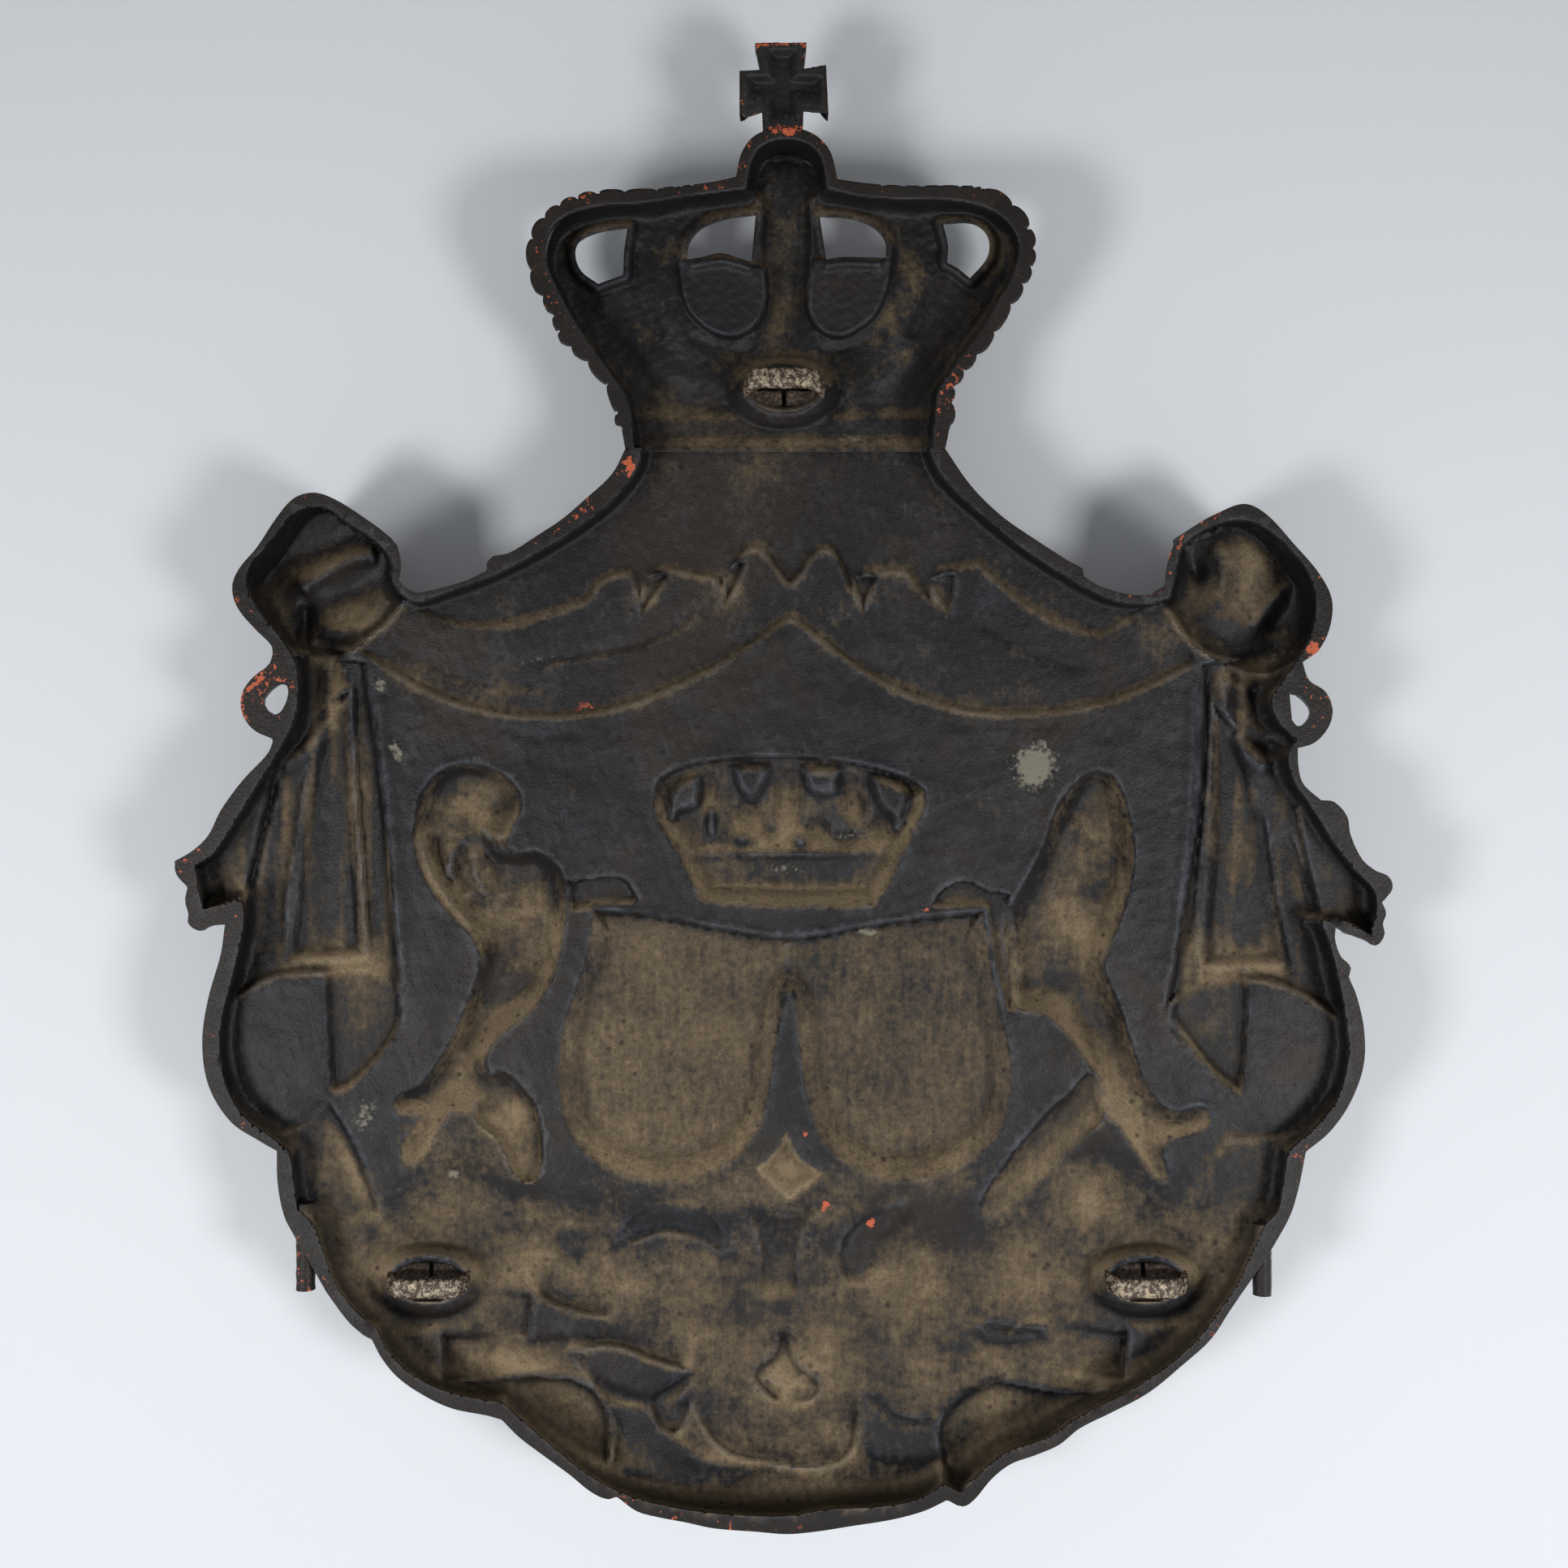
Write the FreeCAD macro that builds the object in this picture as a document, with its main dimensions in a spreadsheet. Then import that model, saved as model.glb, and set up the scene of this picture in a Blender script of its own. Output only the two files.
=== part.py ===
"""Cast-iron coat of arms: a hollow armorial casting with its crown, cross and hanging eyes.

Frame, in millimetres: +Z up, +Y from the back to the decorated front, +X to the right as the
back is seen. The origin is the middle of the upper eye's opening. The back rim lies in one
plane, and depths are counted from that plane towards the front.
"""
import FreeCAD
import Part
import math
import os

doc = FreeCAD.newDocument("coat_of_arms")

# Driving dimensions
SIZES = [
    ("overall_width", 750.0, "side tip to side tip"),
    ("overall_height", 918.0, "cross to lowest rim"),
    ("wall", 7.0, "thickness of the cast shell"),
    ("field_depth", 18.0, "plain field behind the shields"),
    ("drape_depth", 24.0, "swags of the mantle"),
    ("collar_depth", 30.0, "fringed collar under the crown"),
    ("curtain_depth", 29.0, "hanging side curtains"),
    ("fold_depth", 36.0, "main fold of each curtain"),
    ("panel_depth", 25.0, "lining below each curtain"),
    ("knot_depth", 50.0, "knotted corners"),
    ("supporter_depth", 34.0, "two standing animals"),
    ("shield_depth", 28.0, "two plain shields"),
    ("coronet_depth", 31.0, "small crown over the shields"),
    ("lozenge_depth", 25.0, "small lozenge under the shields"),
    ("base_depth", 31.0, "ground under the supporters"),
    ("leaf_depth", 35.0, "leaves at the foot"),
    ("slope_depth", 23.0, "step half way down a sloped edge"),
    ("slope_inset", 6.0, "from a sloped edge to its floor"),
    ("ground_inset", 16.0, "from the soft edge of the ground to its floor"),
    ("crown_depth", 33.0, "body of the large crown"),
    ("arch_depth", 41.0, "middle arch and orb"),
    ("window_lip_depth", 9.0, "edge round each crown opening"),
    ("web_depth", 12.0, "plain webs under the inner openings"),
    ("lip_width", 4.5, "edge round each crown opening, seen flat on"),
    ("pearl_radius", 6.0, "beads along the arches"),
    ("pearl_pitch", 16.0, "from bead to bead"),
    ("pearl_proud", 2.0, "bead past the outline"),
    ("cross_back", 3.0, "back of the cross from the rim plane"),
    ("cross_thickness", 16.0, "back to front of the cross"),
    ("cross_hollow", 9.0, "depth of the hollow in the cross"),
    ("tenon_width", 12.0, "tenon of the cross, across"),
    ("tenon_thickness", 6.0, "tenon of the cross, back to front"),
    ("tenon_length", 9.0, "tenon of the cross, down"),
    ("key_side", 4.0, "square key in the crown seam"),
    ("key_in_mantle", 9.0, "key below the seam"),
    ("key_proud", 3.0, "key above the crown's lower wall"),
    ("crown_sill", 8.0, "lower wall of the crown above the seam"),
    ("eye_length", 52.0, "strap loop, side to side"),
    ("eye_depth", 26.0, "strap loop, back to front"),
    ("eye_back", 2.0, "strap loop from the rim plane"),
    ("strap_width", 12.0, "strap, up and down"),
    ("strap_thickness", 5.0, "strap stock"),
    ("strap_gap", 2.0, "between the strap's butted ends"),
    ("pocket_gap", 6.0, "hook pocket above and below a strap"),
    ("boss_end_wall", 3.0, "oval boss past each end of its eye"),
    ("boss_side_wall", 7.0, "oval boss above and below its pocket"),
    ("boss_back", 11.0, "oval boss from the rim plane"),
    ("ear_depth", 14.0, "side rings, back to front"),
    ("lug_radius", 6.2, "round lugs at the lower sides"),
    ("lug_back", 0.6, "round lugs from the rim plane"),
    ("clearance", 0.15, "round the set-in pieces"),
    ("overrun", 4.0, "cuts run past the metal"),
    ("photo_distance", 1050.0, "camera from the rim plane"),
]

sheet = doc.addObject("Spreadsheet::Sheet", "Sizes")
for row, (alias, value, note) in enumerate(SIZES, start=1):
    sheet.set(f"A{row}", note)
    sheet.set(f"B{row}", str(value))
    sheet.setAlias(f"B{row}", alias)
doc.recompute()


def size(alias):
    """A driving dimension read back from the sheet."""
    return float(getattr(sheet, alias))


# Photograph frame: pixel limits of the outline, and the pixel under the camera's axis
LEFT_PX = 214
RIGHT_PX = 1717
TOP_PX = 51
BOTTOM_PX = 1890
CENTRE_PX = (966, 966)
UPPER_EYE_PX = (966, 486)
LOWER_LEFT_EYE_PX = (528, 1577)
LOWER_RIGHT_EYE_PX = (1412, 1577)
SEAM_PX = 557

MM_PER_PX_ACROSS = size("overall_width") / (RIGHT_PX - LEFT_PX)
MM_PER_PX_UP = size("overall_height") / (BOTTOM_PX - TOP_PX)
SILL_PX = SEAM_PX - size("crown_sill") / MM_PER_PX_UP
SILL_OVERLAP_PX = 8
EYE_MIDDLE_DEPTH = size("eye_back") + size("eye_depth") / 2
REAR_Y = -EYE_MIDDLE_DEPTH


def place(px, py, depth):
    """Point in the frame that is seen at pixel (px, py) and lies `depth` in front of the rim plane."""
    widen = 1 + depth / size("photo_distance")
    across = (px - CENTRE_PX[0]) * MM_PER_PX_ACROSS * widen
    up = (CENTRE_PX[1] - py) * MM_PER_PX_UP * widen
    return FreeCAD.Vector(across, REAR_Y, up) - EYE_OFFSET


EYE_WIDEN = 1 + EYE_MIDDLE_DEPTH / size("photo_distance")
EYE_OFFSET = FreeCAD.Vector(0, 0, (CENTRE_PX[1] - UPPER_EYE_PX[1]) * MM_PER_PX_UP * EYE_WIDEN)

# Outlines in pixels of the photograph. A third value of 1 marks a corner; the rest runs smoothly.
MANTLE_PX = [
    (771, 557, 1), (754, 584), (720, 616), (692, 640), (660, 661), (628, 681), (608, 685, 1),
    (600, 693), (600, 703, 1), (575, 715), (545, 724), (515, 730), (500, 725), (491, 715, 1),
    (494, 700), (491, 678), (480, 662), (440, 632), (408, 613), (385, 607), (362, 614), (342, 636),
    (316, 675), (295, 700), (286, 722), (292, 748), (315, 776), (334, 795), (336, 806, 1),
    (331, 819), (311, 835), (298, 855), (298, 878), (312, 899), (337, 911, 1), (330, 928),
    (302, 958), (286, 978), (271, 1000), (256, 1030), (236, 1049), (215, 1061, 1), (217, 1077),
    (231, 1093, 1), (228, 1110), (232, 1126), (232, 1138), (246, 1147), (260, 1141), (277, 1139, 1),
    (272, 1175), (256, 1232), (249, 1285), (257, 1338), (284, 1382), (320, 1406), (341, 1418, 1),
    (342, 1458), (350, 1498), (362, 1522, 1), (384, 1560), (402, 1592, 1), (428, 1627), (448, 1645),
    (458, 1650, 1), (470, 1673), (490, 1697), (520, 1718), (556, 1735), (600, 1744), (618, 1749, 1),
    (640, 1771), (672, 1795), (702, 1817), (728, 1838), (748, 1847), (760, 1844, 1), (785, 1862),
    (815, 1870), (842, 1875), (880, 1883), (930, 1887), (970, 1890), (1005, 1887), (1050, 1880),
    (1100, 1872), (1140, 1861), (1167, 1848, 1), (1186, 1856), (1200, 1848), (1222, 1822),
    (1245, 1804), (1275, 1793), (1305, 1780), (1330, 1760), (1370, 1740), (1415, 1716),
    (1458, 1681), (1492, 1650), (1516, 1614), (1531, 1592, 1), (1550, 1565), (1570, 1534, 1),
    (1590, 1497), (1601, 1460), (1609, 1419, 1), (1638, 1395), (1663, 1360), (1680, 1314),
    (1681, 1270), (1672, 1228), (1662, 1204, 1), (1664, 1191), (1652, 1178), (1645, 1157),
    (1646, 1142, 1), (1664, 1152), (1680, 1157), (1695, 1165), (1706, 1152), (1704, 1138),
    (1708, 1125), (1703, 1112, 1), (1716, 1094), (1711, 1080), (1694, 1072), (1678, 1058),
    (1664, 1028), (1660, 1006), (1644, 988), (1628, 986, 1), (1606, 966), (1600, 945),
    (1599, 922, 1), (1620, 915), (1637, 896), (1642, 874), (1633, 852), (1613, 838), (1605, 816, 1),
    (1625, 801), (1639, 772), (1641, 738), (1625, 706), (1595, 671), (1562, 635), (1535, 621),
    (1505, 630), (1465, 653), (1444, 677), (1437, 702), (1435, 722, 1), (1420, 732), (1390, 732),
    (1355, 722), (1335, 710, 1), (1334, 701), (1318, 692, 1), (1270, 661), (1232, 634), (1196, 598),
    (1164, 557, 1),
]
MANTLE_INNER_PX = [
    (790, 540, 1), (789, 560), (782, 582), (752, 619), (705, 655), (650, 688), (598, 713),
    (545, 732), (512, 741), (494, 731, 1), (484, 715), (482, 690), (462, 666), (430, 645),
    (405, 627), (383, 624), (360, 634), (335, 665), (308, 697), (303, 718), (315, 748), (345, 786),
    (362, 815), (367, 845), (362, 885), (345, 922), (318, 965), (290, 1010), (262, 1052),
    (240, 1066, 1), (243, 1092), (250, 1121, 1), (275, 1114), (297, 1105, 1), (300, 1135),
    (287, 1198), (271, 1268), (274, 1325), (297, 1372), (335, 1402), (357, 1420, 1), (361, 1455),
    (366, 1490, 1), (386, 1510), (400, 1550), (416, 1588), (440, 1617), (463, 1636, 1), (476, 1662),
    (502, 1690), (540, 1711), (585, 1723), (618, 1728, 1), (645, 1752), (680, 1782), (720, 1814),
    (758, 1836), (800, 1851), (850, 1861), (910, 1867), (970, 1868), (1020, 1860), (1080, 1857),
    (1130, 1848), (1163, 1829, 1), (1182, 1838, 1), (1205, 1817), (1240, 1790), (1290, 1772),
    (1335, 1743), (1390, 1715), (1440, 1682), (1478, 1648), (1502, 1616), (1524, 1584),
    (1545, 1540), (1560, 1508, 1), (1575, 1492), (1582, 1455), (1588, 1418, 1), (1620, 1390),
    (1648, 1355), (1662, 1305), (1660, 1262), (1650, 1205), (1638, 1160), (1628, 1135, 1),
    (1655, 1135), (1688, 1152, 1), (1697, 1122), (1693, 1096), (1672, 1074), (1645, 1040),
    (1618, 997), (1595, 962), (1588, 932), (1597, 912, 1), (1575, 888), (1568, 862), (1582, 838),
    (1604, 806), (1618, 775), (1622, 742), (1612, 705), (1582, 668), (1552, 646), (1525, 640),
    (1490, 650), (1458, 672), (1448, 705), (1440, 737, 1), (1410, 744), (1365, 737), (1310, 708),
    (1255, 671), (1205, 630), (1165, 592), (1148, 560), (1147, 540, 1),
]
DRAPE_PX = [
    (440, 806, 1), (523, 854), (580, 875), (652, 887), (714, 885), (772, 873), (834, 849),
    (900, 816), (975, 765, 1), (1030, 808), (1075, 838), (1124, 861), (1174, 876), (1224, 883),
    (1274, 883), (1323, 878), (1373, 866), (1423, 846), (1475, 820, 1), (1475, 620, 1),
    (1175, 530, 1), (760, 530, 1), (440, 620, 1),
]
COLLAR_PX = [
    (724, 744, 1), (748, 715), (775, 710, 1), (787, 745, 1), (812, 708), (860, 712), (880, 716, 1),
    (888, 738, 1), (910, 695), (932, 678), (955, 705), (975, 722), (1003, 690), (1020, 680),
    (1036, 705, 1), (1048, 740, 1), (1062, 712), (1112, 706, 1), (1149, 750, 1), (1157, 712),
    (1204, 698, 1), (1262, 650, 1), (1175, 530, 1), (760, 530, 1), (668, 664, 1),
]
LEFT_CURTAIN_PX = [
    (452, 815, 1), (468, 925), (480, 1026), (488, 1120), (496, 1205, 1), (490, 1232, 1),
    (475, 1210), (446, 1196), (400, 1200), (340, 1206), (289, 1232, 1), (230, 1240, 1),
    (190, 1000, 1), (300, 800, 1),
]
RIGHT_CURTAIN_PX = [
    (1480, 818, 1), (1630, 800, 1), (1750, 1000, 1), (1700, 1270, 1), (1650, 1258, 1), (1612, 1233),
    (1577, 1216), (1537, 1209), (1505, 1211), (1475, 1217), (1433, 1246, 1), (1443, 1196),
    (1458, 1097), (1473, 997), (1477, 898),
]
LEFT_FOLD_PX = [
    (402, 860, 1), (432, 850, 1), (437, 930), (445, 1060), (452, 1180, 1), (352, 1186, 1),
    (362, 1100), (376, 980),
]
RIGHT_FOLD_PX = [
    (1492, 860, 1), (1530, 900, 1), (1552, 985), (1572, 1100), (1590, 1190, 1), (1476, 1194, 1),
    (1486, 1080), (1490, 960),
]
LEFT_PANEL_PX = [
    (395, 1222, 1), (487, 1224, 1), (497, 1252), (476, 1298), (436, 1339), (403, 1352, 1),
]
RIGHT_PANEL_PX = [
    (1448, 1248, 1), (1495, 1228), (1545, 1228, 1), (1540, 1300), (1532, 1352, 1), (1490, 1320),
]
LEFT_KNOT_PX = [
    (260, 790, 1), (260, 590, 1), (500, 590, 1), (500, 735, 1), (482, 762), (455, 785), (430, 803),
    (400, 810), (372, 806, 1), (340, 790, 1),
]
RIGHT_KNOT_PX = [
    (1432, 740, 1), (1432, 600, 1), (1670, 600, 1), (1670, 790, 1), (1600, 812, 1), (1565, 828),
    (1530, 826), (1498, 812), (1466, 790),
]
LEFT_SUPPORTER_PX = [
    (562, 940), (528, 960), (509, 1005), (512, 1060), (540, 1112), (575, 1150), (589, 1180),
    (575, 1230), (548, 1290), (520, 1330), (484, 1354), (486, 1370), (512, 1376), (492, 1415),
    (508, 1434), (530, 1415), (553, 1374), (580, 1374), (613, 1404), (634, 1447), (655, 1456),
    (667, 1435), (662, 1372), (634, 1340), (602, 1314), (608, 1288), (650, 1250), (680, 1212),
    (696, 1150), (700, 1105), (690, 1068), (664, 1048), (628, 1046), (632, 1022), (645, 990),
    (630, 960), (600, 943),
]
RIGHT_SUPPORTER_PX = [
    (1350, 948), (1322, 965), (1300, 995), (1283, 1045), (1258, 1092), (1238, 1128), (1240, 1190),
    (1250, 1240), (1288, 1252), (1318, 1280), (1345, 1322), (1358, 1364), (1380, 1392),
    (1400, 1425), (1425, 1454), (1441, 1450), (1436, 1412), (1464, 1400), (1492, 1384),
    (1484, 1362), (1446, 1366), (1418, 1342), (1400, 1295), (1382, 1240), (1366, 1200),
    (1364, 1180), (1376, 1150), (1392, 1105), (1400, 1060), (1396, 1015), (1385, 975), (1372, 955),
]
LEFT_SHIELD_PX = [
    (728, 1119, 1), (800, 1125), (880, 1140), (976, 1152, 1), (972, 1190), (962, 1230), (958, 1290),
    (948, 1355), (930, 1402), (890, 1437), (840, 1455), (795, 1454), (750, 1440), (712, 1412),
    (690, 1370), (685, 1320), (690, 1275), (704, 1225), (720, 1180),
]
RIGHT_SHIELD_PX = [
    (964, 1152, 1), (1060, 1140), (1140, 1128), (1213, 1121, 1), (1222, 1180), (1236, 1245),
    (1247, 1300), (1247, 1355), (1230, 1400), (1190, 1432), (1145, 1452), (1095, 1454),
    (1050, 1437), (1012, 1405), (992, 1350), (982, 1290), (976, 1230), (968, 1190),
]
CORONET_PX = [
    (803, 985), (812, 958), (850, 940), (910, 932), (965, 930), (1040, 936), (1100, 950),
    (1138, 970), (1142, 990), (1130, 1020), (1105, 1075), (1080, 1116, 1), (970, 1118),
    (862, 1112, 1), (838, 1062), (812, 1015),
]
LOZENGE_PX = [
    (970, 1386, 1), (985, 1420), (1018, 1446, 1), (992, 1465), (972, 1482, 1), (950, 1460),
    (928, 1440, 1), (952, 1418),
]
BASE_PX = [
    (470, 1505, 1), (520, 1452), (580, 1420), (640, 1455), (720, 1478), (800, 1482), (870, 1490),
    (972, 1486), (1060, 1482), (1150, 1478), (1230, 1465), (1300, 1410), (1350, 1388), (1400, 1430),
    (1450, 1465), (1500, 1520, 1), (1560, 1700, 1), (1000, 1950, 1), (400, 1700, 1),
]
LEFT_LEAF_PX = [
    (545, 1700, 1), (600, 1700), (650, 1695), (705, 1698, 1), (735, 1715), (755, 1750), (757, 1780),
    (750, 1808, 1), (715, 1795), (670, 1765), (630, 1735), (585, 1716),
]
RIGHT_LEAF_PX = [
    (1228, 1700, 1), (1180, 1725), (1160, 1760), (1168, 1800), (1186, 1828, 1), (1212, 1803),
    (1250, 1780), (1300, 1760), (1345, 1735), (1390, 1708, 1), (1320, 1716),
]
LEFT_RING_PX = [(342, 844), (354, 846), (352, 866), (341, 880), (328, 874), (326, 860)]
RIGHT_RING_PX = [(1589, 855, 1), (1602, 858), (1615, 876), (1610, 890), (1600, 895), (1592, 888, 1)]
LEFT_EAR_PX = [
    (270, 808, 1), (340, 808, 1), (356, 830, 1), (356, 890, 1), (340, 909, 1), (270, 909, 1),
]
RIGHT_EAR_PX = [
    (1675, 818, 1), (1607, 818, 1), (1594, 840, 1), (1585, 862, 1), (1589, 886, 1), (1602, 920, 1),
    (1675, 920, 1),
]
CROWN_PX = [
    (771, 557, 1), (768, 540), (763, 515), (757, 490), (745, 468), (728, 447), (708, 428),
    (692, 412), (686, 392), (673, 368), (660, 345), (655, 320), (657, 295), (668, 275), (690, 256),
    (720, 244), (760, 239), (800, 238), (850, 229), (890, 222), (907, 218, 1), (914, 188),
    (932, 166), (966, 157), (1000, 164), (1022, 185), (1032, 221, 1), (1075, 227), (1120, 231),
    (1170, 230), (1210, 234), (1240, 249), (1261, 272), (1270, 300), (1267, 330), (1254, 358),
    (1237, 385), (1224, 408), (1207, 430), (1190, 450), (1170, 478, 1), (1170, 500), (1170, 525),
    (1164, 557, 1),
]
CROWN_INNER_PX = [
    (783, SILL_PX, 1), (777, 515), (773, 492), (755, 465), (735, 437), (715, 408), (700, 383),
    (685, 355), (673, 325), (672, 300), (681, 279), (702, 263), (740, 253), (790, 250), (850, 241),
    (918, 232, 1), (925, 200), (938, 180), (966, 171), (997, 178), (1013, 197), (1020, 232, 1),
    (1060, 241), (1110, 245), (1160, 245), (1205, 252), (1235, 267), (1253, 290), (1256, 315),
    (1247, 345), (1232, 368), (1215, 398), (1195, 425), (1180, 447), (1157, 480, 1), (1154, 500),
    (1152, 520), (1148, SILL_PX, 1),
]
PASSAGE_PX = [
    (790, SILL_PX - SILL_OVERLAP_PX, 1), (1147, SILL_PX - SILL_OVERLAP_PX, 1),
    (1147, SEAM_PX + SILL_OVERLAP_PX, 1), (790, SEAM_PX + SILL_OVERLAP_PX, 1),
]
WINDOWS_PX = {
    "outer_left": [(773, 282, 1), (740, 287), (715, 298), (709, 313), (716, 334), (737, 350, 1),
                   (768, 339, 1), (769, 310)],
    "inner_left": [(931, 266, 1), (895, 271), (865, 283), (850, 300), (846, 320, 1), (865, 317),
                   (887, 312), (910, 318), (926, 323, 1)],
    "inner_right": [(1010, 268, 1), (1050, 271), (1078, 283), (1091, 300), (1091, 318, 1),
                    (1060, 317), (1035, 317), (1018, 320, 1)],
    "outer_right": [(1162, 277, 1), (1195, 276), (1212, 285), (1219, 301), (1215, 320),
                    (1195, 343, 1), (1180, 331), (1167, 324, 1), (1168, 302)],
}
WEBS_PX = {
    "left_web": [(842, 326, 1), (870, 322), (900, 325), (938, 334, 1), (938, 375), (925, 400),
                 (905, 410), (880, 405), (855, 385), (845, 360)],
    "right_web": [(1006, 324, 1), (1050, 322), (1092, 325, 1), (1090, 350), (1075, 385), (1050, 405),
                  (1030, 410), (1010, 400), (1000, 375), (1003, 345)],
}
MIDDLE_ARCH_PX = [
    (940, 205, 1), (995, 205, 1), (1000, 290), (996, 370), (986, 425, 1), (948, 425, 1), (938, 370),
    (936, 290),
]
CROSS_PX = [
    (930, 52, 1), (994, 51, 1), (990, 84, 1), (1018, 79, 1), (1021, 139, 1), (990, 137, 1),
    (989, 158, 1), (940, 158, 1), (939, 138, 1), (918, 145, 1), (911, 139, 1), (911, 86, 1),
    (937, 85, 1),
]
CROSS_HOLLOW_PX = [
    (950, 64, 1), (979, 64, 1), (979, 96, 1), (1011, 96, 1), (1011, 119, 1), (979, 119, 1),
    (979, 143, 1), (950, 143, 1), (950, 119, 1), (924, 119, 1), (924, 96, 1), (950, 96, 1),
]
LUGS_PX = {"left_lug": (373, 1482, 1595), "right_lug": (1559, 1508, 1601)}


def is_corner(point):
    """True where an outline turns sharply."""
    return len(point) > 2


def closed_outline(points_px, depth):
    """Corner flags and frame points of an outline whose edge lies at `depth`."""
    flags = [is_corner(point) for point in points_px]
    points = [place(point[0], point[1], depth) for point in points_px]
    return flags, points


def split_runs(flags, points):
    """Cut a closed list of points at its corners into runs that share their end points."""
    corners = [index for index, flag in enumerate(flags) if flag]
    if not corners:
        return [points + points[:1]]
    turned = points[corners[0]:] + points[:corners[0]]
    marks = [index - corners[0] for index in corners] + [len(points)]
    turned.append(turned[0])
    return [turned[start:stop + 1] for start, stop in zip(marks, marks[1:])]


def run_edge(run, smooth_close):
    """A straight edge through two points, or a spline through more."""
    if len(run) == 2:
        return Part.LineSegment(run[0], run[1]).toShape()
    curve = Part.BSplineCurve()
    if smooth_close:
        curve.interpolate(run[:-1], PeriodicFlag=True)
    else:
        curve.interpolate(run)
    return curve.toShape()


def outline_wire(flags, points):
    """Closed wire through an outline's runs."""
    smooth_close = not any(flags)
    return Part.Wire([run_edge(run, smooth_close) for run in split_runs(flags, points)])


def signed_area(points):
    """Area of a closed polygon in the XZ plane, positive where it runs from +X to +Z."""
    pairs = zip(points, points[1:] + points[:1])
    return sum(first.x * second.z - second.x * first.z for first, second in pairs) / 2


MITRE_LIMIT_SHARE = 0.7


def grown(flags, points, distance):
    """Points moved `distance` outwards along the outline's normals, mitred at its corners."""
    turn = 1 if signed_area(points) > 0 else -1
    count = len(points)
    moved = []
    for index, point in enumerate(points):
        before = (point - points[index - 1]).normalize()
        after = (points[(index + 1) % count] - point).normalize()
        normal_before = FreeCAD.Vector(before.z, 0, -before.x) * turn
        normal_after = FreeCAD.Vector(after.z, 0, -after.x) * turn
        mitre = normal_before + normal_after
        reach = max(MITRE_LIMIT_SHARE, mitre.dot(mitre) / 2)
        moved.append(point + mitre * (distance / reach))
    return moved


def face_object(name, wire):
    """Flat face in the rim plane, kept in the document as the base of a prism."""
    feature = doc.addObject("Part::Feature", name)
    feature.Shape = Part.Face(wire)
    return feature


def prism(name, base, start, stop):
    """Prism of a face, from depth `start` to depth `stop`, both given as expressions on the sheet."""
    feature = doc.addObject("Part::Extrusion", name)
    feature.Base = base
    feature.DirMode = "Custom"
    feature.Dir = FreeCAD.Vector(0, 1, 0)
    feature.Solid = True
    feature.setExpression("LengthFwd", stop)
    feature.setExpression("LengthRev", f"-1 * ({start})")
    return feature


def outline_prism(name, points_px, edge_depth, start, stop, grow=0.0):
    """Prism of a pixel outline seen at `edge_depth`, grown by a distance."""
    flags, points = closed_outline(points_px, edge_depth)
    if grow:
        points = grown(flags, points, grow)
    return prism(name, face_object(f"{name}_face", outline_wire(flags, points)), start, stop)


def fuse(name, members):
    """Union of several objects."""
    feature = doc.addObject("Part::MultiFuse", name)
    feature.Shapes = members
    return feature


def common(name, members):
    """Intersection of several objects."""
    feature = doc.addObject("Part::MultiCommon", name)
    feature.Shapes = members
    return feature


def cut(name, base, tool):
    """Base less tool."""
    feature = doc.addObject("Part::Cut", name)
    feature.Base = base
    feature.Tool = tool
    return feature


def box(name, length, width, height, x, y, z):
    """Box with expressions for its sides and its low corner."""
    feature = doc.addObject("Part::Box", name)
    for prop, text in (("Length", length), ("Width", width), ("Height", height)):
        feature.setExpression(prop, text)
    for prop, text in (("x", x), ("y", y), ("z", z)):
        feature.setExpression(f"Placement.Base.{prop}", text)
    return feature


FRONT = "Sizes.knot_depth + 2 * Sizes.wall"
BEHIND = "-Sizes.overrun"


# Main casting: each region of the relief is a boss on the front and a hollow behind it
REGIONS = [
    ("drape", DRAPE_PX, "field_depth", "drape_depth"),
    ("collar", COLLAR_PX, "drape_depth", "collar_depth"),
    ("left_curtain", LEFT_CURTAIN_PX, "field_depth", "curtain_depth"),
    ("right_curtain", RIGHT_CURTAIN_PX, "field_depth", "curtain_depth"),
    ("left_fold", LEFT_FOLD_PX, "curtain_depth", "fold_depth"),
    ("right_fold", RIGHT_FOLD_PX, "curtain_depth", "fold_depth"),
    ("left_panel", LEFT_PANEL_PX, "field_depth", "panel_depth"),
    ("right_panel", RIGHT_PANEL_PX, "field_depth", "panel_depth"),
    ("left_knot", LEFT_KNOT_PX, "field_depth", "knot_depth"),
    ("right_knot", RIGHT_KNOT_PX, "field_depth", "knot_depth"),
    ("left_supporter", LEFT_SUPPORTER_PX, "field_depth", "supporter_depth"),
    ("right_supporter", RIGHT_SUPPORTER_PX, "field_depth", "supporter_depth"),
    ("left_shield", LEFT_SHIELD_PX, "field_depth", "slope_depth"),
    ("left_shield_floor", LEFT_SHIELD_PX, "field_depth", "shield_depth", "slope_inset"),
    ("right_shield", RIGHT_SHIELD_PX, "field_depth", "slope_depth"),
    ("right_shield_floor", RIGHT_SHIELD_PX, "field_depth", "shield_depth", "slope_inset"),
    ("coronet", CORONET_PX, "field_depth", "slope_depth"),
    ("coronet_floor", CORONET_PX, "field_depth", "coronet_depth", "slope_inset"),
    ("lozenge", LOZENGE_PX, "field_depth", "lozenge_depth"),
    ("base", BASE_PX, "field_depth", "slope_depth", "slope_inset"),
    ("base_floor", BASE_PX, "field_depth", "base_depth", "ground_inset"),
    ("left_leaf", LEFT_LEAF_PX, "base_depth", "leaf_depth"),
    ("right_leaf", RIGHT_LEAF_PX, "base_depth", "leaf_depth"),
]


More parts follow.
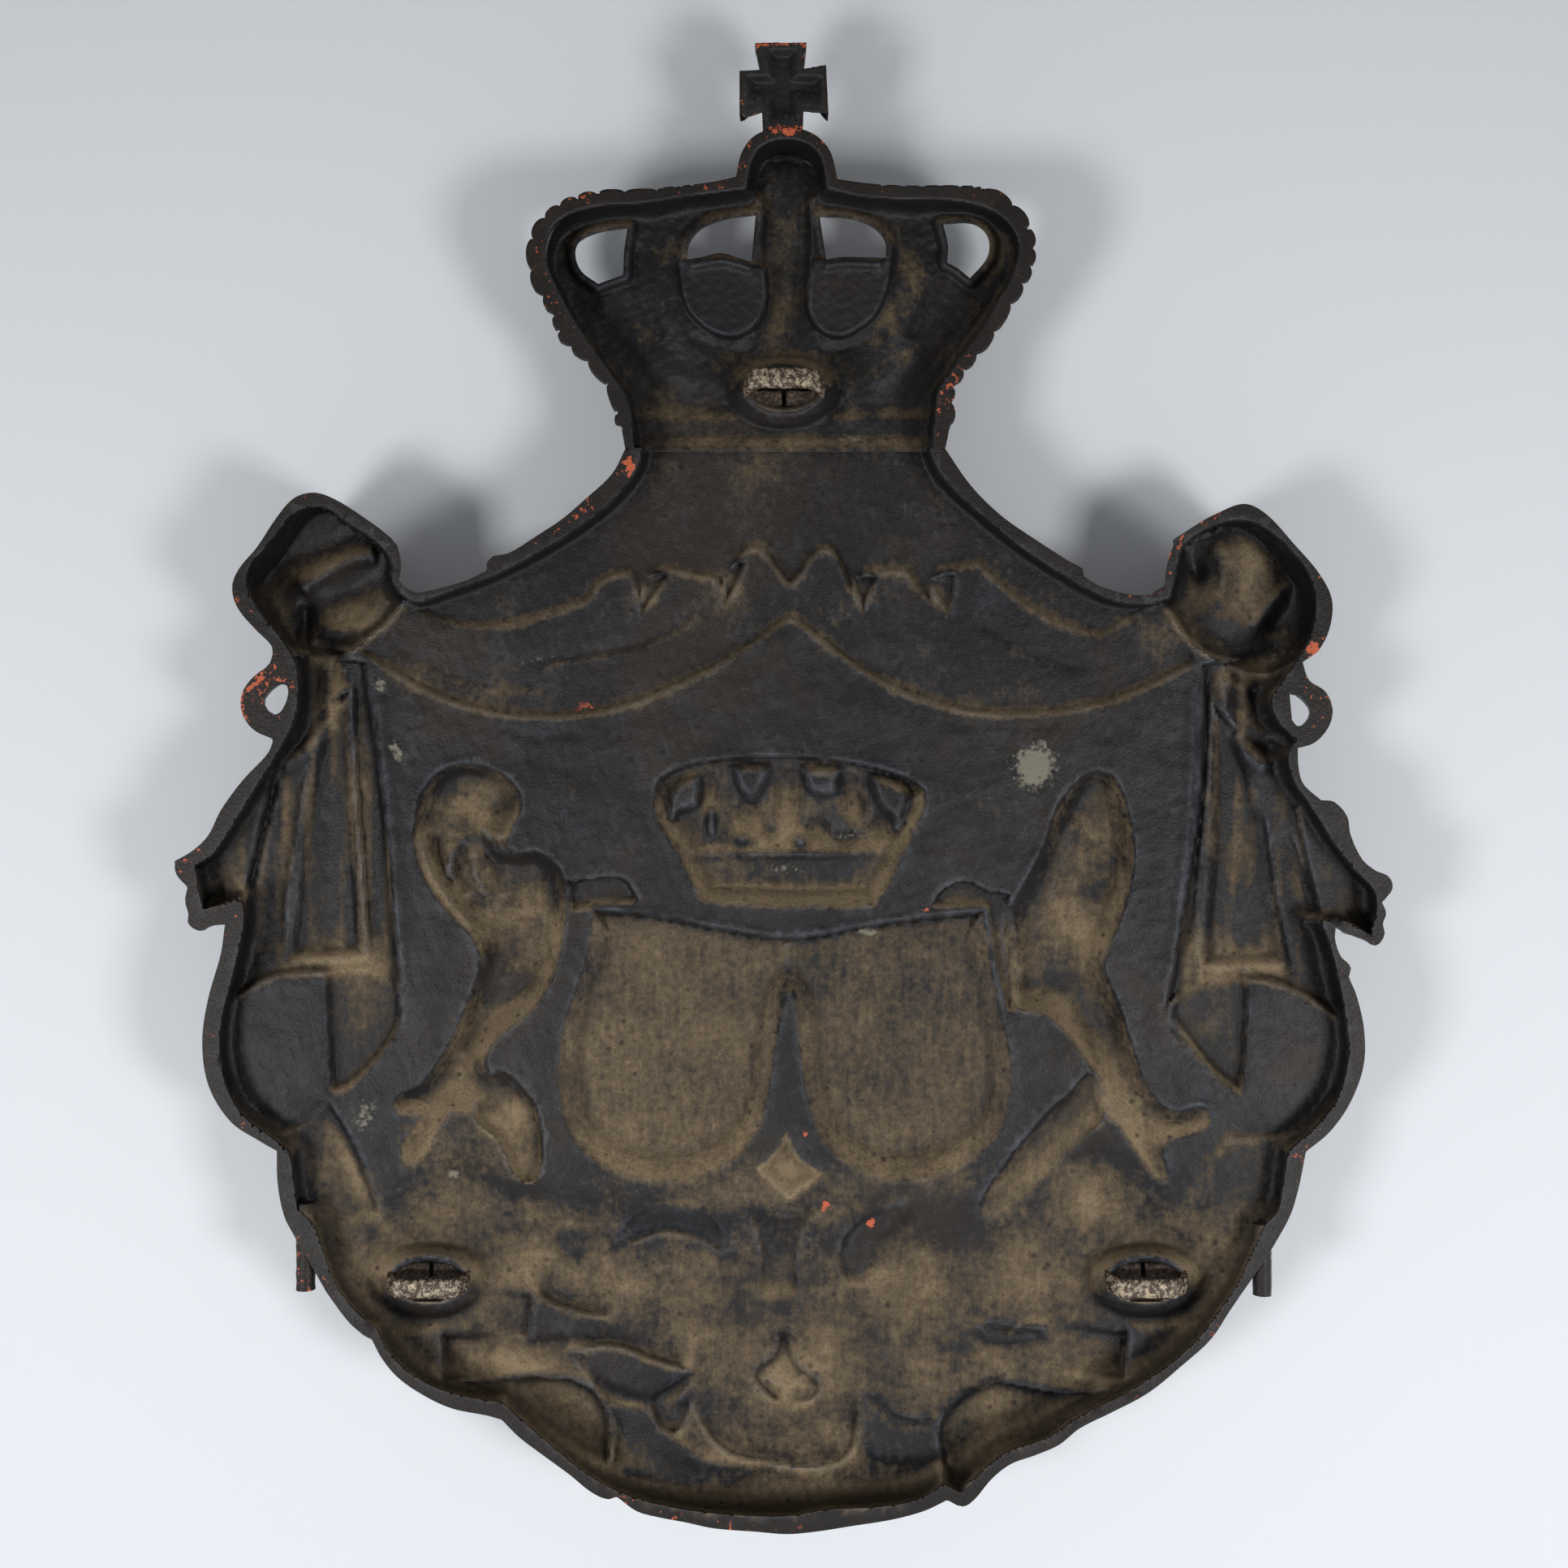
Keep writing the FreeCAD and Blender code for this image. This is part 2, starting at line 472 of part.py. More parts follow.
def relief(name, points_px, edge, floor, inset=None):
    """Boss and hollow of one region of the relief, drawn in from its outline where an inset is named."""
    edge_depth = size(edge)
    drawn_in = size(inset) if inset else 0.0
    hollow = outline_prism(f"{name}_hollow", points_px, edge_depth, BEHIND, f"Sizes.{floor}", -drawn_in)
    boss = outline_prism(f"{name}_boss", points_px, edge_depth, "0",
                         f"Sizes.{floor} + Sizes.wall", size("wall") - drawn_in)
    return boss, hollow


bosses = [outline_prism("field_boss", MANTLE_PX, 0.0, "0", "Sizes.field_depth + Sizes.wall")]
hollows = [outline_prism("field_hollow", MANTLE_INNER_PX, 0.0, BEHIND, "Sizes.field_depth")]
for region in REGIONS:
    boss, hollow = relief(*region)
    bosses.append(boss)
    hollows.append(hollow)

mantle_blank = outline_prism("mantle_blank", MANTLE_PX, 0.0, "0", FRONT)
mantle_well = outline_prism("mantle_well", MANTLE_INNER_PX, 0.0, BEHIND, FRONT)
mantle_outer = common("mantle_outer", [mantle_blank, fuse("mantle_bosses", bosses)])
mantle_inner = common("mantle_inner", [mantle_well, fuse("mantle_hollows", hollows)])
mantle_shell = cut("mantle_shell", mantle_outer, mantle_inner)


def lug(name, px, top_px, bottom_px):
    """Upright round lug that hangs past the rim."""
    feature = doc.addObject("Part::Cylinder", name)
    foot = place(px, bottom_px, 0.0)
    feature.setExpression("Radius", "Sizes.lug_radius")
    feature.Height = place(px, top_px, 0.0).z - foot.z
    feature.setExpression("Placement.Base.y", f"{REAR_Y} + Sizes.lug_back + Sizes.lug_radius")
    feature.Placement.Base.x = foot.x
    feature.Placement.Base.z = foot.z
    return feature


def stadium(name, centre, length, depth, height):
    """Upright slot-shaped block round a centre: a box with a half cylinder at each end."""
    middle = box(f"{name}_middle", f"{length} - ({depth})", depth, height,
                 f"{centre.x} - ({length} - ({depth})) / 2", f"-({depth}) / 2",
                 f"{centre.z} - ({height}) / 2")
    ends = []
    for side, sign in (("left", "-"), ("right", "+")):
        end = doc.addObject("Part::Cylinder", f"{name}_{side}")
        end.setExpression("Radius", f"({depth}) / 2")
        end.setExpression("Height", height)
        end.setExpression("Placement.Base.x", f"{centre.x} {sign} ({length} - ({depth})) / 2")
        end.setExpression("Placement.Base.z", f"{centre.z} - ({height}) / 2")
        ends.append(end)
    return fuse(name, [middle] + ends)


def eye_centre(pixel):
    """Middle of an eye's opening."""
    point = place(pixel[0], pixel[1], EYE_MIDDLE_DEPTH)
    return FreeCAD.Vector(point.x, 0, point.z)


def hanging_eye(label, pixel):
    """Iron strap bent into a closed loop, its two ends butting on the casting's side."""
    centre = eye_centre(pixel)
    outside = stadium(f"{label}_outside", centre, "Sizes.eye_length", "Sizes.eye_depth",
                      "Sizes.strap_width")
    opening = stadium(f"{label}_opening", centre, "(Sizes.eye_length - 2 * Sizes.strap_thickness)",
                      "(Sizes.eye_depth - 2 * Sizes.strap_thickness)",
                      "(Sizes.strap_width + 2 * Sizes.overrun)")
    gap = box(f"{label}_gap", "Sizes.strap_gap", "Sizes.strap_thickness + 2 * Sizes.clearance",
              "Sizes.strap_width + 2 * Sizes.overrun", f"{centre.x} - Sizes.strap_gap / 2",
              "Sizes.eye_depth / 2 - Sizes.strap_thickness - Sizes.clearance",
              f"{centre.z} - Sizes.strap_width / 2 - Sizes.overrun")
    eye = cut(f"{label}_strap", outside, fuse(f"{label}_space", [opening, gap]))
    eye.Label = label
    return eye


BOSS_STEPS = 12
POCKET_HEIGHT = size("strap_width") + 2 * size("pocket_gap")
BOSS_REACH = size("eye_length") / 2 + size("boss_end_wall")
BOSS_RISE = POCKET_HEIGHT / 2 + size("boss_side_wall")


def eye_boss(name, pixel, floor):
    """Oval boss that carries an eye, from its back face down into the shell."""
    centre = eye_centre(pixel)
    points = []
    for step in range(BOSS_STEPS):
        angle = 2 * math.pi * step / BOSS_STEPS
        across = BOSS_REACH * math.cos(angle)
        up = BOSS_RISE * math.sin(angle)
        points.append(FreeCAD.Vector(centre.x + across, REAR_Y, centre.z + up))
    wire = Part.Wire([run_edge(points + points[:1], True)])
    return prism(name, face_object(f"{name}_face", wire), "Sizes.boss_back",
                 f"Sizes.{floor} + Sizes.wall / 2")


def eye_seat(name, pixel):
    """Groove for the strap, and the pocket that a hook passes through."""
    centre = eye_centre(pixel)
    groove = stadium(f"{name}_groove", centre, "(Sizes.eye_length + 2 * Sizes.clearance)",
                     "(Sizes.eye_depth + 2 * Sizes.clearance)",
                     "(Sizes.strap_width + 2 * Sizes.clearance)")
    pocket = box(f"{name}_pocket", "Sizes.eye_length - 2 * Sizes.strap_thickness",
                 "Sizes.eye_depth - Sizes.strap_thickness + Sizes.overrun", f"{POCKET_HEIGHT}",
                 f"{centre.x} - Sizes.eye_length / 2 + Sizes.strap_thickness",
                 "-Sizes.eye_depth / 2 - Sizes.overrun", f"{centre.z - POCKET_HEIGHT / 2}")
    return fuse(name, [groove, pocket])


SEAM = place(CENTRE_PX[0], SEAM_PX, 0.0).z
KEY_DEPTH = f"{REAR_Y} + Sizes.collar_depth + Sizes.wall / 2 - Sizes.key_side / 2"
KEY_LENGTH = "(Sizes.key_in_mantle + Sizes.crown_sill + Sizes.key_proud)"


def key_block(name, margin):
    """Square key across the seam between mantle and crown, with a margin all round."""
    side = f"Sizes.key_side + 2 * {margin}"
    return box(name, side, side, f"{KEY_LENGTH} + 2 * {margin}", f"-Sizes.key_side / 2 - {margin}",
               f"{KEY_DEPTH} - {margin}", f"{SEAM} - Sizes.key_in_mantle - {margin}")


crown_key = key_block("key_stock", "0")
crown_key.Label = "crown_key"

eyes = [
    hanging_eye("upper_eye", UPPER_EYE_PX),
    hanging_eye("lower_left_eye", LOWER_LEFT_EYE_PX),
    hanging_eye("lower_right_eye", LOWER_RIGHT_EYE_PX),
]

mantle_solid = fuse("mantle_solid", [
    mantle_shell,
    eye_boss("lower_left_boss", LOWER_LEFT_EYE_PX, "base_depth"),
    eye_boss("lower_right_boss", LOWER_RIGHT_EYE_PX, "base_depth"),
] + [lug(name, *places) for name, places in LUGS_PX.items()])
mantle_cuts = fuse("mantle_cuts", [
    outline_prism("left_ring_hole", LEFT_RING_PX, 0.0, BEHIND, FRONT),
    outline_prism("right_ring_hole", RIGHT_RING_PX, 0.0, BEHIND, FRONT),
    outline_prism("left_ear_front", LEFT_EAR_PX, 0.0, "Sizes.ear_depth", FRONT),
    outline_prism("right_ear_front", RIGHT_EAR_PX, 0.0, "Sizes.ear_depth", FRONT),
    eye_seat("lower_left_seat", LOWER_LEFT_EYE_PX),
    eye_seat("lower_right_seat", LOWER_RIGHT_EYE_PX),
    key_block("mantle_keyway", "Sizes.clearance"),
])
mantle_casting = cut("mantle", mantle_solid, mantle_cuts)
mantle_casting.Label = "mantle_casting"

# Crown: arches with openings between them, plain webs, an orb, and beads along its edge
CROWN_FLOOR = "Sizes.crown_depth"
ARCH_FLOOR = "Sizes.arch_depth"
ORB_PX = (968, 216)
ORB_RADIUS_PX = 56
ORB_STEPS = 16
PEARLED_EDGE_SHARE = 0.3
QUARTER_TURN = FreeCAD.Rotation(FreeCAD.Vector(1, 0, 0), -90)


def circle_px(centre, radius):
    """Round outline about a pixel."""
    angles = [2 * math.pi * step / ORB_STEPS for step in range(ORB_STEPS)]
    return [(centre[0] + radius * math.cos(a), centre[1] + radius * math.sin(a)) for a in angles]


def pearls(outline_px):
    """Beads at an even pitch along the two arched edges between the seam and the orb."""
    flags, points = closed_outline(outline_px, 0.0)
    beads = []
    for run in split_runs(flags, points):
        edge = run_edge(run, False)
        if edge.Length < PEARLED_EDGE_SHARE * size("overall_width"):
            continue
        middle = edge.valueAt(edge.getParameterByLength(edge.Length / 2))
        inward = 1 if middle.x < 0 else -1
        count = int(edge.Length / size("pearl_pitch"))
        for index in range(1, count):
            parameter = edge.getParameterByLength(index * edge.Length / count)
            along = edge.tangentAt(parameter)
            normal = FreeCAD.Vector(along.z, 0, -along.x)
            towards_middle = 1 if normal.x * inward - normal.z > 0 else -1
            sink = size("pearl_radius") - size("pearl_proud")
            centre = edge.valueAt(parameter) + normal * (sink * towards_middle)
            bead = doc.addObject("Part::Cylinder", f"pearl_{len(beads)}")
            bead.setExpression("Radius", "Sizes.pearl_radius")
            bead.setExpression("Height", CROWN_FLOOR)
            bead.Placement = FreeCAD.Placement(centre, QUARTER_TURN)
            beads.append(bead)
    return beads


ORB_OUTLINE_PX = circle_px(ORB_PX, ORB_RADIUS_PX)
crown_blank = outline_prism("crown_blank", CROWN_PX, 0.0, "0", f"{CROWN_FLOOR} + Sizes.wall")
crown_outer = fuse("crown_outer", [
    crown_blank,
    outline_prism("middle_arch_boss", MIDDLE_ARCH_PX, size("crown_depth"), "0",
                  f"{ARCH_FLOOR} + Sizes.wall", size("wall")),
    outline_prism("orb_boss", ORB_OUTLINE_PX, 0.0, "0", f"{ARCH_FLOOR} + Sizes.wall"),
] + pearls(CROWN_PX))
crown_hollows = fuse("crown_hollows", [
    outline_prism("crown_hollow", CROWN_INNER_PX, 0.0, BEHIND, CROWN_FLOOR),
    outline_prism("middle_arch_hollow", MIDDLE_ARCH_PX, size("crown_depth"), BEHIND, ARCH_FLOOR),
    outline_prism("orb_hollow", ORB_OUTLINE_PX, 0.0, BEHIND, ARCH_FLOOR, -size("wall")),
    outline_prism("neck_passage", PASSAGE_PX, 0.0, BEHIND, "Sizes.collar_depth"),
])
window_lips = [
    outline_prism(f"{name}_lip", points_px, size("window_lip_depth"), "Sizes.window_lip_depth", FRONT,
                  size("lip_width"))
    for name, points_px in WINDOWS_PX.items()
]
webs = [
    outline_prism(name, points_px, size("web_depth"), "Sizes.web_depth", FRONT)
    for name, points_px in WEBS_PX.items()
]
crown_inner = cut("crown_inner", crown_hollows, fuse("crown_lips", window_lips + webs))
crown_solid = fuse("crown_solid", [
    cut("crown_shell", crown_outer, crown_inner),
    eye_boss("upper_boss", UPPER_EYE_PX, "crown_depth"),
])

# Cross: hollow behind, its foot cut to the orb's curve, with a tenon through the orb's wall
CROSS_AXIS_PX = 965
ORB_TOP_PX = 157
CROSS_DEPTH = "Sizes.cross_back + Sizes.cross_thickness"
TENON_BACK = f"{REAR_Y} + Sizes.cross_back + (Sizes.cross_thickness - Sizes.tenon_thickness) / 2"
FOOT_OVERLAP_PX = 14


def tenon_block(name, margin):
    """Tenon under the cross, with a margin all round."""
    top = place(CROSS_AXIS_PX, ORB_TOP_PX, 0.0)
    return box(name, f"Sizes.tenon_width + 2 * {margin}", f"Sizes.tenon_thickness + 2 * {margin}",
               f"2 * Sizes.tenon_length + 2 * {margin}",
               f"{top.x} - Sizes.tenon_width / 2 - {margin}", f"{TENON_BACK} - {margin}",
               f"{top.z} - Sizes.tenon_length - {margin}")


def lowered_foot(points_px):
    """The cross outline with its foot run down into the orb's top."""
    foot = max(point[1] for point in points_px)
    return [(point[0], point[1] + FOOT_OVERLAP_PX * (point[1] == foot), 1) for point in points_px]


cross_blank = outline_prism("cross_blank", lowered_foot(CROSS_PX), 0.0, "Sizes.cross_back", CROSS_DEPTH)
saddle = outline_prism("cross_saddle", CROWN_PX, 0.0, BEHIND, FRONT, size("clearance"))
cross_hollow = outline_prism("cross_pocket", CROSS_HOLLOW_PX, 0.0, BEHIND,
                             "Sizes.cross_back + Sizes.cross_hollow")
cross_body = cut("cross_body", cross_blank, fuse("cross_spaces", [saddle, cross_hollow]))
crown_cross = fuse("cross", [cross_body, tenon_block("cross_tenon", "0")])
crown_cross.Label = "crown_cross"

crown_cuts = fuse("crown_cuts", [
    outline_prism(f"{name}_window", points_px, size("window_lip_depth"), BEHIND, FRONT)
    for name, points_px in WINDOWS_PX.items()
] + [
    eye_seat("upper_seat", UPPER_EYE_PX),
    key_block("crown_keyway", "Sizes.clearance"),
    tenon_block("cross_mortise", "Sizes.clearance"),
])
crown_casting = cut("crown", crown_solid, crown_cuts)
crown_casting.Label = "crown_casting"

doc.recompute()
failed = [item.Name for item in doc.Objects if {"Invalid", "Error"} & set(item.State)]
if failed:
    raise RuntimeError(f"features that failed: {failed}")

os.makedirs("parts", exist_ok=True)
for piece in [mantle_casting, crown_casting, crown_cross, crown_key] + eyes:
    shape = piece.Shape
    if shape.isNull() or not shape.isValid():
        raise RuntimeError(f"{piece.Label} has no valid shape")
    print(piece.Label, "solids", len(shape.Solids), "volume", round(shape.Volume), shape.BoundBox)
    shape.exportStep(f"parts/{piece.Label}.step")
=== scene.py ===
# %% [markdown]
# # A cast-iron coat of arms, seen from behind
# The object is a hollow casting: what is raised on its front is sunk in its back. This lesson builds that
# back as a surface, gives it its front one wall thickness further on, and finishes it in old black paint
# with dust on every ledge. Everything is in metres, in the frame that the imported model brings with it.

import bpy
import numpy as np
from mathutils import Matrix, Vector


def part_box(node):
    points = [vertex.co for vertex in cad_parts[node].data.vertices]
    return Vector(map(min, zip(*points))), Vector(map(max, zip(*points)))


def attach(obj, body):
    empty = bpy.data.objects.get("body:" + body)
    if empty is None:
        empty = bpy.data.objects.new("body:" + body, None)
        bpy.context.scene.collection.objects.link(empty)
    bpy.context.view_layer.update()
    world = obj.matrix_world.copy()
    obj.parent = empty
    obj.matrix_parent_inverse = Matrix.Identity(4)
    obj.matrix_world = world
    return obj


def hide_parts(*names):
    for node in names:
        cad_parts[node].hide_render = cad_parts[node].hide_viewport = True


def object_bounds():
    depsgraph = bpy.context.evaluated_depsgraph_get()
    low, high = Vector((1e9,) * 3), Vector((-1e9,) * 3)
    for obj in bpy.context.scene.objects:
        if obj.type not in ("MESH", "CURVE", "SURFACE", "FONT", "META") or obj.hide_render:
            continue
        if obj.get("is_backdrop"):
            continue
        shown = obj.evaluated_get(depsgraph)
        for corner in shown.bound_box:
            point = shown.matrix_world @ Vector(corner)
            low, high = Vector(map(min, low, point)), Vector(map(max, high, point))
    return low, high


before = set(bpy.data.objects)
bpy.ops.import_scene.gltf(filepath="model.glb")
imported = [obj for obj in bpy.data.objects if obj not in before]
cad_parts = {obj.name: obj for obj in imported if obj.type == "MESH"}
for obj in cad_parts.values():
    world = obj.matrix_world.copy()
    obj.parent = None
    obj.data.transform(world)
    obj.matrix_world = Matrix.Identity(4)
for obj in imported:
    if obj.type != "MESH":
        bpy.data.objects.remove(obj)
cad_low, cad_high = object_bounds()
print("nodes:", sorted(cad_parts))

# %% [markdown]
# ## From pixels to metres
# The outlines below were read from the photograph, in its own pixels. The camera stood about a
# metre from the rim, so a point that lies deeper is seen nearer to the middle of the picture. Undoing that
# by depth is simpler than measuring every region twice, so each point is placed by its pixel and its depth.

# %% Scale of the photograph
MM = 0.001
OVERALL_WIDTH = 750 * MM
OVERALL_HEIGHT = 918 * MM
PHOTO_DISTANCE = 1050 * MM
EYE_MIDDLE_DEPTH = 15 * MM
IMAGE_SIDE_PX = 1932
CENTRE_PX = 966
LEFT_PX, RIGHT_PX, TOP_PX, BOTTOM_PX = 214, 1717, 51, 1890
UPPER_EYE_PX = 486
SEAM_PX = 557
ACROSS = OVERALL_WIDTH / (RIGHT_PX - LEFT_PX)
UP = OVERALL_HEIGHT / (BOTTOM_PX - TOP_PX)
RIM_Y = -EYE_MIDDLE_DEPTH
AXIS_Z = -(CENTRE_PX - UPPER_EYE_PX) * UP * (1 + EYE_MIDDLE_DEPTH / PHOTO_DISTANCE)


def place(px, py, depth):
    """Metres of what is seen at a pixel: its offset from the middle, times the scale, widened by depth."""
    widen = 1 + depth / PHOTO_DISTANCE
    x = (px - CENTRE_PX) * ACROSS * widen
    z = (CENTRE_PX - py) * UP * widen + AXIS_Z
    return np.stack([x, RIM_Y + depth + 0 * x, z], axis=-1)


def seen_at(points):
    """The pixel and the depth of points in metres: place() turned round."""
    depth = points[..., 1] - RIM_Y
    widen = 1 + depth / PHOTO_DISTANCE
    px = CENTRE_PX + points[..., 0] / (ACROSS * widen)
    py = CENTRE_PX - (points[..., 2] - AXIS_Z) / (UP * widen)
    return px, py, depth


print("one pixel is", round(ACROSS / MM, 3), "mm")

# %% [markdown]
# ## Drawing with distances
# A relief could be sculpted by hand or cut from solids. Here it is drawn: every outline becomes a map of
# the distance to it, and walls, folds and hollows are profiles of that distance. One map per outline keeps
# a hollow's edge, its wall and its floor in step.

# %% Curves through hand-read points
PIECES_PER_SPAN = 6
TINY = 1e-9


def smooth_path(points, closed=True):
    """Hermite curve through points: each slope is the chord past it; a corner keeps its own two slopes."""
    place_px = np.array([point[:2] for point in points], float)
    corner = np.array([len(point) > 2 for point in points])
    if not closed:
        corner[[0, -1]] = True
    ahead = np.roll(place_px, -1, 0) - place_px
    behind = place_px - np.roll(place_px, 1, 0)
    chord = ahead + behind
    chord = chord / np.maximum(np.linalg.norm(chord, axis=1, keepdims=True), TINY)
    leave = np.where(corner[:, None], ahead, chord * np.linalg.norm(ahead, axis=1, keepdims=True))
    arrive = np.where(corner[:, None], behind, chord * np.linalg.norm(behind, axis=1, keepdims=True))
    t = np.linspace(0, 1, PIECES_PER_SPAN, endpoint=False)[None, :, None]
    spans = ((2 * t**3 - 3 * t**2 + 1) * place_px[:, None] + (t**3 - 2 * t**2 + t) * leave[:, None]
             + (3 * t**2 - 2 * t**3) * np.roll(place_px, -1, 0)[:, None]
             + (t**3 - t**2) * np.roll(arrive, -1, 0)[:, None])
    if closed:
        return spans.reshape(-1, 2)
    return np.concatenate([spans[:-1].reshape(-1, 2), place_px[-1:]])


print("a corner-to-corner test path has", len(smooth_path([(0, 0, 1), (9, 0, 1), (9, 9, 1)])), "points")

# %% [markdown]
# One grid of pixels lies over each casting. It is even at first, so that any field on it can be read at any
# pixel; later its nodes move a little, onto the edges nearby.

# %% Grid of pixels
JUST_INSIDE = 1.001


class Sheet:
    """A grid of pixels over one piece.

    rows and cols are the even grid; px and py are its nodes, which may shift."""

    def __init__(self, left, right, top, bottom, step):
        self.step = step
        self.cols = np.arange(left, right + step, step, dtype=float)
        self.rows = np.arange(top, bottom + step, step, dtype=float)
        self.px, self.py = np.meshgrid(self.cols, self.rows)

    def window(self, low, high):
        """Index ranges of the nodes between two pixels."""
        first = np.floor((np.array(low) - [self.cols[0], self.rows[0]]) / self.step).astype(int)
        last = np.ceil((np.array(high) - [self.cols[0], self.rows[0]]) / self.step).astype(int) + 1
        first = np.maximum(first, 0)
        last = np.maximum(last, first)
        return slice(first[1], last[1]), slice(first[0], last[0])

    def slope(self, field):
        """Gradient of a field per pixel, across and down."""
        down, across = np.gradient(field, self.step)
        return across, down

    def sample(self, field, px, py):
        """Bilinear reading of a field at any pixels."""
        col = np.clip((px - self.cols[0]) / self.step, 0, len(self.cols) - JUST_INSIDE)
        row = np.clip((py - self.rows[0]) / self.step, 0, len(self.rows) - JUST_INSIDE)
        c, r = col.astype(int), row.astype(int)
        u, v = col - c, row - r
        upper = field[r, c] * (1 - u) + field[r, c + 1] * u
        lower = field[r + 1, c] * (1 - u) + field[r + 1, c + 1] * u
        return upper * (1 - v) + lower * v


# %% [markdown]
# The distance to an outline is found one straight piece at a time, in a window round that piece, and the
# inside by counting how often a line from the left crosses the outline.

# %% Distances to outlines
SHORTEST_PX = 1e-6
REACH_PX = 40


def nearest(sheet, path, reach, closed):
    """Distance to a path, the side of it, and how far along it, kept within reach pixels of the path."""
    distance = np.full(sheet.px.shape, float(reach))
    side = np.zeros(sheet.px.shape)
    along = np.zeros(sheet.px.shape)
    stops = np.roll(path, -1, 0) if closed else path[1:]
    starts = path if closed else path[:-1]
    lengths = np.linalg.norm(stops - starts, axis=1)
    total = max(lengths.sum(), TINY)
    runs = np.concatenate([[0], np.cumsum(lengths)[:-1]])
    for start, stop, length, run in zip(starts, stops, lengths, runs):
        if length < SHORTEST_PX:
            continue
        block = sheet.window(np.minimum(start, stop) - reach, np.maximum(start, stop) + reach)
        dx = sheet.px[block] - start[0]
        dy = sheet.py[block] - start[1]
        way = (stop - start) / length
        t = np.clip(dx * way[0] + dy * way[1], 0, length)
        gap = np.hypot(dx - t * way[0], dy - t * way[1])
        closer = gap < distance[block]
        distance[block] = np.where(closer, gap, distance[block])
        side[block] = np.where(closer, np.sign(way[0] * dy - way[1] * dx), side[block])
        along[block] = np.where(closer, (run + t) / total, along[block])
    return distance, side, along


def inside_of(sheet, path):
    """True where a node lies inside a closed path: an odd number of crossings to its left."""
    crossings = np.zeros((len(sheet.rows), len(sheet.cols) + 1), int)
    start, stop = path, np.roll(path, -1, 0)
    above = start[:, 1][None] <= sheet.rows[:, None]
    passes = above != (stop[:, 1][None] <= sheet.rows[:, None])
    fall = np.where(np.abs(stop[:, 1] - start[:, 1]) < TINY, 1, stop[:, 1] - start[:, 1])
    at = start[:, 0] + (sheet.rows[:, None] - start[:, 1]) / fall * (stop[:, 0] - start[:, 0])
    row, _ = np.nonzero(passes)
    col = np.clip(np.searchsorted(sheet.cols, at[passes]), 0, len(sheet.cols))
    np.add.at(crossings, (row, col), 1)
    return np.cumsum(crossings, axis=1)[:, :-1] % 2 == 1


def depth_into(sheet, points, reach=REACH_PX):
    """Pixels inward from a closed outline, negative outside it, no further than reach."""
    path = smooth_path(points)
    distance, _, _ = nearest(sheet, path, reach, True)
    return np.where(inside_of(sheet, path), distance, -distance)


# %% [markdown]
# Sand-cast walls come in a few forms: rounded at both ends, a quarter circle as in a hollowed back, a
# trough, or a plain bevel. Each is a curve from 0 at the lip to 1 at the floor.

# %% Forms of a wall
def ease(t):
    """Smooth step from 0 to 1: 3t squared less 2t cubed."""
    t = np.clip(t, 0, 1)
    return t * t * (3 - 2 * t)


def scoop(t):
    """Quarter circle from 0 to 1: steep at the lip, level at the floor."""
    t = np.clip(t, 0, 1)
    return np.sqrt(1 - (1 - t) ** 2)


def trough(t):
    """Quarter sine wave from 0 to 1: sloped at the lip, level at the floor."""
    return np.sin(np.pi / 2 * np.clip(t, 0, 1))


def bevel(t):
    """A straight slope from 0 to 1."""
    return np.clip(t, 0, 1)


# %% [markdown]
# No pattern is carved quite evenly. A sum of long waves in random directions gives floors their gentle
# unevenness, and a blur tells a fine form from a broad one.

# %% Unevenness
WAVES = 14
WAVE_SPREAD = (0.6, 1.6)


def blur(field, times, width=1):
    """Average over a small square, several times over."""
    span = 2 * width + 1
    for _ in range(times):
        for axis in (0, 1):
            pad = [(0, 0), (0, 0)]
            pad[axis] = (width + 1, width)
            sums = np.cumsum(np.pad(field, pad, mode="edge"), axis=axis)
            field = (np.take(sums, range(span, sums.shape[axis]), axis)
                     - np.take(sums, range(sums.shape[axis] - span), axis)) / span
    return field


def uneven(sheet, wavelength, seed, waves=WAVES):
    """Gentle unevenness: a sum of sine waves of about one wavelength in random directions, about -1 to 1."""
    random = np.random.default_rng(seed)
    total = np.zeros(sheet.px.shape)
    for _ in range(waves):
        turn = random.uniform(0, 2 * np.pi)
        length = wavelength * random.uniform(*WAVE_SPREAD)
        phase = random.uniform(0, 2 * np.pi)
        travel = sheet.px * np.cos(turn) + sheet.py * np.sin(turn)
        total += np.sin(2 * np.pi * travel / length + phase)
    return total / np.sqrt(waves)


def rough(sheet, depth, waves):
    """A depth with unevenness added: each wave gives a height, a wavelength in pixels and a seed."""
    for height, wavelength, seed in waves:
        depth = depth + height * uneven(sheet, wavelength, seed)
    return depth


# %% [markdown]
# ## Walls, folds and swellings
# A wall that runs straight back is seen edge-on in the middle of the picture and broad at its sides. So a
# wall's width on the grid is its draft plus what the view adds, worked out from the distance to the middle.

# %% Walls
DISTANCE_MM = PHOTO_DISTANCE / MM
STEEP_TOP = 0.2


def wall_share(sheet, inward, rise, draft, steep=STEEP_TOP):
    """Share of a wall climbed at each node: inward distance over draft plus the part of the wall in view.

    Walls above a hollow are steep and walls below it lie back, so the draft grows from top to foot."""
    across, down = sheet.slope(inward)
    outward = -(across * (sheet.px - CENTRE_PX) + down * (sheet.py - CENTRE_PX))
    lean = steep + (1 - steep) * ease(1 - down)
    return inward / (draft * lean + np.maximum(outward, 0) * np.maximum(rise, 0) / DISTANCE_MM)


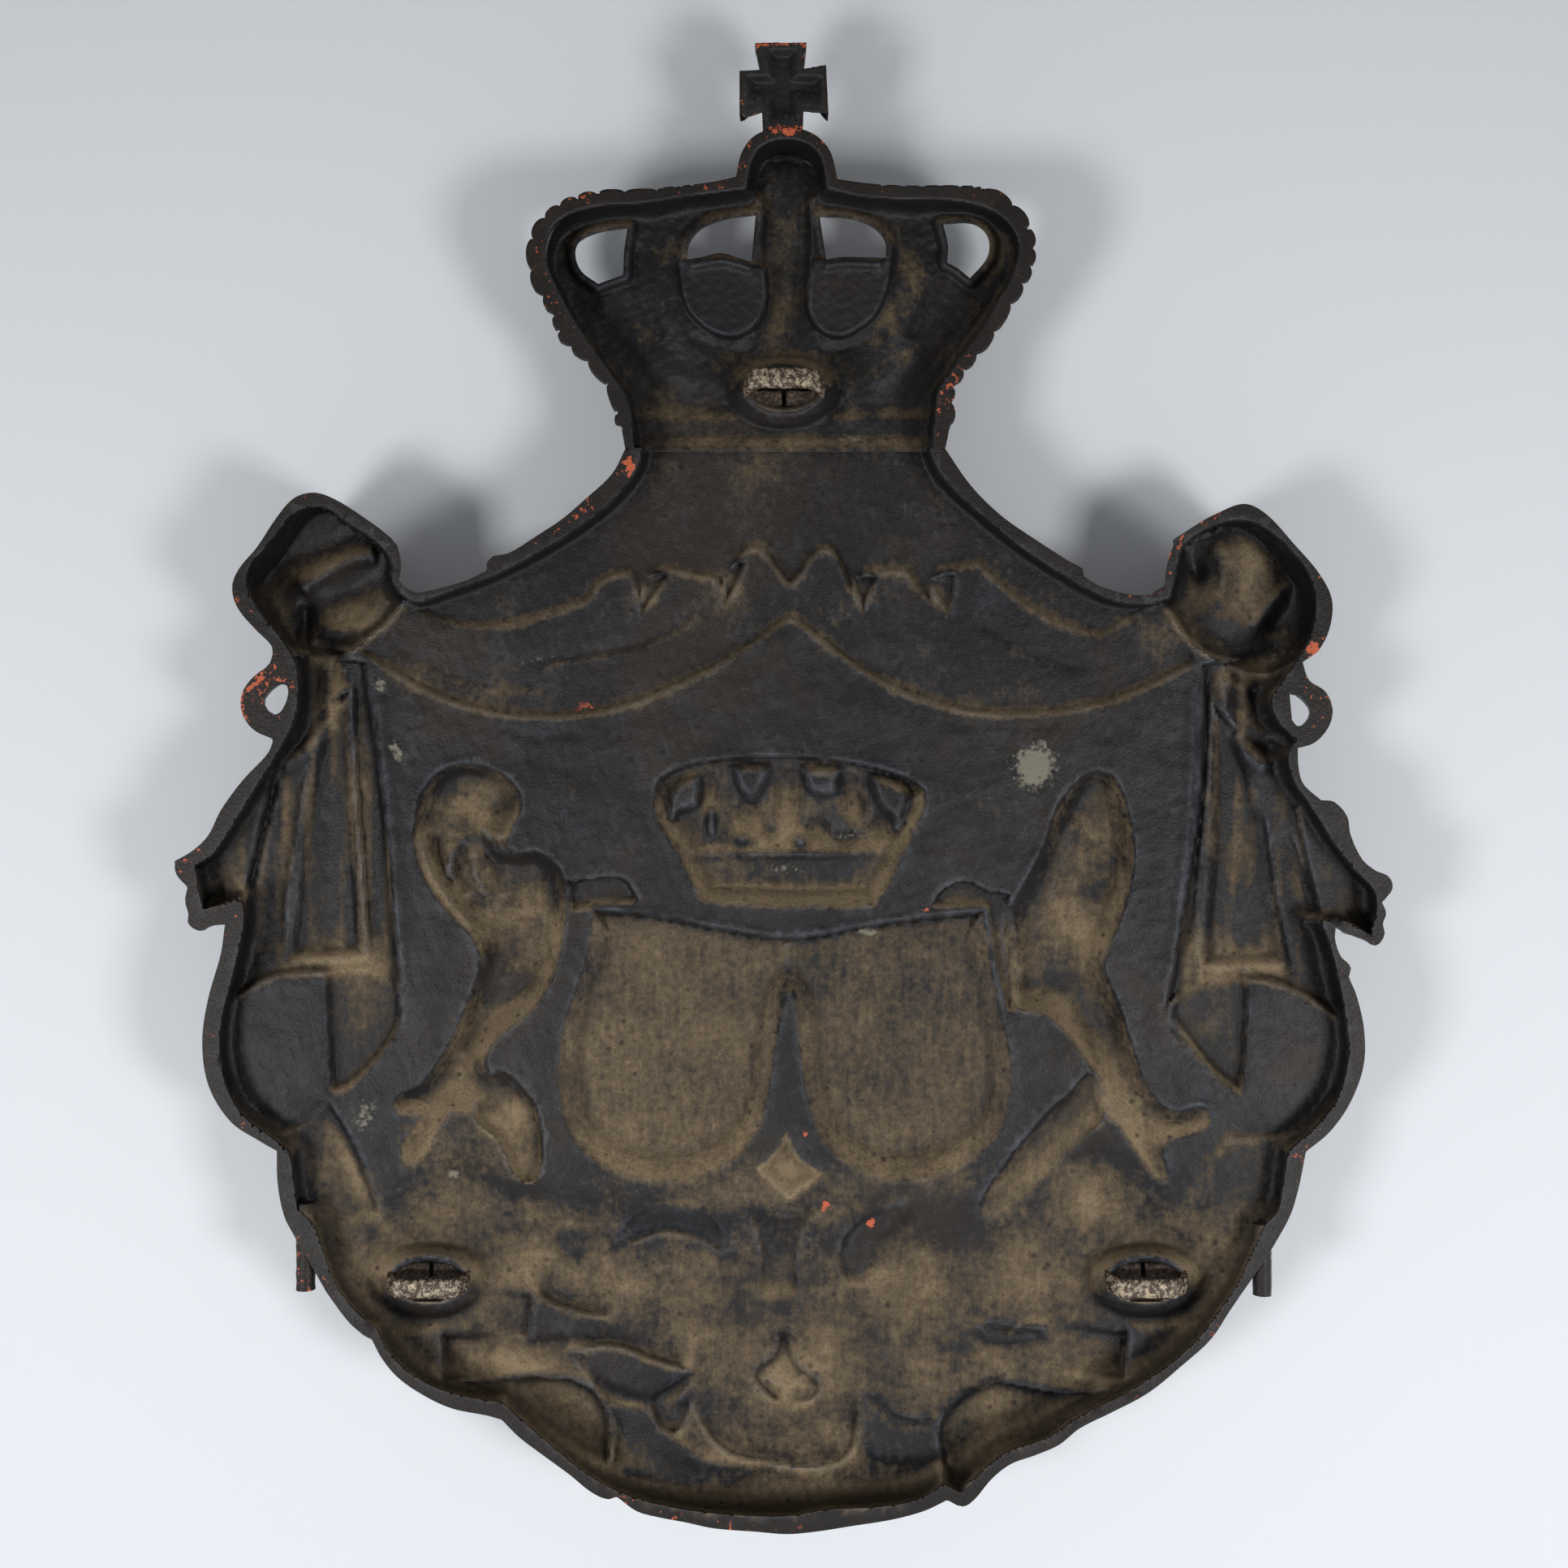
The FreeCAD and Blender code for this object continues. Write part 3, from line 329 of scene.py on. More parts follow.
def sink(sheet, depth, inward, floor, draft, form=ease, steep=STEEP_TOP):
    """Lower a region to its floor: depth moves towards the floor by the form of the wall's share."""
    rise = np.abs(floor - depth)
    return depth + (floor - depth) * form(wall_share(sheet, inward, rise, draft, steep))


# %% [markdown]
# Within a region the carver's tool left swellings, stepped folds and narrow ribs. Each comes from a short
# table of places and heights.

# %% Swellings, folds and ribs
EDGE_PX = 4
FOLD_REACH, FOLD_ENDS = 2.5, 0.15
RIB_REACH, RIB_ENDS, RIB_BLUNT, RIB_FADE = 3, 0.1, 0.2, 0.5


def swell(sheet, table):
    """Sum of soft swellings: each is a height times a bell of the distance, squashed and turned."""
    total = np.zeros(sheet.px.shape)
    for px, py, wide, tall, turn, height in table:
        angle = np.radians(turn)
        dx, dy = sheet.px - px, sheet.py - py
        u = (dx * np.cos(angle) + dy * np.sin(angle)) / wide
        v = (dy * np.cos(angle) - dx * np.sin(angle)) / tall
        total += height * np.exp(-(u * u + v * v))
    return total


def folds(sheet, table):
    """Sum of cloth folds: a sharp step on one side of a line that fades, thinned at its ends."""
    total = np.zeros(sheet.px.shape)
    for points, rise, fade, hand in table:
        path = smooth_path(points, closed=False)
        distance, side, along = nearest(sheet, path, FOLD_REACH * fade + 1, False)
        signed = distance * side * hand
        near = ease((signed + EDGE_PX) / (2 * EDGE_PX)) * np.exp(-np.maximum(signed, 0) / fade)
        ends = ease(along / FOLD_ENDS) * ease((1 - along) / FOLD_ENDS)
        total += rise * near * ends * ease((FOLD_REACH * fade - distance) / fade)
    return total


def ribs(sheet, table):
    """Sum of narrow grooves and ribs: a height times a bell of the distance to a line."""
    total = np.zeros(sheet.px.shape)
    for points, height, width in table:
        path = smooth_path(points, closed=False)
        distance, _, along = nearest(sheet, path, RIB_REACH * width, False)
        ends = ease(along / RIB_ENDS + RIB_BLUNT) * ease((1 - along) / RIB_ENDS + RIB_BLUNT)
        fade = ease((RIB_REACH - distance / width) / RIB_FADE)
        total += height * np.exp(-(distance / width) ** 2) * ends * fade
    return total


print("a fold fades within", FOLD_REACH, "times its width")

# %% [markdown]
# ## The edge of the mantle
# On the real object the mantle is one pour of iron: cloak, knotted corners, hanging curtains, two animals,
# two shields and leafy ground. A founder would press a carved pattern into sand. Here the back is drawn
# region by region, in the order in which they lie over each other. The rim is a narrow flat land, so it has
# an outer and an inner edge. In every outline a third value of 1 marks a corner.

# %% Edge of the mantle, in pixels
MANTLE_PX = [
    (771, 557, 1), (754, 584), (720, 616), (692, 640), (660, 661), (628, 681), (608, 685, 1),
    (600, 693), (600, 703, 1), (575, 715), (545, 724), (515, 730), (500, 725), (491, 715, 1),
    (494, 700), (491, 678), (480, 662), (440, 632), (408, 613), (385, 607), (362, 614), (342, 636),
    (316, 675), (295, 700), (286, 722), (292, 748), (315, 776), (334, 795), (336, 806, 1), (331, 819),
    (311, 835), (298, 855), (298, 878), (312, 899), (337, 911, 1), (330, 928), (302, 958), (286, 978),
    (271, 1000), (256, 1030), (236, 1049), (215, 1061, 1), (217, 1077), (231, 1093, 1), (228, 1110),
    (232, 1126), (232, 1138), (246, 1147), (260, 1141), (277, 1139, 1), (272, 1175), (256, 1232),
    (249, 1285), (257, 1338), (284, 1382), (320, 1406), (341, 1418, 1), (342, 1458), (350, 1498),
    (362, 1522, 1), (384, 1560), (402, 1592, 1), (428, 1627), (448, 1645), (458, 1650, 1), (470, 1673),
    (490, 1697), (520, 1718), (556, 1735), (600, 1744), (618, 1749, 1), (640, 1771), (672, 1795),
    (702, 1817), (728, 1838), (748, 1847), (760, 1844, 1), (785, 1862), (815, 1870), (842, 1875),
    (880, 1883), (930, 1887), (970, 1890), (1005, 1887), (1050, 1880), (1100, 1872), (1140, 1861),
    (1167, 1848, 1), (1186, 1856), (1200, 1848), (1222, 1822), (1245, 1804), (1275, 1793), (1305, 1780),
    (1330, 1760), (1370, 1740), (1415, 1716), (1458, 1681), (1492, 1650), (1516, 1614), (1531, 1592, 1),
    (1550, 1565), (1570, 1534, 1), (1590, 1497), (1601, 1460), (1609, 1419, 1), (1638, 1395),
    (1663, 1360), (1680, 1314), (1681, 1270), (1672, 1228), (1662, 1204, 1), (1664, 1191), (1652, 1178),
    (1645, 1157), (1646, 1142, 1), (1664, 1152), (1680, 1157), (1695, 1165), (1706, 1152), (1704, 1138),
    (1708, 1125), (1703, 1112, 1), (1716, 1094), (1711, 1080), (1694, 1072), (1678, 1058), (1664, 1028),
    (1660, 1006), (1644, 988), (1628, 986, 1), (1606, 966), (1600, 945), (1599, 922, 1), (1620, 915),
    (1637, 896), (1642, 874), (1633, 852), (1613, 838), (1605, 816, 1), (1625, 801), (1639, 772),
    (1641, 738), (1625, 706), (1595, 671), (1562, 635), (1535, 621), (1505, 630), (1465, 653),
    (1444, 677), (1437, 702), (1435, 722, 1), (1420, 732), (1390, 732), (1355, 722), (1335, 710, 1),
    (1334, 701), (1318, 692, 1), (1270, 661), (1232, 634), (1196, 598), (1164, 557, 1),
]
MANTLE_INNER_PX = [
    (790, 540, 1), (789, 560), (782, 582), (752, 619), (705, 655), (650, 688), (598, 713), (545, 732),
    (512, 741), (494, 731, 1), (484, 715), (482, 690), (462, 666), (430, 645), (405, 627), (383, 624),
    (360, 634), (335, 665), (308, 697), (303, 718), (315, 748), (345, 786), (362, 815), (367, 845),
    (362, 885), (345, 922), (318, 965), (290, 1010), (262, 1052), (240, 1066, 1), (243, 1092),
    (250, 1121, 1), (275, 1114), (297, 1105, 1), (300, 1135), (287, 1198), (271, 1268), (274, 1325),
    (297, 1372), (335, 1402), (357, 1420, 1), (361, 1455), (366, 1490, 1), (386, 1510), (400, 1550),
    (416, 1588), (440, 1617), (463, 1636, 1), (476, 1662), (502, 1690), (540, 1711), (585, 1723),
    (618, 1728, 1), (645, 1752), (680, 1782), (720, 1814), (758, 1836), (800, 1851), (850, 1861),
    (910, 1867), (970, 1868), (1020, 1860), (1080, 1857), (1130, 1848), (1163, 1829, 1),
    (1182, 1838, 1), (1205, 1817), (1240, 1790), (1290, 1772), (1335, 1743), (1390, 1715), (1440, 1682),
    (1478, 1648), (1502, 1616), (1524, 1584), (1545, 1540), (1560, 1508, 1), (1575, 1492), (1582, 1455),
    (1588, 1418, 1), (1620, 1390), (1648, 1355), (1662, 1305), (1660, 1262), (1650, 1205), (1638, 1160),
    (1628, 1135, 1), (1655, 1135), (1688, 1152, 1), (1697, 1122), (1693, 1096), (1672, 1074),
    (1645, 1040), (1618, 997), (1595, 962), (1588, 932), (1597, 912, 1), (1575, 888), (1568, 862),
    (1582, 838), (1604, 806), (1618, 775), (1622, 742), (1612, 705), (1582, 668), (1552, 646),
    (1525, 640), (1490, 650), (1458, 672), (1448, 705), (1440, 737, 1), (1410, 744), (1365, 737),
    (1310, 708), (1255, 671), (1205, 630), (1165, 592), (1148, 560), (1147, 540, 1),
]
print(len(MANTLE_PX), "points round the mantle")

# %% [markdown]
# ## The cloth
# A drape crosses the top under a pleated collar with four drops. Curtains fall at both sides from a knot,
# each with a deep fold, a wing that spreads outward, the knot's tail and a panel behind it. Where a table
# has two outlines, the left one comes first.

# %% Outlines of the cloth
DRAPE_PX = [
    (440, 806, 1), (523, 854), (580, 875), (652, 887), (714, 885), (772, 873), (834, 849), (900, 816),
    (975, 765, 1), (1030, 808), (1075, 838), (1124, 861), (1174, 876), (1224, 883), (1274, 883),
    (1323, 878), (1373, 866), (1423, 846), (1475, 820, 1), (1475, 620, 1), (1175, 530, 1),
    (760, 530, 1), (440, 620, 1),
]
UPPER_CLOTH_PX = [
    (510, 752, 1), (545, 768), (580, 775), (628, 773), (676, 761), (724, 744, 1), (748, 715),
    (775, 710, 1), (787, 745, 1), (812, 708), (860, 712), (880, 716, 1), (888, 738, 1), (910, 695),
    (932, 678), (955, 705), (975, 722), (1003, 690), (1020, 680), (1036, 705, 1), (1048, 740, 1),
    (1062, 712), (1112, 706, 1), (1149, 750, 1), (1157, 712), (1204, 698, 1), (1249, 739), (1298, 769),
    (1358, 788, 1), (1420, 745, 1), (1320, 640, 1), (1175, 500, 1), (760, 500, 1), (600, 640, 1),
]
COLLAR_DROPS_PX = [
    [(783, 706, 1), (828, 706, 1), (815, 728), (786, 766, 1), (790, 730)],
    [(884, 698, 1), (922, 690, 1), (908, 728), (888, 754, 1), (890, 725)],
    [(1042, 704, 1), (1084, 710, 1), (1074, 735), (1064, 759, 1), (1054, 735)],
    [(1132, 710, 1), (1180, 706, 1), (1177, 735), (1170, 766, 1), (1152, 735)],
]
CURTAINS_PX = [
    [(452, 815, 1), (468, 925), (480, 1026), (488, 1120), (496, 1205, 1), (490, 1232, 1), (475, 1210),
     (446, 1196), (400, 1200), (340, 1206), (289, 1232, 1), (230, 1240, 1), (190, 1000, 1),
     (300, 800, 1)],
    [(1480, 818, 1), (1630, 800, 1), (1750, 1000, 1), (1700, 1270, 1), (1650, 1258, 1), (1612, 1233),
     (1577, 1216), (1537, 1209), (1505, 1211), (1475, 1217), (1433, 1246, 1), (1443, 1196),
     (1458, 1097), (1473, 997), (1477, 898)],
]
DEEP_FOLDS_PX = [
    [(402, 860, 1), (432, 850, 1), (437, 930), (445, 1060), (452, 1180, 1), (352, 1186, 1), (362, 1100),
     (376, 980)],
    [(1492, 860, 1), (1530, 900, 1), (1552, 985), (1572, 1100), (1590, 1190, 1), (1476, 1194, 1),
     (1486, 1080), (1490, 960)],
]
WINGS_PX = [
    [(341, 950, 1), (326, 1020), (306, 1104, 1), (222, 1135, 1), (222, 1045, 1), (300, 930, 1)],
    [(1592, 1000, 1), (1610, 1075), (1625, 1138, 1), (1715, 1175, 1), (1725, 1060, 1), (1620, 960, 1)],
]
TAILS_PX = [
    [(372, 790, 1), (432, 800, 1), (430, 850), (404, 900), (372, 930), (345, 945, 1), (362, 880),
     (366, 830)],
    [(1498, 812, 1), (1600, 812, 1), (1578, 850), (1574, 890), (1590, 925, 1), (1560, 950, 1),
     (1520, 900), (1504, 850)],
]
PANELS_PX = [
    [(394, 1150, 1), (484, 1150, 1), (497, 1252), (476, 1298), (436, 1339), (403, 1352, 1)],
    [(1440, 1255, 1), (1450, 1150, 1), (1545, 1150, 1), (1540, 1300), (1532, 1352, 1), (1490, 1320)],
]
KNOTS_PX = [
    [(260, 790, 1), (260, 590, 1), (500, 590, 1), (500, 735, 1), (482, 762), (455, 785), (430, 803),
     (400, 810), (372, 806, 1), (340, 790, 1)],
    [(1432, 740, 1), (1432, 600, 1), (1670, 600, 1), (1670, 790, 1), (1600, 812, 1), (1565, 828),
     (1530, 826), (1498, 812), (1466, 790)],
]
print(len(COLLAR_DROPS_PX), "drops under the collar")

# %% [markdown]
# A fold is a line, a rise in millimetres, a fade in pixels and the side it falls to. A rib is a line, a
# height and a width. A swelling is a place, two half widths, a turn in degrees and a height.

# %% Lines and swellings of the cloth
SWAG_FOLDS = [
    ([(650, 822), (720, 812), (780, 800), (830, 780), (880, 745)], 2.2, 30, -1),
    ([(1190, 760), (1240, 795), (1300, 820), (1350, 830)], 1.4, 30, -1),
    ([(480, 800), (540, 830), (610, 850), (690, 850)], 1.4, 26, -1),
    ([(610, 900), (670, 915), (730, 905)], 1.0, 22, -1),
    ([(1150, 890), (1230, 902), (1320, 896)], 0.8, 22, -1),
]
CURTAIN_FOLDS = [
    ([(437, 806), (439, 930), (458, 1195)], 6.0, 16, -1),
    ([(378, 935), (352, 1098), (348, 1190)], 5.0, 16, 1),
    ([(345, 955), (328, 1030), (312, 1103)], 5.0, 16, 1),
    ([(1490, 818), (1488, 923), (1478, 1047), (1466, 1196)], 4.0, 18, 1),
    ([(1554, 985), (1575, 1122), (1596, 1211)], 5.0, 18, 1),
    ([(1588, 1022), (1606, 1075), (1624, 1135)], 5.0, 16, 1),
]
CURTAIN_RIBS = [
    ([(400, 812), (402, 850), (385, 885), (355, 915)], -4.0, 10),
    ([(420, 860), (405, 900), (370, 932), (345, 948)], -3.5, 11), ([(430, 815), (425, 850)], 1.5, 9),
    ([(1512, 832), (1510, 880), (1530, 925), (1565, 950)], -6.0, 12),
    ([(1531, 838), (1533, 870), (1545, 900), (1590, 915)], -5.0, 9),
    ([(1550, 850), (1560, 880)], 4.0, 9), ([(462, 835), (484, 1040), (492, 1195)], -1.5, 7),
    ([(1472, 835), (1462, 1040), (1440, 1215)], -1.5, 7), ([(405, 1000), (402, 1180)], 1.2, 14),
    ([(1530, 1000), (1535, 1180)], 1.2, 16),
]
KNOT_SWELLS = [
    (405, 672, 50, 26, -28, 8), (432, 730, 36, 20, -28, 8), (378, 775, 10, 34, 8, 5),
    (350, 770, 16, 30, -30, -9), (335, 700, 18, 34, 20, 3), (1545, 700, 34, 44, -20, -6),
    (1474, 706, 12, 24, -12, 7), (1572, 770, 13, 24, 32, 7), (1505, 760, 26, 20, 0, -3),
    (1590, 720, 14, 30, 0, 3),
]
KNOT_RIBS = [
    ([(368, 728), (400, 706), (430, 690), (465, 684)], -7.0, 10),
    ([(395, 778), (430, 776), (462, 760), (478, 735)], -4.0, 9), ([(376, 745), (372, 800)], 4, 8),
    ([(1500, 672), (1508, 710), (1500, 750)], -4.0, 8),
    ([(1540, 775), (1575, 735), (1592, 720)], -3.0, 7),
    ([(1475, 800), (1530, 812), (1580, 800)], 3.5, 8),
]
PANEL_FOLDS = [
    ([(398, 1350), (430, 1400), (456, 1461), (471, 1507)], 6.0, 30, 1),
    ([(405, 1354), (380, 1380), (344, 1392), (303, 1360)], 2.5, 25, 1),
    ([(1650, 1330), (1600, 1390), (1500, 1405)], 3.0, 26, 1),
    ([(1434, 1260), (1480, 1305), (1528, 1352)], 3.0, 22, -1),
]
FIELD_FOLDS = SWAG_FOLDS[-2:]
print(len(SWAG_FOLDS) + len(CURTAIN_FOLDS) + len(PANEL_FOLDS), "folds of cloth")

# %% [markdown]
# ## The animals, shields and small crown
# Two standing animals hold two plain shields that meet under a small crown of leaves, with a lozenge
# between their feet. From behind they are moulds of themselves: a chest is a trough, a mane is a row of
# ribs.

# %% Outlines of the figures
SUPPORTERS_PX = [
    [(562, 940), (528, 960), (509, 1005), (512, 1060), (540, 1112), (575, 1150), (589, 1180),
     (575, 1230), (548, 1290), (520, 1330), (484, 1354), (486, 1370), (512, 1376), (492, 1415),
     (508, 1434), (530, 1415), (553, 1374), (580, 1374), (613, 1404), (634, 1447), (655, 1456),
     (667, 1435), (662, 1372), (634, 1340), (602, 1314), (608, 1288), (650, 1250), (680, 1212),
     (696, 1150), (700, 1105), (690, 1068), (664, 1048), (628, 1046), (632, 1022), (645, 990),
     (630, 960), (600, 943)],
    [(1350, 948), (1322, 965), (1300, 995), (1283, 1045), (1258, 1092), (1238, 1128), (1240, 1190),
     (1250, 1240), (1288, 1252), (1318, 1280), (1345, 1322), (1358, 1364), (1380, 1392), (1400, 1425),
     (1425, 1454), (1441, 1450), (1436, 1412), (1464, 1400), (1492, 1384), (1484, 1362), (1446, 1366),
     (1418, 1342), (1400, 1295), (1382, 1240), (1366, 1200), (1364, 1180), (1376, 1150), (1392, 1105),
     (1400, 1060), (1396, 1015), (1385, 975), (1372, 955)],
]
ARMS_PX = [
    [(695, 1060, 1), (700, 1083), (719, 1083), (748, 1080), (772, 1084), (791, 1112, 1), (728, 1122, 1),
     (700, 1125, 1)],
    [(1144, 1120, 1), (1159, 1097), (1189, 1084), (1219, 1097), (1246, 1100, 1), (1256, 1180),
     (1252, 1250, 1), (1238, 1245, 1), (1222, 1180), (1213, 1120, 1)],
]
SECOND_LEGS_PX = [
    [(612, 1318), (640, 1335), (664, 1370), (668, 1436), (655, 1456), (636, 1448), (612, 1404),
     (585, 1376), (596, 1345)],
    [(1345, 1322), (1318, 1345), (1285, 1375), (1240, 1430), (1205, 1490), (1230, 1500), (1290, 1450),
     (1340, 1400), (1362, 1368)],
]
SHIELD_PAIR_PX = [
    [(728, 1119, 1), (800, 1125), (880, 1140), (976, 1152, 1), (972, 1190), (962, 1230), (958, 1290),
     (948, 1355), (930, 1402), (890, 1437), (840, 1455), (795, 1454), (750, 1440), (712, 1412),
     (690, 1370), (685, 1320), (690, 1275), (704, 1225), (720, 1180)],
    [(964, 1152, 1), (1060, 1140), (1140, 1128), (1213, 1121, 1), (1222, 1180), (1236, 1245),
     (1247, 1300), (1247, 1355), (1230, 1400), (1190, 1432), (1145, 1452), (1095, 1454), (1050, 1437),
     (1012, 1405), (992, 1350), (982, 1290), (976, 1230), (968, 1190)],
]
SHIELDS_PX = [
    (728, 1119, 1), (800, 1125), (880, 1140), (970, 1153), (1060, 1140), (1140, 1128), (1213, 1121, 1),
    (1222, 1180), (1236, 1245), (1247, 1300), (1247, 1355), (1230, 1400), (1190, 1432), (1145, 1452),
    (1095, 1454), (1050, 1437), (1012, 1405), (992, 1350), (983, 1290), (980, 1250), (973, 1226, 1),
    (965, 1252), (958, 1290), (948, 1355), (930, 1402), (890, 1437), (840, 1455), (795, 1454),
    (750, 1440), (712, 1412), (690, 1370), (685, 1320), (690, 1275), (704, 1225), (720, 1180),
]
CORONET_PX = [
    (803, 985), (812, 958), (850, 940), (910, 932), (965, 930), (1040, 936), (1100, 950), (1138, 970),
    (1142, 990), (1130, 1020), (1105, 1075), (1080, 1116, 1), (970, 1118), (862, 1112, 1), (838, 1062),
    (812, 1015),
]
CORONET_PROUD_PX = [
    [(818, 985), (836, 958), (866, 950, 1), (868, 980), (862, 996), (840, 1006), (826, 1014)],
    [(897, 942, 1), (925, 938), (955, 942, 1), (948, 968), (932, 990), (912, 984), (902, 968)],
    [(981, 942, 1), (1012, 940), (1043, 944, 1), (1038, 964), (1032, 981), (1010, 986), (992, 976)],
    [(1064, 950, 1), (1098, 954), (1126, 974), (1122, 1000), (1107, 1027), (1092, 1008), (1076, 992)],
    [(868, 1002), (878, 990), (885, 1012), (880, 1036), (870, 1030)],
]
LOZENGE_PX = [
    (970, 1386, 1), (985, 1420), (1018, 1446, 1), (992, 1465), (972, 1482, 1), (950, 1460),
    (928, 1440, 1), (952, 1418),
]
print(len(CORONET_PROUD_PX), "openings and leaves stand proud in the small crown")

# %% [markdown]
# Muscles, manes and the leaves of the small crown are swellings and ribs inside those outlines.

# %% Lines and swellings of the figures
BODY_SWELLS = [
    (575, 978, 34, 28, 0, 4), (622, 1008, 16, 22, 20, 4), (600, 1022, 10, 12, 0, -5),
    (640, 1090, 24, 40, 15, 3), (612, 1062, 12, 22, -30, 3), (668, 1120, 10, 40, 8, -3),
    (590, 1182, 14, 10, -40, -4), (632, 1202, 26, 14, -35, -3), (575, 1290, 18, 60, 28, 3),
    (1342, 1000, 24, 40, -10, 3), (1318, 1100, 34, 60, 15, 4), (1290, 1215, 26, 26, 30, 3),
    (1365, 1180, 10, 14, 0, -4), (1375, 1300, 20, 60, -25, 2),
]
BODY_RIBS = [
    ([(520, 1030), (530, 1075), (560, 1118), (585, 1150)], -3.0, 6),
    ([(538, 1030), (540, 1060), (556, 1092)], 3.0, 5),
    ([(558, 1042), (553, 1070), (550, 1082)], -3.5, 6),
    ([(572, 1040), (566, 1075), (576, 1100)], 3.0, 5),
    ([(584, 1048), (586, 1075), (600, 1106)], -3.0, 6),
    ([(600, 1040), (612, 1075), (622, 1100)], 2.5, 6),
    ([(594, 1020), (604, 1030), (628, 1030)], -3.0, 5),
    ([(1325, 1010), (1310, 1060), (1290, 1110)], -2.0, 7),
    ([(1372, 1010), (1372, 1080), (1350, 1150)], 1.6, 8),
]
SHIELD_LINE = [([(970, 1160), (971, 1205)], -1.5, 4)]
CORONET_SWELLS = [
    (874, 975, 10, 22, 0, 6), (925, 1006, 17, 14, 0, 9), (968, 985, 16, 40, 0, 9),
    (945, 1026, 14, 10, 30, 6), (1008, 1022, 16, 14, 0, 9), (1052, 985, 13, 30, -8, 9),
    (1046, 1034, 18, 10, 0, 7), (1082, 1022, 14, 14, 0, 9), (914, 1034, 8, 6, 0, -6),
    (986, 1036, 8, 7, 0, -6), (852, 1020, 10, 22, -20, 4), (960, 1052, 110, 5, 0, -4),
    (970, 1085, 90, 16, 0, 3),
]
print(len(BODY_SWELLS), "swellings of the animals")

# %% [markdown]
# ## The ground
# Leafy ground fills the foot of the mantle. Its leaves overlap in steps, with dark islands that stand proud
# between them. A ring pierces each side, on a flat ear.

# %% Outlines and edges of the ground
BASE_PX = [
    (470, 1505, 1), (520, 1452), (580, 1420), (640, 1455), (720, 1478), (800, 1482), (870, 1490),
    (972, 1486), (1060, 1482), (1150, 1478), (1230, 1465), (1300, 1410), (1350, 1388), (1400, 1430),
    (1450, 1465), (1500, 1520, 1), (1560, 1700, 1), (1000, 1950, 1), (400, 1700, 1),
]
LEAVES_PX = [
    [(545, 1700, 1), (600, 1700), (650, 1695), (705, 1698, 1), (735, 1715), (755, 1750), (757, 1780),
     (750, 1808, 1), (715, 1795), (670, 1765), (630, 1735), (585, 1716)],
    [(1228, 1700, 1), (1180, 1725), (1160, 1760), (1168, 1800), (1186, 1828, 1), (1212, 1803),
     (1250, 1780), (1300, 1760), (1345, 1735), (1390, 1708, 1), (1320, 1716)],
]
RINGS_PX = [
    [(342, 844), (354, 846), (352, 866), (341, 880), (328, 874), (326, 860)],
    [(1589, 855, 1), (1602, 858), (1615, 876), (1610, 890), (1600, 895), (1592, 888, 1)],
]
EARS_PX = [
    [(270, 808, 1), (340, 808, 1), (356, 830, 1), (356, 890, 1), (340, 909, 1), (270, 909, 1)],
    [(1675, 818, 1), (1607, 818, 1), (1594, 840, 1), (1585, 862, 1), (1589, 886, 1), (1602, 920, 1),
     (1675, 920, 1)],
]
DARK_ISLANDS_PX = [
    [(755, 1532), (785, 1496), (820, 1484), (866, 1493), (905, 1540), (888, 1547), (860, 1522),
     (820, 1514), (785, 1522)],
    [(698, 1664), (755, 1657), (800, 1672), (852, 1688, 1), (824, 1704), (803, 1724, 1), (770, 1714),
     (735, 1698)],
    [(656, 1590, 1), (701, 1612), (742, 1620, 1), (735, 1646, 1), (651, 1649, 1)],
    [(1205, 1630), (1250, 1636), (1290, 1630), (1284, 1648), (1215, 1651)],
    [(1062, 1712, 1), (1088, 1732), (1120, 1746), (1162, 1746, 1), (1158, 1790), (1110, 1800),
     (1064, 1786)],
    [(735, 1722, 1), (800, 1735, 1), (832, 1768), (868, 1794), (930, 1814), (850, 1832), (762, 1816, 1),
     (760, 1752)],
    [(462, 1640, 1), (545, 1636, 1), (545, 1702, 1), (500, 1690)],
    [(1390, 1632, 1), (1482, 1626, 1), (1445, 1678), (1385, 1702, 1)],
    [(690, 1508), (722, 1516), (716, 1548), (690, 1540)],
    [(1040, 1560), (1046, 1520), (1075, 1498), (1120, 1484), (1080, 1530), (1062, 1570)],
]
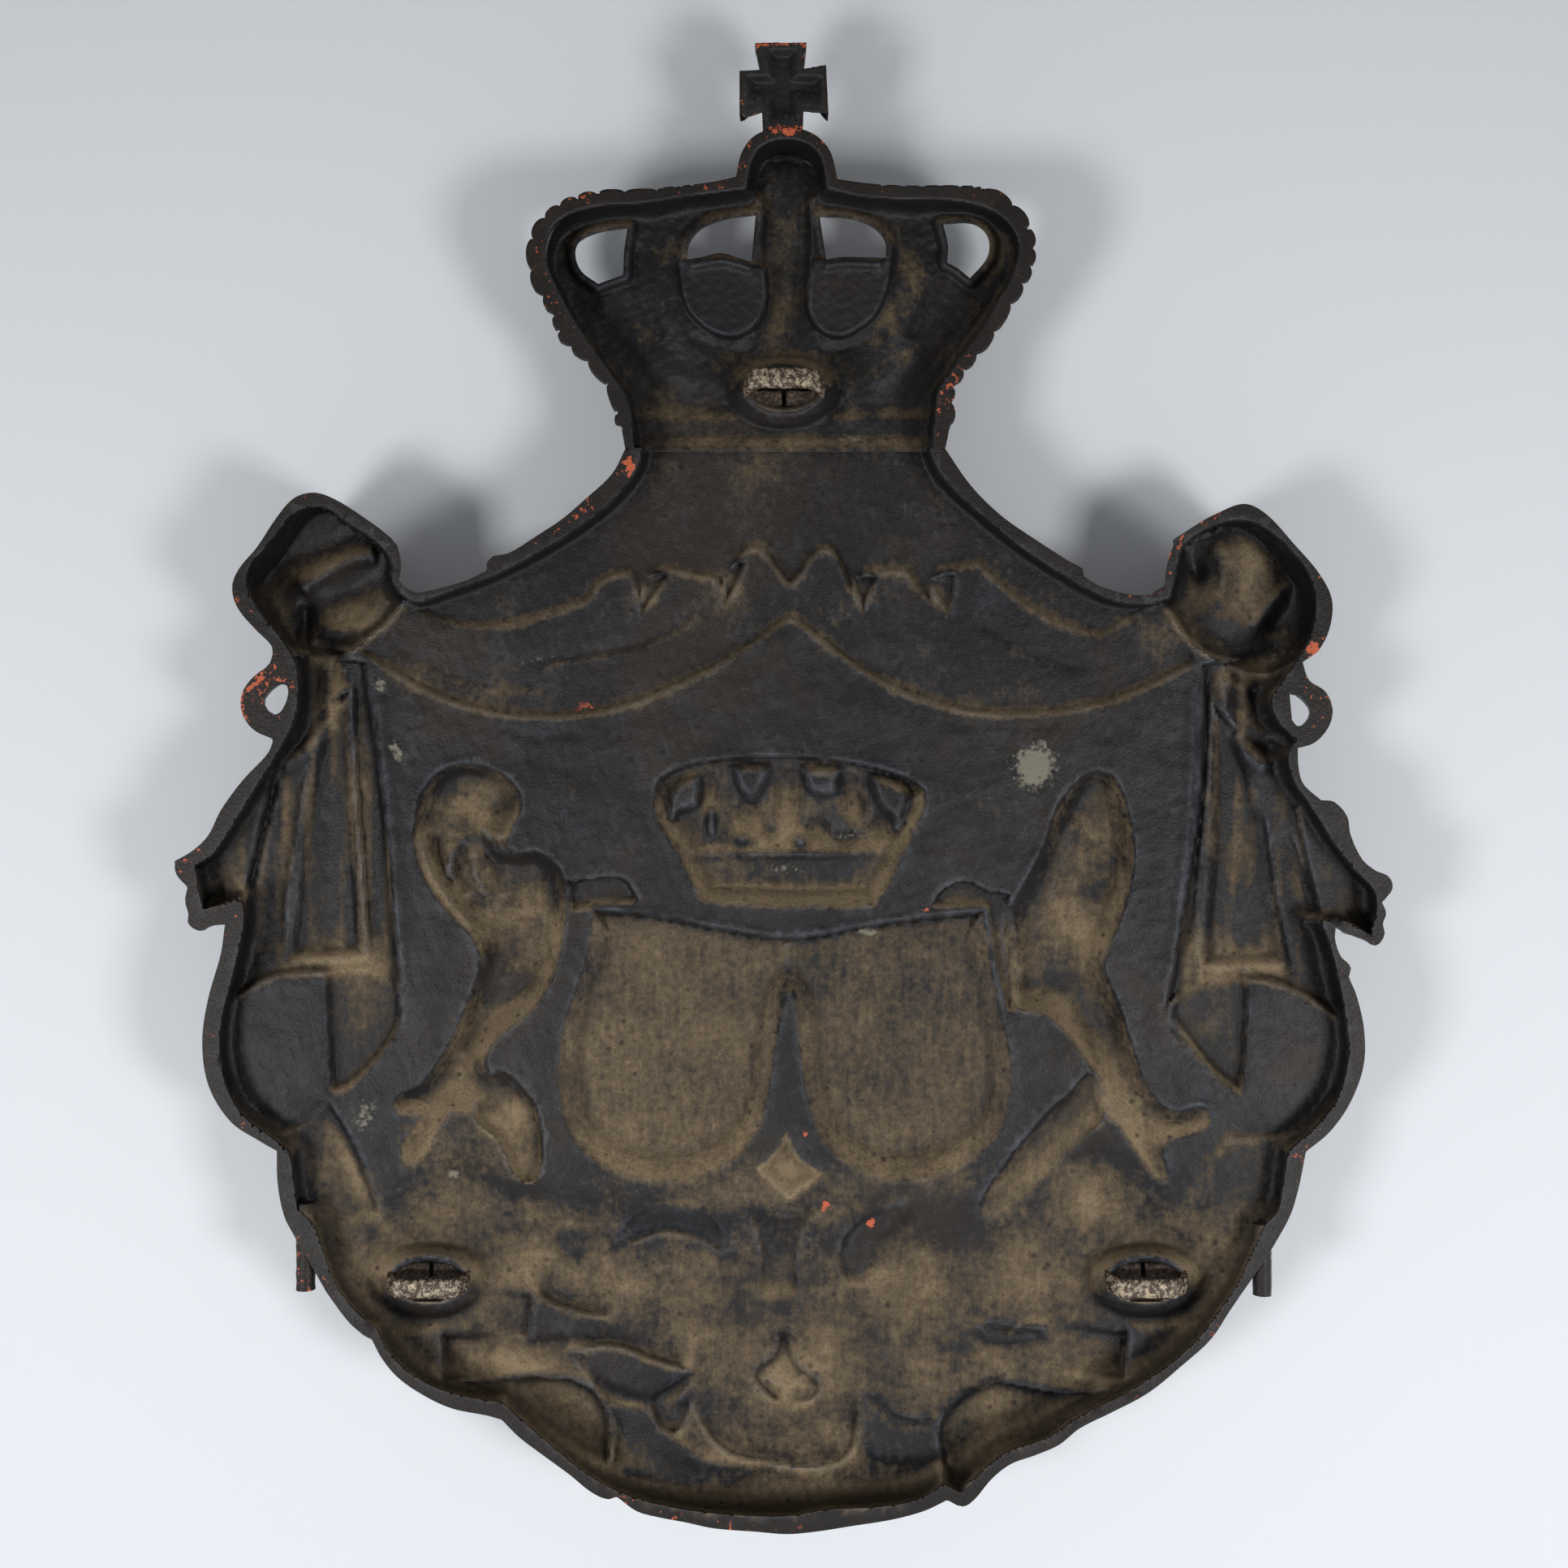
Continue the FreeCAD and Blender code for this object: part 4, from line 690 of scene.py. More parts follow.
GROUND_FOLDS = [
    ([(755, 1532), (785, 1496), (820, 1484), (866, 1493), (905, 1540)], 4.5, 24, 1),
    ([(770, 1535), (810, 1518), (860, 1525), (898, 1548)], 4.0, 34, -1),
    ([(1044, 1590), (1037, 1536), (1066, 1500), (1130, 1479)], 5.0, 44, 1),
    ([(980, 1600), (985, 1520), (1020, 1480)], 3.0, 30, -1),
    ([(940, 1600), (935, 1520), (900, 1470)], 3.0, 30, 1),
    ([(700, 1664), (755, 1656), (800, 1672), (852, 1688)], 4.5, 30, -1),
    ([(852, 1688), (830, 1706), (803, 1726), (829, 1764), (854, 1716)], 4.5, 20, -1),
    ([(966, 1636), (955, 1668), (930, 1693), (945, 1716), (966, 1730)], 5.0, 26, -1),
    ([(966, 1636), (980, 1680), (1009, 1712), (966, 1730)], 4.0, 24, 1),
    ([(851, 1721), (870, 1760), (894, 1786), (944, 1800), (1023, 1804), (1051, 1779),
      (1055, 1707)], 4.5, 26, -1),
    ([(656, 1592), (701, 1612), (760, 1622)], 4.0, 26, -1), ([(656, 1592), (648, 1650)], 4.0, 26, 1),
    ([(1205, 1628), (1250, 1636), (1290, 1640)], 4.0, 22, 1),
    ([(1060, 1712), (1085, 1728), (1110, 1746), (1160, 1748)], 4.0, 26, 1),
    ([(545, 1640), (546, 1705)], 6, 40, -1), ([(1390, 1636), (1384, 1702)], 6, 40, 1),
    ([(700, 1664), (730, 1700), (757, 1752), (752, 1810)], 4.0, 30, -1),
    ([(1232, 1690), (1180, 1726), (1159, 1757), (1164, 1803), (1184, 1836)], 4.0, 30, -1),
    ([(640, 1446), (690, 1470), (760, 1478)], 3.0, 26, 1),
    ([(1215, 1480), (1260, 1440), (1320, 1400)], 3.0, 26, 1),
]
GROUND_SWELLS = [
    (565, 1440, 70, 44, 20, 3), (1345, 1450, 60, 44, -20, 3), (835, 1520, 60, 26, 0, -3),
    (660, 1540, 60, 50, 0, 3), (600, 1630, 60, 50, 0, -3), (960, 1560, 40, 90, 0, 2),
    (1120, 1570, 70, 50, 0, 3), (1000, 1690, 90, 60, 0, 2), (640, 1660, 40, 30, 0, 3),
    (1300, 1660, 60, 40, 0, -2), (960, 1830, 220, 26, 0, 4), (1260, 1560, 60, 60, 0, 3),
]
print(len(GROUND_FOLDS), "edges in the ground")

# %% [markdown]
# ## Bosses and lips
# The eyes are let into oval bosses. Each boss swells out of the floor towards the wall and has a pocket in
# its middle, so that a hook can pass behind the strap. Where a carver cut a region in, a thin lip stays
# outside it.

# %% Boss of an eye
EYES_PX = {"lower_left_eye": (528, 1577), "lower_right_eye": (1412, 1577), "upper_eye": (966, 478)}
BOSS_BACK, POCKET = 13, 30
BOSS_HALF_PX = (59, 37)
POCKET_HALF_PX = (43, 25)
BOSS_FOOT, BOSS_SLOPE = 1.3, 0.55
POCKET_LIP, POCKET_SLOPE = 1.12, 0.3
LIP_OUT_PX, LIP_BELL_PX, LIP_HEIGHT = 2, 3.5, 0.5


def boss(sheet, depth, middle, drop=0):
    """Oval swelling with a pocket: depth eases to the boss's back in one oval and to the pocket in another.

    The outer oval may sit some pixels lower than the pocket."""
    dx, dy = sheet.px - middle[0], sheet.py - middle[1]
    outer = np.hypot(dx / BOSS_HALF_PX[0], (dy - drop) / BOSS_HALF_PX[1])
    inner = np.hypot(dx / POCKET_HALF_PX[0], dy / POCKET_HALF_PX[1])
    depth = depth + (BOSS_BACK - depth) * ease((BOSS_FOOT - outer) / BOSS_SLOPE)
    return depth + (POCKET - depth) * ease((POCKET_LIP - inner) / POCKET_SLOPE)


def lip(inward):
    """A thin bead just outside an edge: a height times a bell of the distance."""
    return -LIP_HEIGHT * np.exp(-((inward + LIP_OUT_PX) / LIP_BELL_PX) ** 2)


print(len(EYES_PX), "bosses")

# %% [markdown]
# ## The back of the mantle
# Every outline becomes one field of distances. The mantle's top edge laps a few pixels behind the crown's
# foot, as a joint in a casting would be rebated, so that no light shows through it.

# %% Regions of the mantle
SIDES = ("left", "right")
SEAM_LAP_PX = 5
FAR_REACH_PX = 70
SINGLES_PX = dict(rim=MANTLE_INNER_PX, drape=DRAPE_PX, collar=UPPER_CLOTH_PX, coronet=CORONET_PX,
                  lozenge=LOZENGE_PX, shields=SHIELDS_PX)
PAIRS_PX = dict(curtain=CURTAINS_PX, fold=DEEP_FOLDS_PX, wing=WINGS_PX, tail=TAILS_PX, panel=PANELS_PX,
                supporter=SUPPORTERS_PX, arm=ARMS_PX, leg=SECOND_LEGS_PX, shield=SHIELD_PAIR_PX,
                leaf=LEAVES_PX, ring=RINGS_PX)
BROAD_PX = dict(base=BASE_PX, left_knot=KNOTS_PX[0], right_knot=KNOTS_PX[1])


def any_of(sheet, outlines):
    """Inward distance of whichever of several outlines a node lies deepest in."""
    return np.maximum.reduce([depth_into(sheet, points) for points in outlines])


def mantle_regions(sheet):
    """Inward distances of every outline of the mantle, by name. Its top edge laps behind the crown's foot."""
    lapped = [(point[0], point[1] - SEAM_LAP_PX * (point[1] <= SEAM_PX), *point[2:]) for point in MANTLE_PX]
    regions = dict(outline=depth_into(sheet, lapped))
    for name, points in SINGLES_PX.items():
        regions[name] = depth_into(sheet, points)
    for name, pair in PAIRS_PX.items():
        for hand, points in zip(SIDES, pair):
            regions[f"{hand}_{name}"] = depth_into(sheet, points)
    for name, points in BROAD_PX.items():
        regions[name] = depth_into(sheet, points, reach=FAR_REACH_PX)
    regions["collar"] = np.maximum(regions["collar"], any_of(sheet, COLLAR_DROPS_PX))
    regions["islands"] = any_of(sheet, DARK_ISLANDS_PX)
    regions["proud"] = any_of(sheet, CORONET_PROUD_PX)
    return regions


print(2 * len(PAIRS_PX) + len(SINGLES_PX) + len(BROAD_PX), "regions in the mantle")

# %% [markdown]
# The field is the shallowest floor. Drape, collar, curtains and knots are sunk into it one after another,
# each with its own draft, which is the slope that lets a pattern leave the sand.

# %% Depth of the cloth
FIELD, DRAPE, COLLAR, KNOT = 18, 24, 30, 42
FIELD_WAVES = ((0.3, 70, 1), (0.15, 24, 2))
DRAPE_DRAFT, COLLAR_DRAFT, KNOT_DRAFT = 9, 8, 30
COLLAR_STEP, COLLAR_SPAN_PX = 2.5, 260
CLOTH_LAYERS = (("panel", 25, 12), ("curtain", 27, 9), ("fold", 34, 16), ("wing", 21, 9), ("tail", 33, 24))
KNOT_SOFT_PX = 14


def cloth_depth(sheet, region):
    """Depth of the field and the cloth in millimetres, each region sunk over the ones before it."""
    depth = rough(sheet, FIELD, FIELD_WAVES)
    depth = sink(sheet, depth, region["drape"], DRAPE + folds(sheet, SWAG_FOLDS), DRAPE_DRAFT)
    depth += folds(sheet, FIELD_FOLDS)
    nearness = np.exp(-((sheet.px - CENTRE_PX) / COLLAR_SPAN_PX) ** 2)
    collar = DRAPE + COLLAR_STEP + (COLLAR - DRAPE - COLLAR_STEP) * nearness
    depth = sink(sheet, depth, region["collar"], collar, COLLAR_DRAFT)
    for hand in SIDES:
        for name, floor, draft in CLOTH_LAYERS:
            depth = sink(sheet, depth, region[f"{hand}_{name}"], floor, draft)
    depth += folds(sheet, CURTAIN_FOLDS) + ribs(sheet, CURTAIN_RIBS) + folds(sheet, PANEL_FOLDS)
    for hand in SIDES:
        depth = sink(sheet, depth, region[f"{hand}_knot"], KNOT, KNOT_DRAFT, scoop)
    inside_knot = ease(np.maximum(region["left_knot"], region["right_knot"]) / KNOT_SOFT_PX)
    depth += inside_knot * (swell(sheet, KNOT_SWELLS) + ribs(sheet, KNOT_RIBS))
    return depth


print(len(CLOTH_LAYERS), "layers in each curtain")

# %% [markdown]
# The ground slopes in over a long way, so it has no lip. Its edges are stepped, its islands stand proud,
# and two leaves are cut deeper at the foot.

# %% Depth of the ground
BASE, LEAF, ISLAND = 30, 36, 3.2
EVEN = 1
BASE_OUT_PX, BASE_DRAFT, LEAF_DRAFT = 30, 100, 14
BASE_EDGE_PX, BASE_SOFT_PX = 10, 40
GROUND_STEP = 1.2
ISLAND_OUT_PX, ISLAND_SOFT_PX = 6, 14


def ground_depth(sheet, depth, region):
    """Depth with the ground sunk in: a long slope, stepped edges, islands left standing and two leaves."""
    depth = sink(sheet, depth, region["base"] + BASE_OUT_PX, BASE, BASE_DRAFT, steep=EVEN)
    inside_base = ease((region["base"] + BASE_EDGE_PX) / BASE_SOFT_PX)
    depth += inside_base * (GROUND_STEP * folds(sheet, GROUND_FOLDS) + swell(sheet, GROUND_SWELLS))
    depth -= ISLAND * ease((region["islands"] + ISLAND_OUT_PX) / ISLAND_SOFT_PX)
    for hand in SIDES:
        depth = sink(sheet, depth, region[f"{hand}_leaf"], LEAF, LEAF_DRAFT)
    return depth


print("ground is", BASE, "mm deep")

# %% [markdown]
# The figures come last, because they lie over cloth and ground. An animal grows shallower towards its paws;
# the shields are plates with a bevel and a low ridge along it; the small crown has leaves that stand proud.

# %% Depth of the figures
SUPPORTER, PAW, ARM, LEG = 34, 27, FIELD + 6, 29
SHIELD, CORONET, PROUD, LOZENGE = 27, 31, FIELD + 5, 25
ARM_DRAFT, LEG_DRAFT, BODY_DRAFT = 10, 36, 34
SHIELD_DRAFT, CORONET_DRAFT, PROUD_DRAFT, LOZENGE_DRAFT = 27, 21, 14, 20
PAW_TOP_PX, PAW_SLOPE_PX = 1270, 120
BODY_STEEP, LOZENGE_STEEP = 0.6, 0.7
BODY_SOFT_PX, RIB_STRENGTH = 12, 1.25
RIDGE, RIDGE_AT, RIDGE_WIDE = 1.2, 1.1, 0.2
LEAVES_IN_PX, LEAVES_SOFT_PX = 10, 12


def figure_depth(sheet, depth, region):
    """Depth with animals, shields, small crown and lozenge sunk into it, in that order."""
    for hand in SIDES:
        depth = sink(sheet, depth, region[f"{hand}_arm"], ARM, ARM_DRAFT)
        depth = sink(sheet, depth, region[f"{hand}_leg"], LEG, LEG_DRAFT, scoop, steep=EVEN)
    for hand in SIDES:
        body = region[f"{hand}_supporter"]
        floor = SUPPORTER - (SUPPORTER - PAW) * ease((sheet.py - PAW_TOP_PX) / PAW_SLOPE_PX)
        depth = sink(sheet, depth, body, floor, BODY_DRAFT, trough, steep=BODY_STEEP) + lip(body)
        muscles = swell(sheet, BODY_SWELLS) + RIB_STRENGTH * ribs(sheet, BODY_RIBS)
        depth += ease(body / BODY_SOFT_PX) * muscles
    plate = region["shields"]
    depth = sink(sheet, depth, plate, SHIELD, SHIELD_DRAFT, bevel) + lip(plate)
    share = wall_share(sheet, plate, SHIELD - FIELD, SHIELD_DRAFT)
    depth += RIDGE * np.exp(-((share - RIDGE_AT) / RIDGE_WIDE) ** 2)
    depth += ribs(sheet, SHIELD_LINE)
    band = region["coronet"]
    depth = sink(sheet, depth, band, CORONET, CORONET_DRAFT, bevel) + lip(band)
    depth += ease((band - LEAVES_IN_PX) / LEAVES_SOFT_PX) * swell(sheet, CORONET_SWELLS)
    depth = sink(sheet, depth, region["proud"], PROUD, PROUD_DRAFT, steep=EVEN)
    return sink(sheet, depth, region["lozenge"], LOZENGE, LOZENGE_DRAFT, steep=LOZENGE_STEEP)


print("animals are", SUPPORTER, "mm deep and", PAW, "at the paws")

# %% [markdown]
# At the edge everything rises to the flat land of the rim, which is what lies against the wall.

# %% Depth of the whole back
DEEPEST = 49.5
MANTLE_RIM_DRAFT = 8
SKIN_OUT_PX, SKIN_SOFT_PX = 4, 8
MANTLE_SKIN, MANTLE_SKIN_WAVE = 0.25, (16, 3)


def mantle_depth(sheet, region):
    """Depth of the back in millimetres: cloth, ground, figures and bosses, then the rise to the rim."""
    depth = figure_depth(sheet, ground_depth(sheet, cloth_depth(sheet, region), region), region)
    for name in ("lower_left_eye", "lower_right_eye"):
        depth = boss(sheet, depth, EYES_PX[name])
    depth = np.minimum(depth, DEEPEST) * scoop(wall_share(sheet, region["rim"], depth, MANTLE_RIM_DRAFT))
    inside = ease((region["rim"] + SKIN_OUT_PX) / SKIN_SOFT_PX)
    return depth + MANTLE_SKIN * uneven(sheet, *MANTLE_SKIN_WAVE) * inside


print("no deeper than", DEEPEST, "mm")

# %% [markdown]
# ## The front of a wall
# A wall keeps one thickness all round its bends, so the front is what a ball of that radius would touch if
# it were rolled over the back. The grid's nodes are first drawn onto the edges nearby, so that lips stay
# crisp.

# %% Ball and snap
SNAP_LEAST, SNAP_SHARE = 0.5, 0.45


def ball_over(sheet, depth, radius_mm):
    """Outer skin of a wall: the highest of the depths nearby, each raised by a ball of the wall's radius."""
    cell = sheet.step * ACROSS / MM
    reach = int(radius_mm / cell)
    outer = depth + radius_mm
    padded = np.pad(depth, reach, mode="edge")
    rows, cols = depth.shape
    for i in range(-reach, reach + 1):
        for j in range(-reach, reach + 1):
            left = radius_mm**2 - (i * i + j * j) * cell * cell
            if left > 0:
                shifted = padded[reach + i:reach + i + rows, reach + j:reach + j + cols]
                outer = np.maximum(outer, shifted + np.sqrt(left))
    return outer


def snap(sheet, fields):
    """Move each node that lies within half a step of an edge onto it, along the slope of the distance."""
    free = np.ones(sheet.px.shape, bool)
    for inward in fields:
        across, down = sheet.slope(inward)
        steep = np.maximum(across**2 + down**2, SNAP_LEAST)
        near = free & (np.abs(inward) < SNAP_SHARE * sheet.step)
        shift = np.where(near, inward / steep, 0)
        sheet.px = sheet.px - shift * across
        sheet.py = sheet.py - shift * down
        free &= ~near


# %% [markdown]
# With these the mantle's two surfaces can be worked out. The ears behind the side rings are thicker than
# the rest.

# %% Grid of the mantle
WALL, EAR_FRONT = 7, 14
MANTLE_STEP_PX = 3
MANTLE_LEFT_PX, MANTLE_RIGHT_PX, MANTLE_FOOT_PX = 203, 1731, 1902
MANTLE_TOP_PX = SEAM_PX - 12
CRISP = ("rim", "shields", "coronet", "left_supporter", "right_supporter", "drape",
         "collar", "left_curtain", "right_curtain", "lozenge")
mantle = Sheet(MANTLE_LEFT_PX, MANTLE_RIGHT_PX, MANTLE_TOP_PX, MANTLE_FOOT_PX, MANTLE_STEP_PX)
even = mantle_regions(mantle)
mantle_outline = even["outline"]
mantle_solid = np.minimum(np.minimum(mantle_outline, -even["left_ring"]), -even["right_ring"])
snap(mantle, [even[name] for name in CRISP])
region = mantle_regions(mantle)
mantle_back = mantle_depth(mantle, region)
mantle_front = ball_over(mantle, np.where(region["outline"] > 0, mantle_back, 0), WALL)
ears = any_of(mantle, EARS_PX)
mantle_front = np.where(ears > 0, np.maximum(mantle_front, EAR_FRONT), mantle_front)
print("mantle grid", mantle.px.shape, "deepest back", round(float(mantle_back.max()), 1), "mm")

# %% [markdown]
# ## From two surfaces to one closed skin
# The back and the front share one grid. Cells that lie inside the outline make the two sheets, and a strip
# of faces along every open edge joins them, so that the skin is closed like the casting's own.

# %% Mesh from arrays
def build(name, points, faces):
    """A mesh object at the origin from arrays of points and four-sided faces, kept inside the solids' box."""
    points = np.clip(points, cad_low, cad_high)
    mesh = bpy.data.meshes.new(name)
    mesh.vertices.add(len(points))
    mesh.vertices.foreach_set("co", np.ascontiguousarray(points, np.float32).ravel())
    mesh.loops.add(faces.size)
    mesh.loops.foreach_set("vertex_index", np.ascontiguousarray(faces, np.int32).ravel())
    mesh.polygons.add(len(faces))
    mesh.polygons.foreach_set("loop_start", np.arange(0, faces.size, 4, dtype=np.int32))
    mesh.polygons.foreach_set("use_smooth", np.ones(len(faces), bool))
    mesh.update(calc_edges=True)
    mesh.validate()
    obj = bpy.data.objects.new(name, mesh)
    bpy.context.scene.collection.objects.link(obj)
    return obj


def corners_of(obj):
    """Vertex positions as an array."""
    flat = np.empty(3 * len(obj.data.vertices), np.float32)
    obj.data.vertices.foreach_get("co", flat)
    return flat.reshape(-1, 3).astype(float)


def ring_faces(steps, around):
    """Faces between rings of points: each point, its neighbour and the same two of the next ring."""
    i = np.arange(steps - 1)[:, None] * around
    j = np.arange(around)[None]
    k = (j + 1) % around
    return np.stack([i + j, i + k, i + around + k, i + around + j], -1).reshape(-1, 4)


# %% [markdown]
# Near the outline the nodes are moved onto it, so that the edge runs smooth instead of in steps.

# %% Closed shell from a grid
SPREAD_PX = 40
CELL_SLACK, EDGE_LEAST, EDGE_REACH, LOOK_GAIN = 0.35, 0.8, 1.2, 2


def shell(sheet, back, front, solid, outer, bottom=None, back_fade_px=None):
    """Points and faces of the back sheet, the front sheet and the strip between them.

    Cells count when all their corners are inside. Near the outer edge the view's widening fades out, so
    side walls run straight back, while walls that look to the middle of the view, and those of an
    opening, follow the line of sight."""
    inner = solid > -CELL_SLACK * sheet.step
    if bottom is not None:
        inner &= sheet.py <= bottom + CELL_SLACK * sheet.step
    cells = inner[:-1, :-1] & inner[1:, :-1] & inner[:-1, 1:] & inner[1:, 1:]
    ring = np.pad(cells, 1)
    count = ring[:-1, :-1].astype(int) + ring[1:, :-1] + ring[:-1, 1:] + ring[1:, 1:]
    used = count > 0
    across, down = sheet.slope(solid)
    steep = np.maximum(across**2 + down**2, EDGE_LEAST)
    shift = np.where(used & (count < 4) & (np.abs(solid) < EDGE_REACH * sheet.step), solid / steep, 0)
    px, py = sheet.px - shift * across, sheet.py - shift * down
    number = np.cumsum(used).reshape(used.shape) - 1
    total = int(used.sum())
    edge = np.maximum(solid, 0)
    back_spread = back * ease(edge / back_fade_px) if back_fade_px else back
    inward_x, inward_y = sheet.slope(outer)
    from_middle = np.hypot(sheet.px - CENTRE_PX, sheet.py - CENTRE_PX) + 1
    looks_in = (inward_x * (sheet.px - CENTRE_PX) + inward_y * (sheet.py - CENTRE_PX)) / from_middle
    front_spread = front * np.maximum(ease(outer / SPREAD_PX), ease(LOOK_GAIN * looks_in))
    points = np.concatenate([place(px[used], py[used], back_spread[used] * MM),
                             place(px[used], py[used], front_spread[used] * MM)])
    points[:, 1] = RIM_Y + np.concatenate([back[used], front[used]]) * MM
    a, b, c, d = number[:-1, :-1], number[:-1, 1:], number[1:, 1:], number[1:, :-1]
    corners = np.stack([a, d, c, b], -1)[cells]
    faces = [corners, corners[:, ::-1] + total]
    sides = [(cells & ~ring[:-2, 1:-1], a, b), (cells & ~ring[2:, 1:-1], c, d),
             (cells & ~ring[1:-1, 2:], b, c), (cells & ~ring[1:-1, :-2], d, a)]
    for mask, start, stop in sides:
        faces.append(np.stack([start[mask], stop[mask], stop[mask] + total, start[mask] + total], -1))
    return points, np.concatenate(faces)


# %% [markdown]
# Flat floors need fewer faces than lips and folds, so the fine grid is thinned where it is flattest.

# %% Thinning
MOST_TRIANGLES = 190000
FRONT_WEIGHT, BACK_WEIGHT, WEIGHT_FACTOR = 1.0, 0.9, 0.001
SHARP = np.radians(58)


def thin(obj, most, behind):
    """Merge the flattest faces until no more than so many triangles are left, and keep the result.

    The first points are the back's. A weight keeps more faces there, for its finer forms."""
    triangles = sum(len(face.vertices) - 2 for face in obj.data.polygons)
    if triangles <= most:
        return
    step = obj.modifiers.new("thin", "DECIMATE")
    step.ratio = most / triangles
    weights = obj.vertex_groups.new(name="thin")
    weights.add(list(range(behind)), BACK_WEIGHT, "REPLACE")
    weights.add(list(range(behind, len(obj.data.vertices))), FRONT_WEIGHT, "REPLACE")
    step.vertex_group = weights.name
    step.vertex_group_factor = WEIGHT_FACTOR
    graph = bpy.context.evaluated_depsgraph_get()
    thinned = bpy.data.meshes.new_from_object(obj.evaluated_get(graph))
    obj.modifiers.clear()
    obj.data = thinned
    inside = np.clip(corners_of(obj), cad_low, cad_high)
    thinned.vertices.foreach_set("co", inside.astype(np.float32).ravel())
    thinned.polygons.foreach_set("use_smooth", np.ones(len(thinned.polygons), bool))
    thinned.set_sharp_from_angle(angle=SHARP)


# %% [markdown]
# Two rough round lugs stand at the lower corners. Each is a short rod, cast on with the mantle.

# %% Lugs and the mantle's mesh
LUGS_PX = {"left_lug": (373, 1482, 1595), "right_lug": (1559, 1508, 1601)}
LUG_RADIUS, LUG_MIDDLE = 6.2 * MM, 6.8 * MM
LUG_STEPS, LUG_ROUND = 40, 20
LUG_RIPPLE, LUG_FULL = (0.01, 0.03), 0.97
RIPPLES_DOWN, RIPPLES_ROUND = 9, 3
LUG_WAVES = range(1, 7)
ANY_PHASE = (0, 6)


def rod(px, top, bottom, seed):
    """A rough upright rod: a rippled circle carried down a line, closed to a point at both ends."""
    share = np.linspace(0, 1, LUG_STEPS)[:, None]
    turn = np.linspace(0, 2 * np.pi, LUG_ROUND, endpoint=False)[None]
    random = np.random.default_rng(seed)
    ripple = sum(random.uniform(*LUG_RIPPLE)
                 * np.sin(k * RIPPLES_DOWN * share + random.uniform(*ANY_PHASE) + RIPPLES_ROUND * turn)
                 for k in LUG_WAVES)
    close = np.minimum(np.minimum(share, 1 - share) * LUG_STEPS, 1)
    radius = LUG_RADIUS * close * (LUG_FULL - np.abs(ripple))
    middle = place(px, top + (bottom - top) * share[:, 0], 0 * share[:, 0])
    x = middle[:, :1] + radius * np.cos(turn)
    y = RIM_Y + LUG_MIDDLE + radius * np.sin(turn)
    z = middle[:, 2:] + 0 * turn
    faces = ring_faces(LUG_STEPS, LUG_ROUND)[:, [0, 3, 2, 1]]
    return np.stack([x, y, z], -1).reshape(-1, 3), faces


def together(parts):
    """One set of points and faces from several."""
    starts = np.cumsum([0] + [len(points) for points, _ in parts[:-1]])
    return (np.concatenate([points for points, _ in parts]),
            np.concatenate([faces + start for (_, faces), start in zip(parts, starts)]))


lugs = [rod(*spot, seed) for seed, spot in enumerate(LUGS_PX.values())]
mantle_parts = [shell(mantle, mantle_back, mantle_front, mantle_solid, mantle_outline)] + lugs
mantle_obj = build("mantle_skin", *together(mantle_parts))
thin(mantle_obj, MOST_TRIANGLES, len(mantle_parts[0][0]) // 2)
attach(mantle_obj, "root")
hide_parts("mantle_casting")
print("mantle", len(mantle_obj.data.polygons), "faces")

# %% [markdown]
# ## The crown casting
# The crown is cast on its own and joined at the neck. Its arches are troughs between four openings, with
# two flat webs behind the inner pair, a straight circlet below and a sloped sill that catches dust. Beads
# run round its edge; from behind only their scalloped outline shows.

# %% Outlines of the crown
CROWN_PX = [
    (771, 557, 1), (768, 540), (763, 515), (757, 490), (745, 468), (728, 447), (708, 428), (692, 412),
    (686, 392), (673, 368), (660, 345), (655, 320), (657, 295), (668, 275), (690, 256), (720, 244),
    (760, 239), (800, 238), (850, 229), (890, 222), (907, 218, 1), (914, 188), (932, 166), (966, 157),
    (1000, 164), (1022, 185), (1032, 221, 1), (1075, 227), (1120, 231), (1170, 230), (1210, 234),
    (1240, 249), (1261, 272), (1270, 300), (1267, 330), (1254, 358), (1237, 385), (1224, 408),
    (1207, 430), (1190, 450), (1170, 478, 1), (1170, 500), (1170, 525), (1164, 557, 1),
]
CROWN_INNER_PX = [
    (783, 575, 1), (777, 515), (773, 492), (755, 465), (735, 437), (715, 408), (700, 383), (685, 355),
    (673, 325), (672, 300), (681, 279), (702, 263), (740, 253), (790, 250), (850, 241), (918, 232, 1),
    (925, 200), (938, 180), (966, 171), (997, 178), (1013, 197), (1020, 232, 1), (1060, 241),
    (1110, 245), (1160, 245), (1205, 252), (1235, 267), (1253, 290), (1256, 315), (1247, 345),
    (1232, 368), (1215, 398), (1195, 425), (1180, 447), (1157, 480, 1), (1154, 500), (1152, 520),
    (1148, 575, 1),
]
WINDOWS_PX = {
    "outer_left": [(773, 282, 1), (740, 287), (715, 298), (709, 313), (716, 334), (737, 350, 1),
                   (768, 339, 1), (769, 310)],
    "inner_left": [(931, 266, 1), (895, 271), (865, 283), (850, 300), (846, 320, 1), (865, 317),
                   (887, 312), (910, 318), (926, 323, 1)],
    "inner_right": [(1010, 268, 1), (1050, 271), (1078, 283), (1091, 300), (1091, 318, 1),
                    (1060, 317), (1035, 317), (1018, 320, 1)],
    "outer_right": [(1162, 277, 1), (1195, 276), (1212, 285), (1219, 301), (1215, 320),
                    (1195, 343, 1), (1180, 331), (1167, 324, 1), (1168, 302)],
}
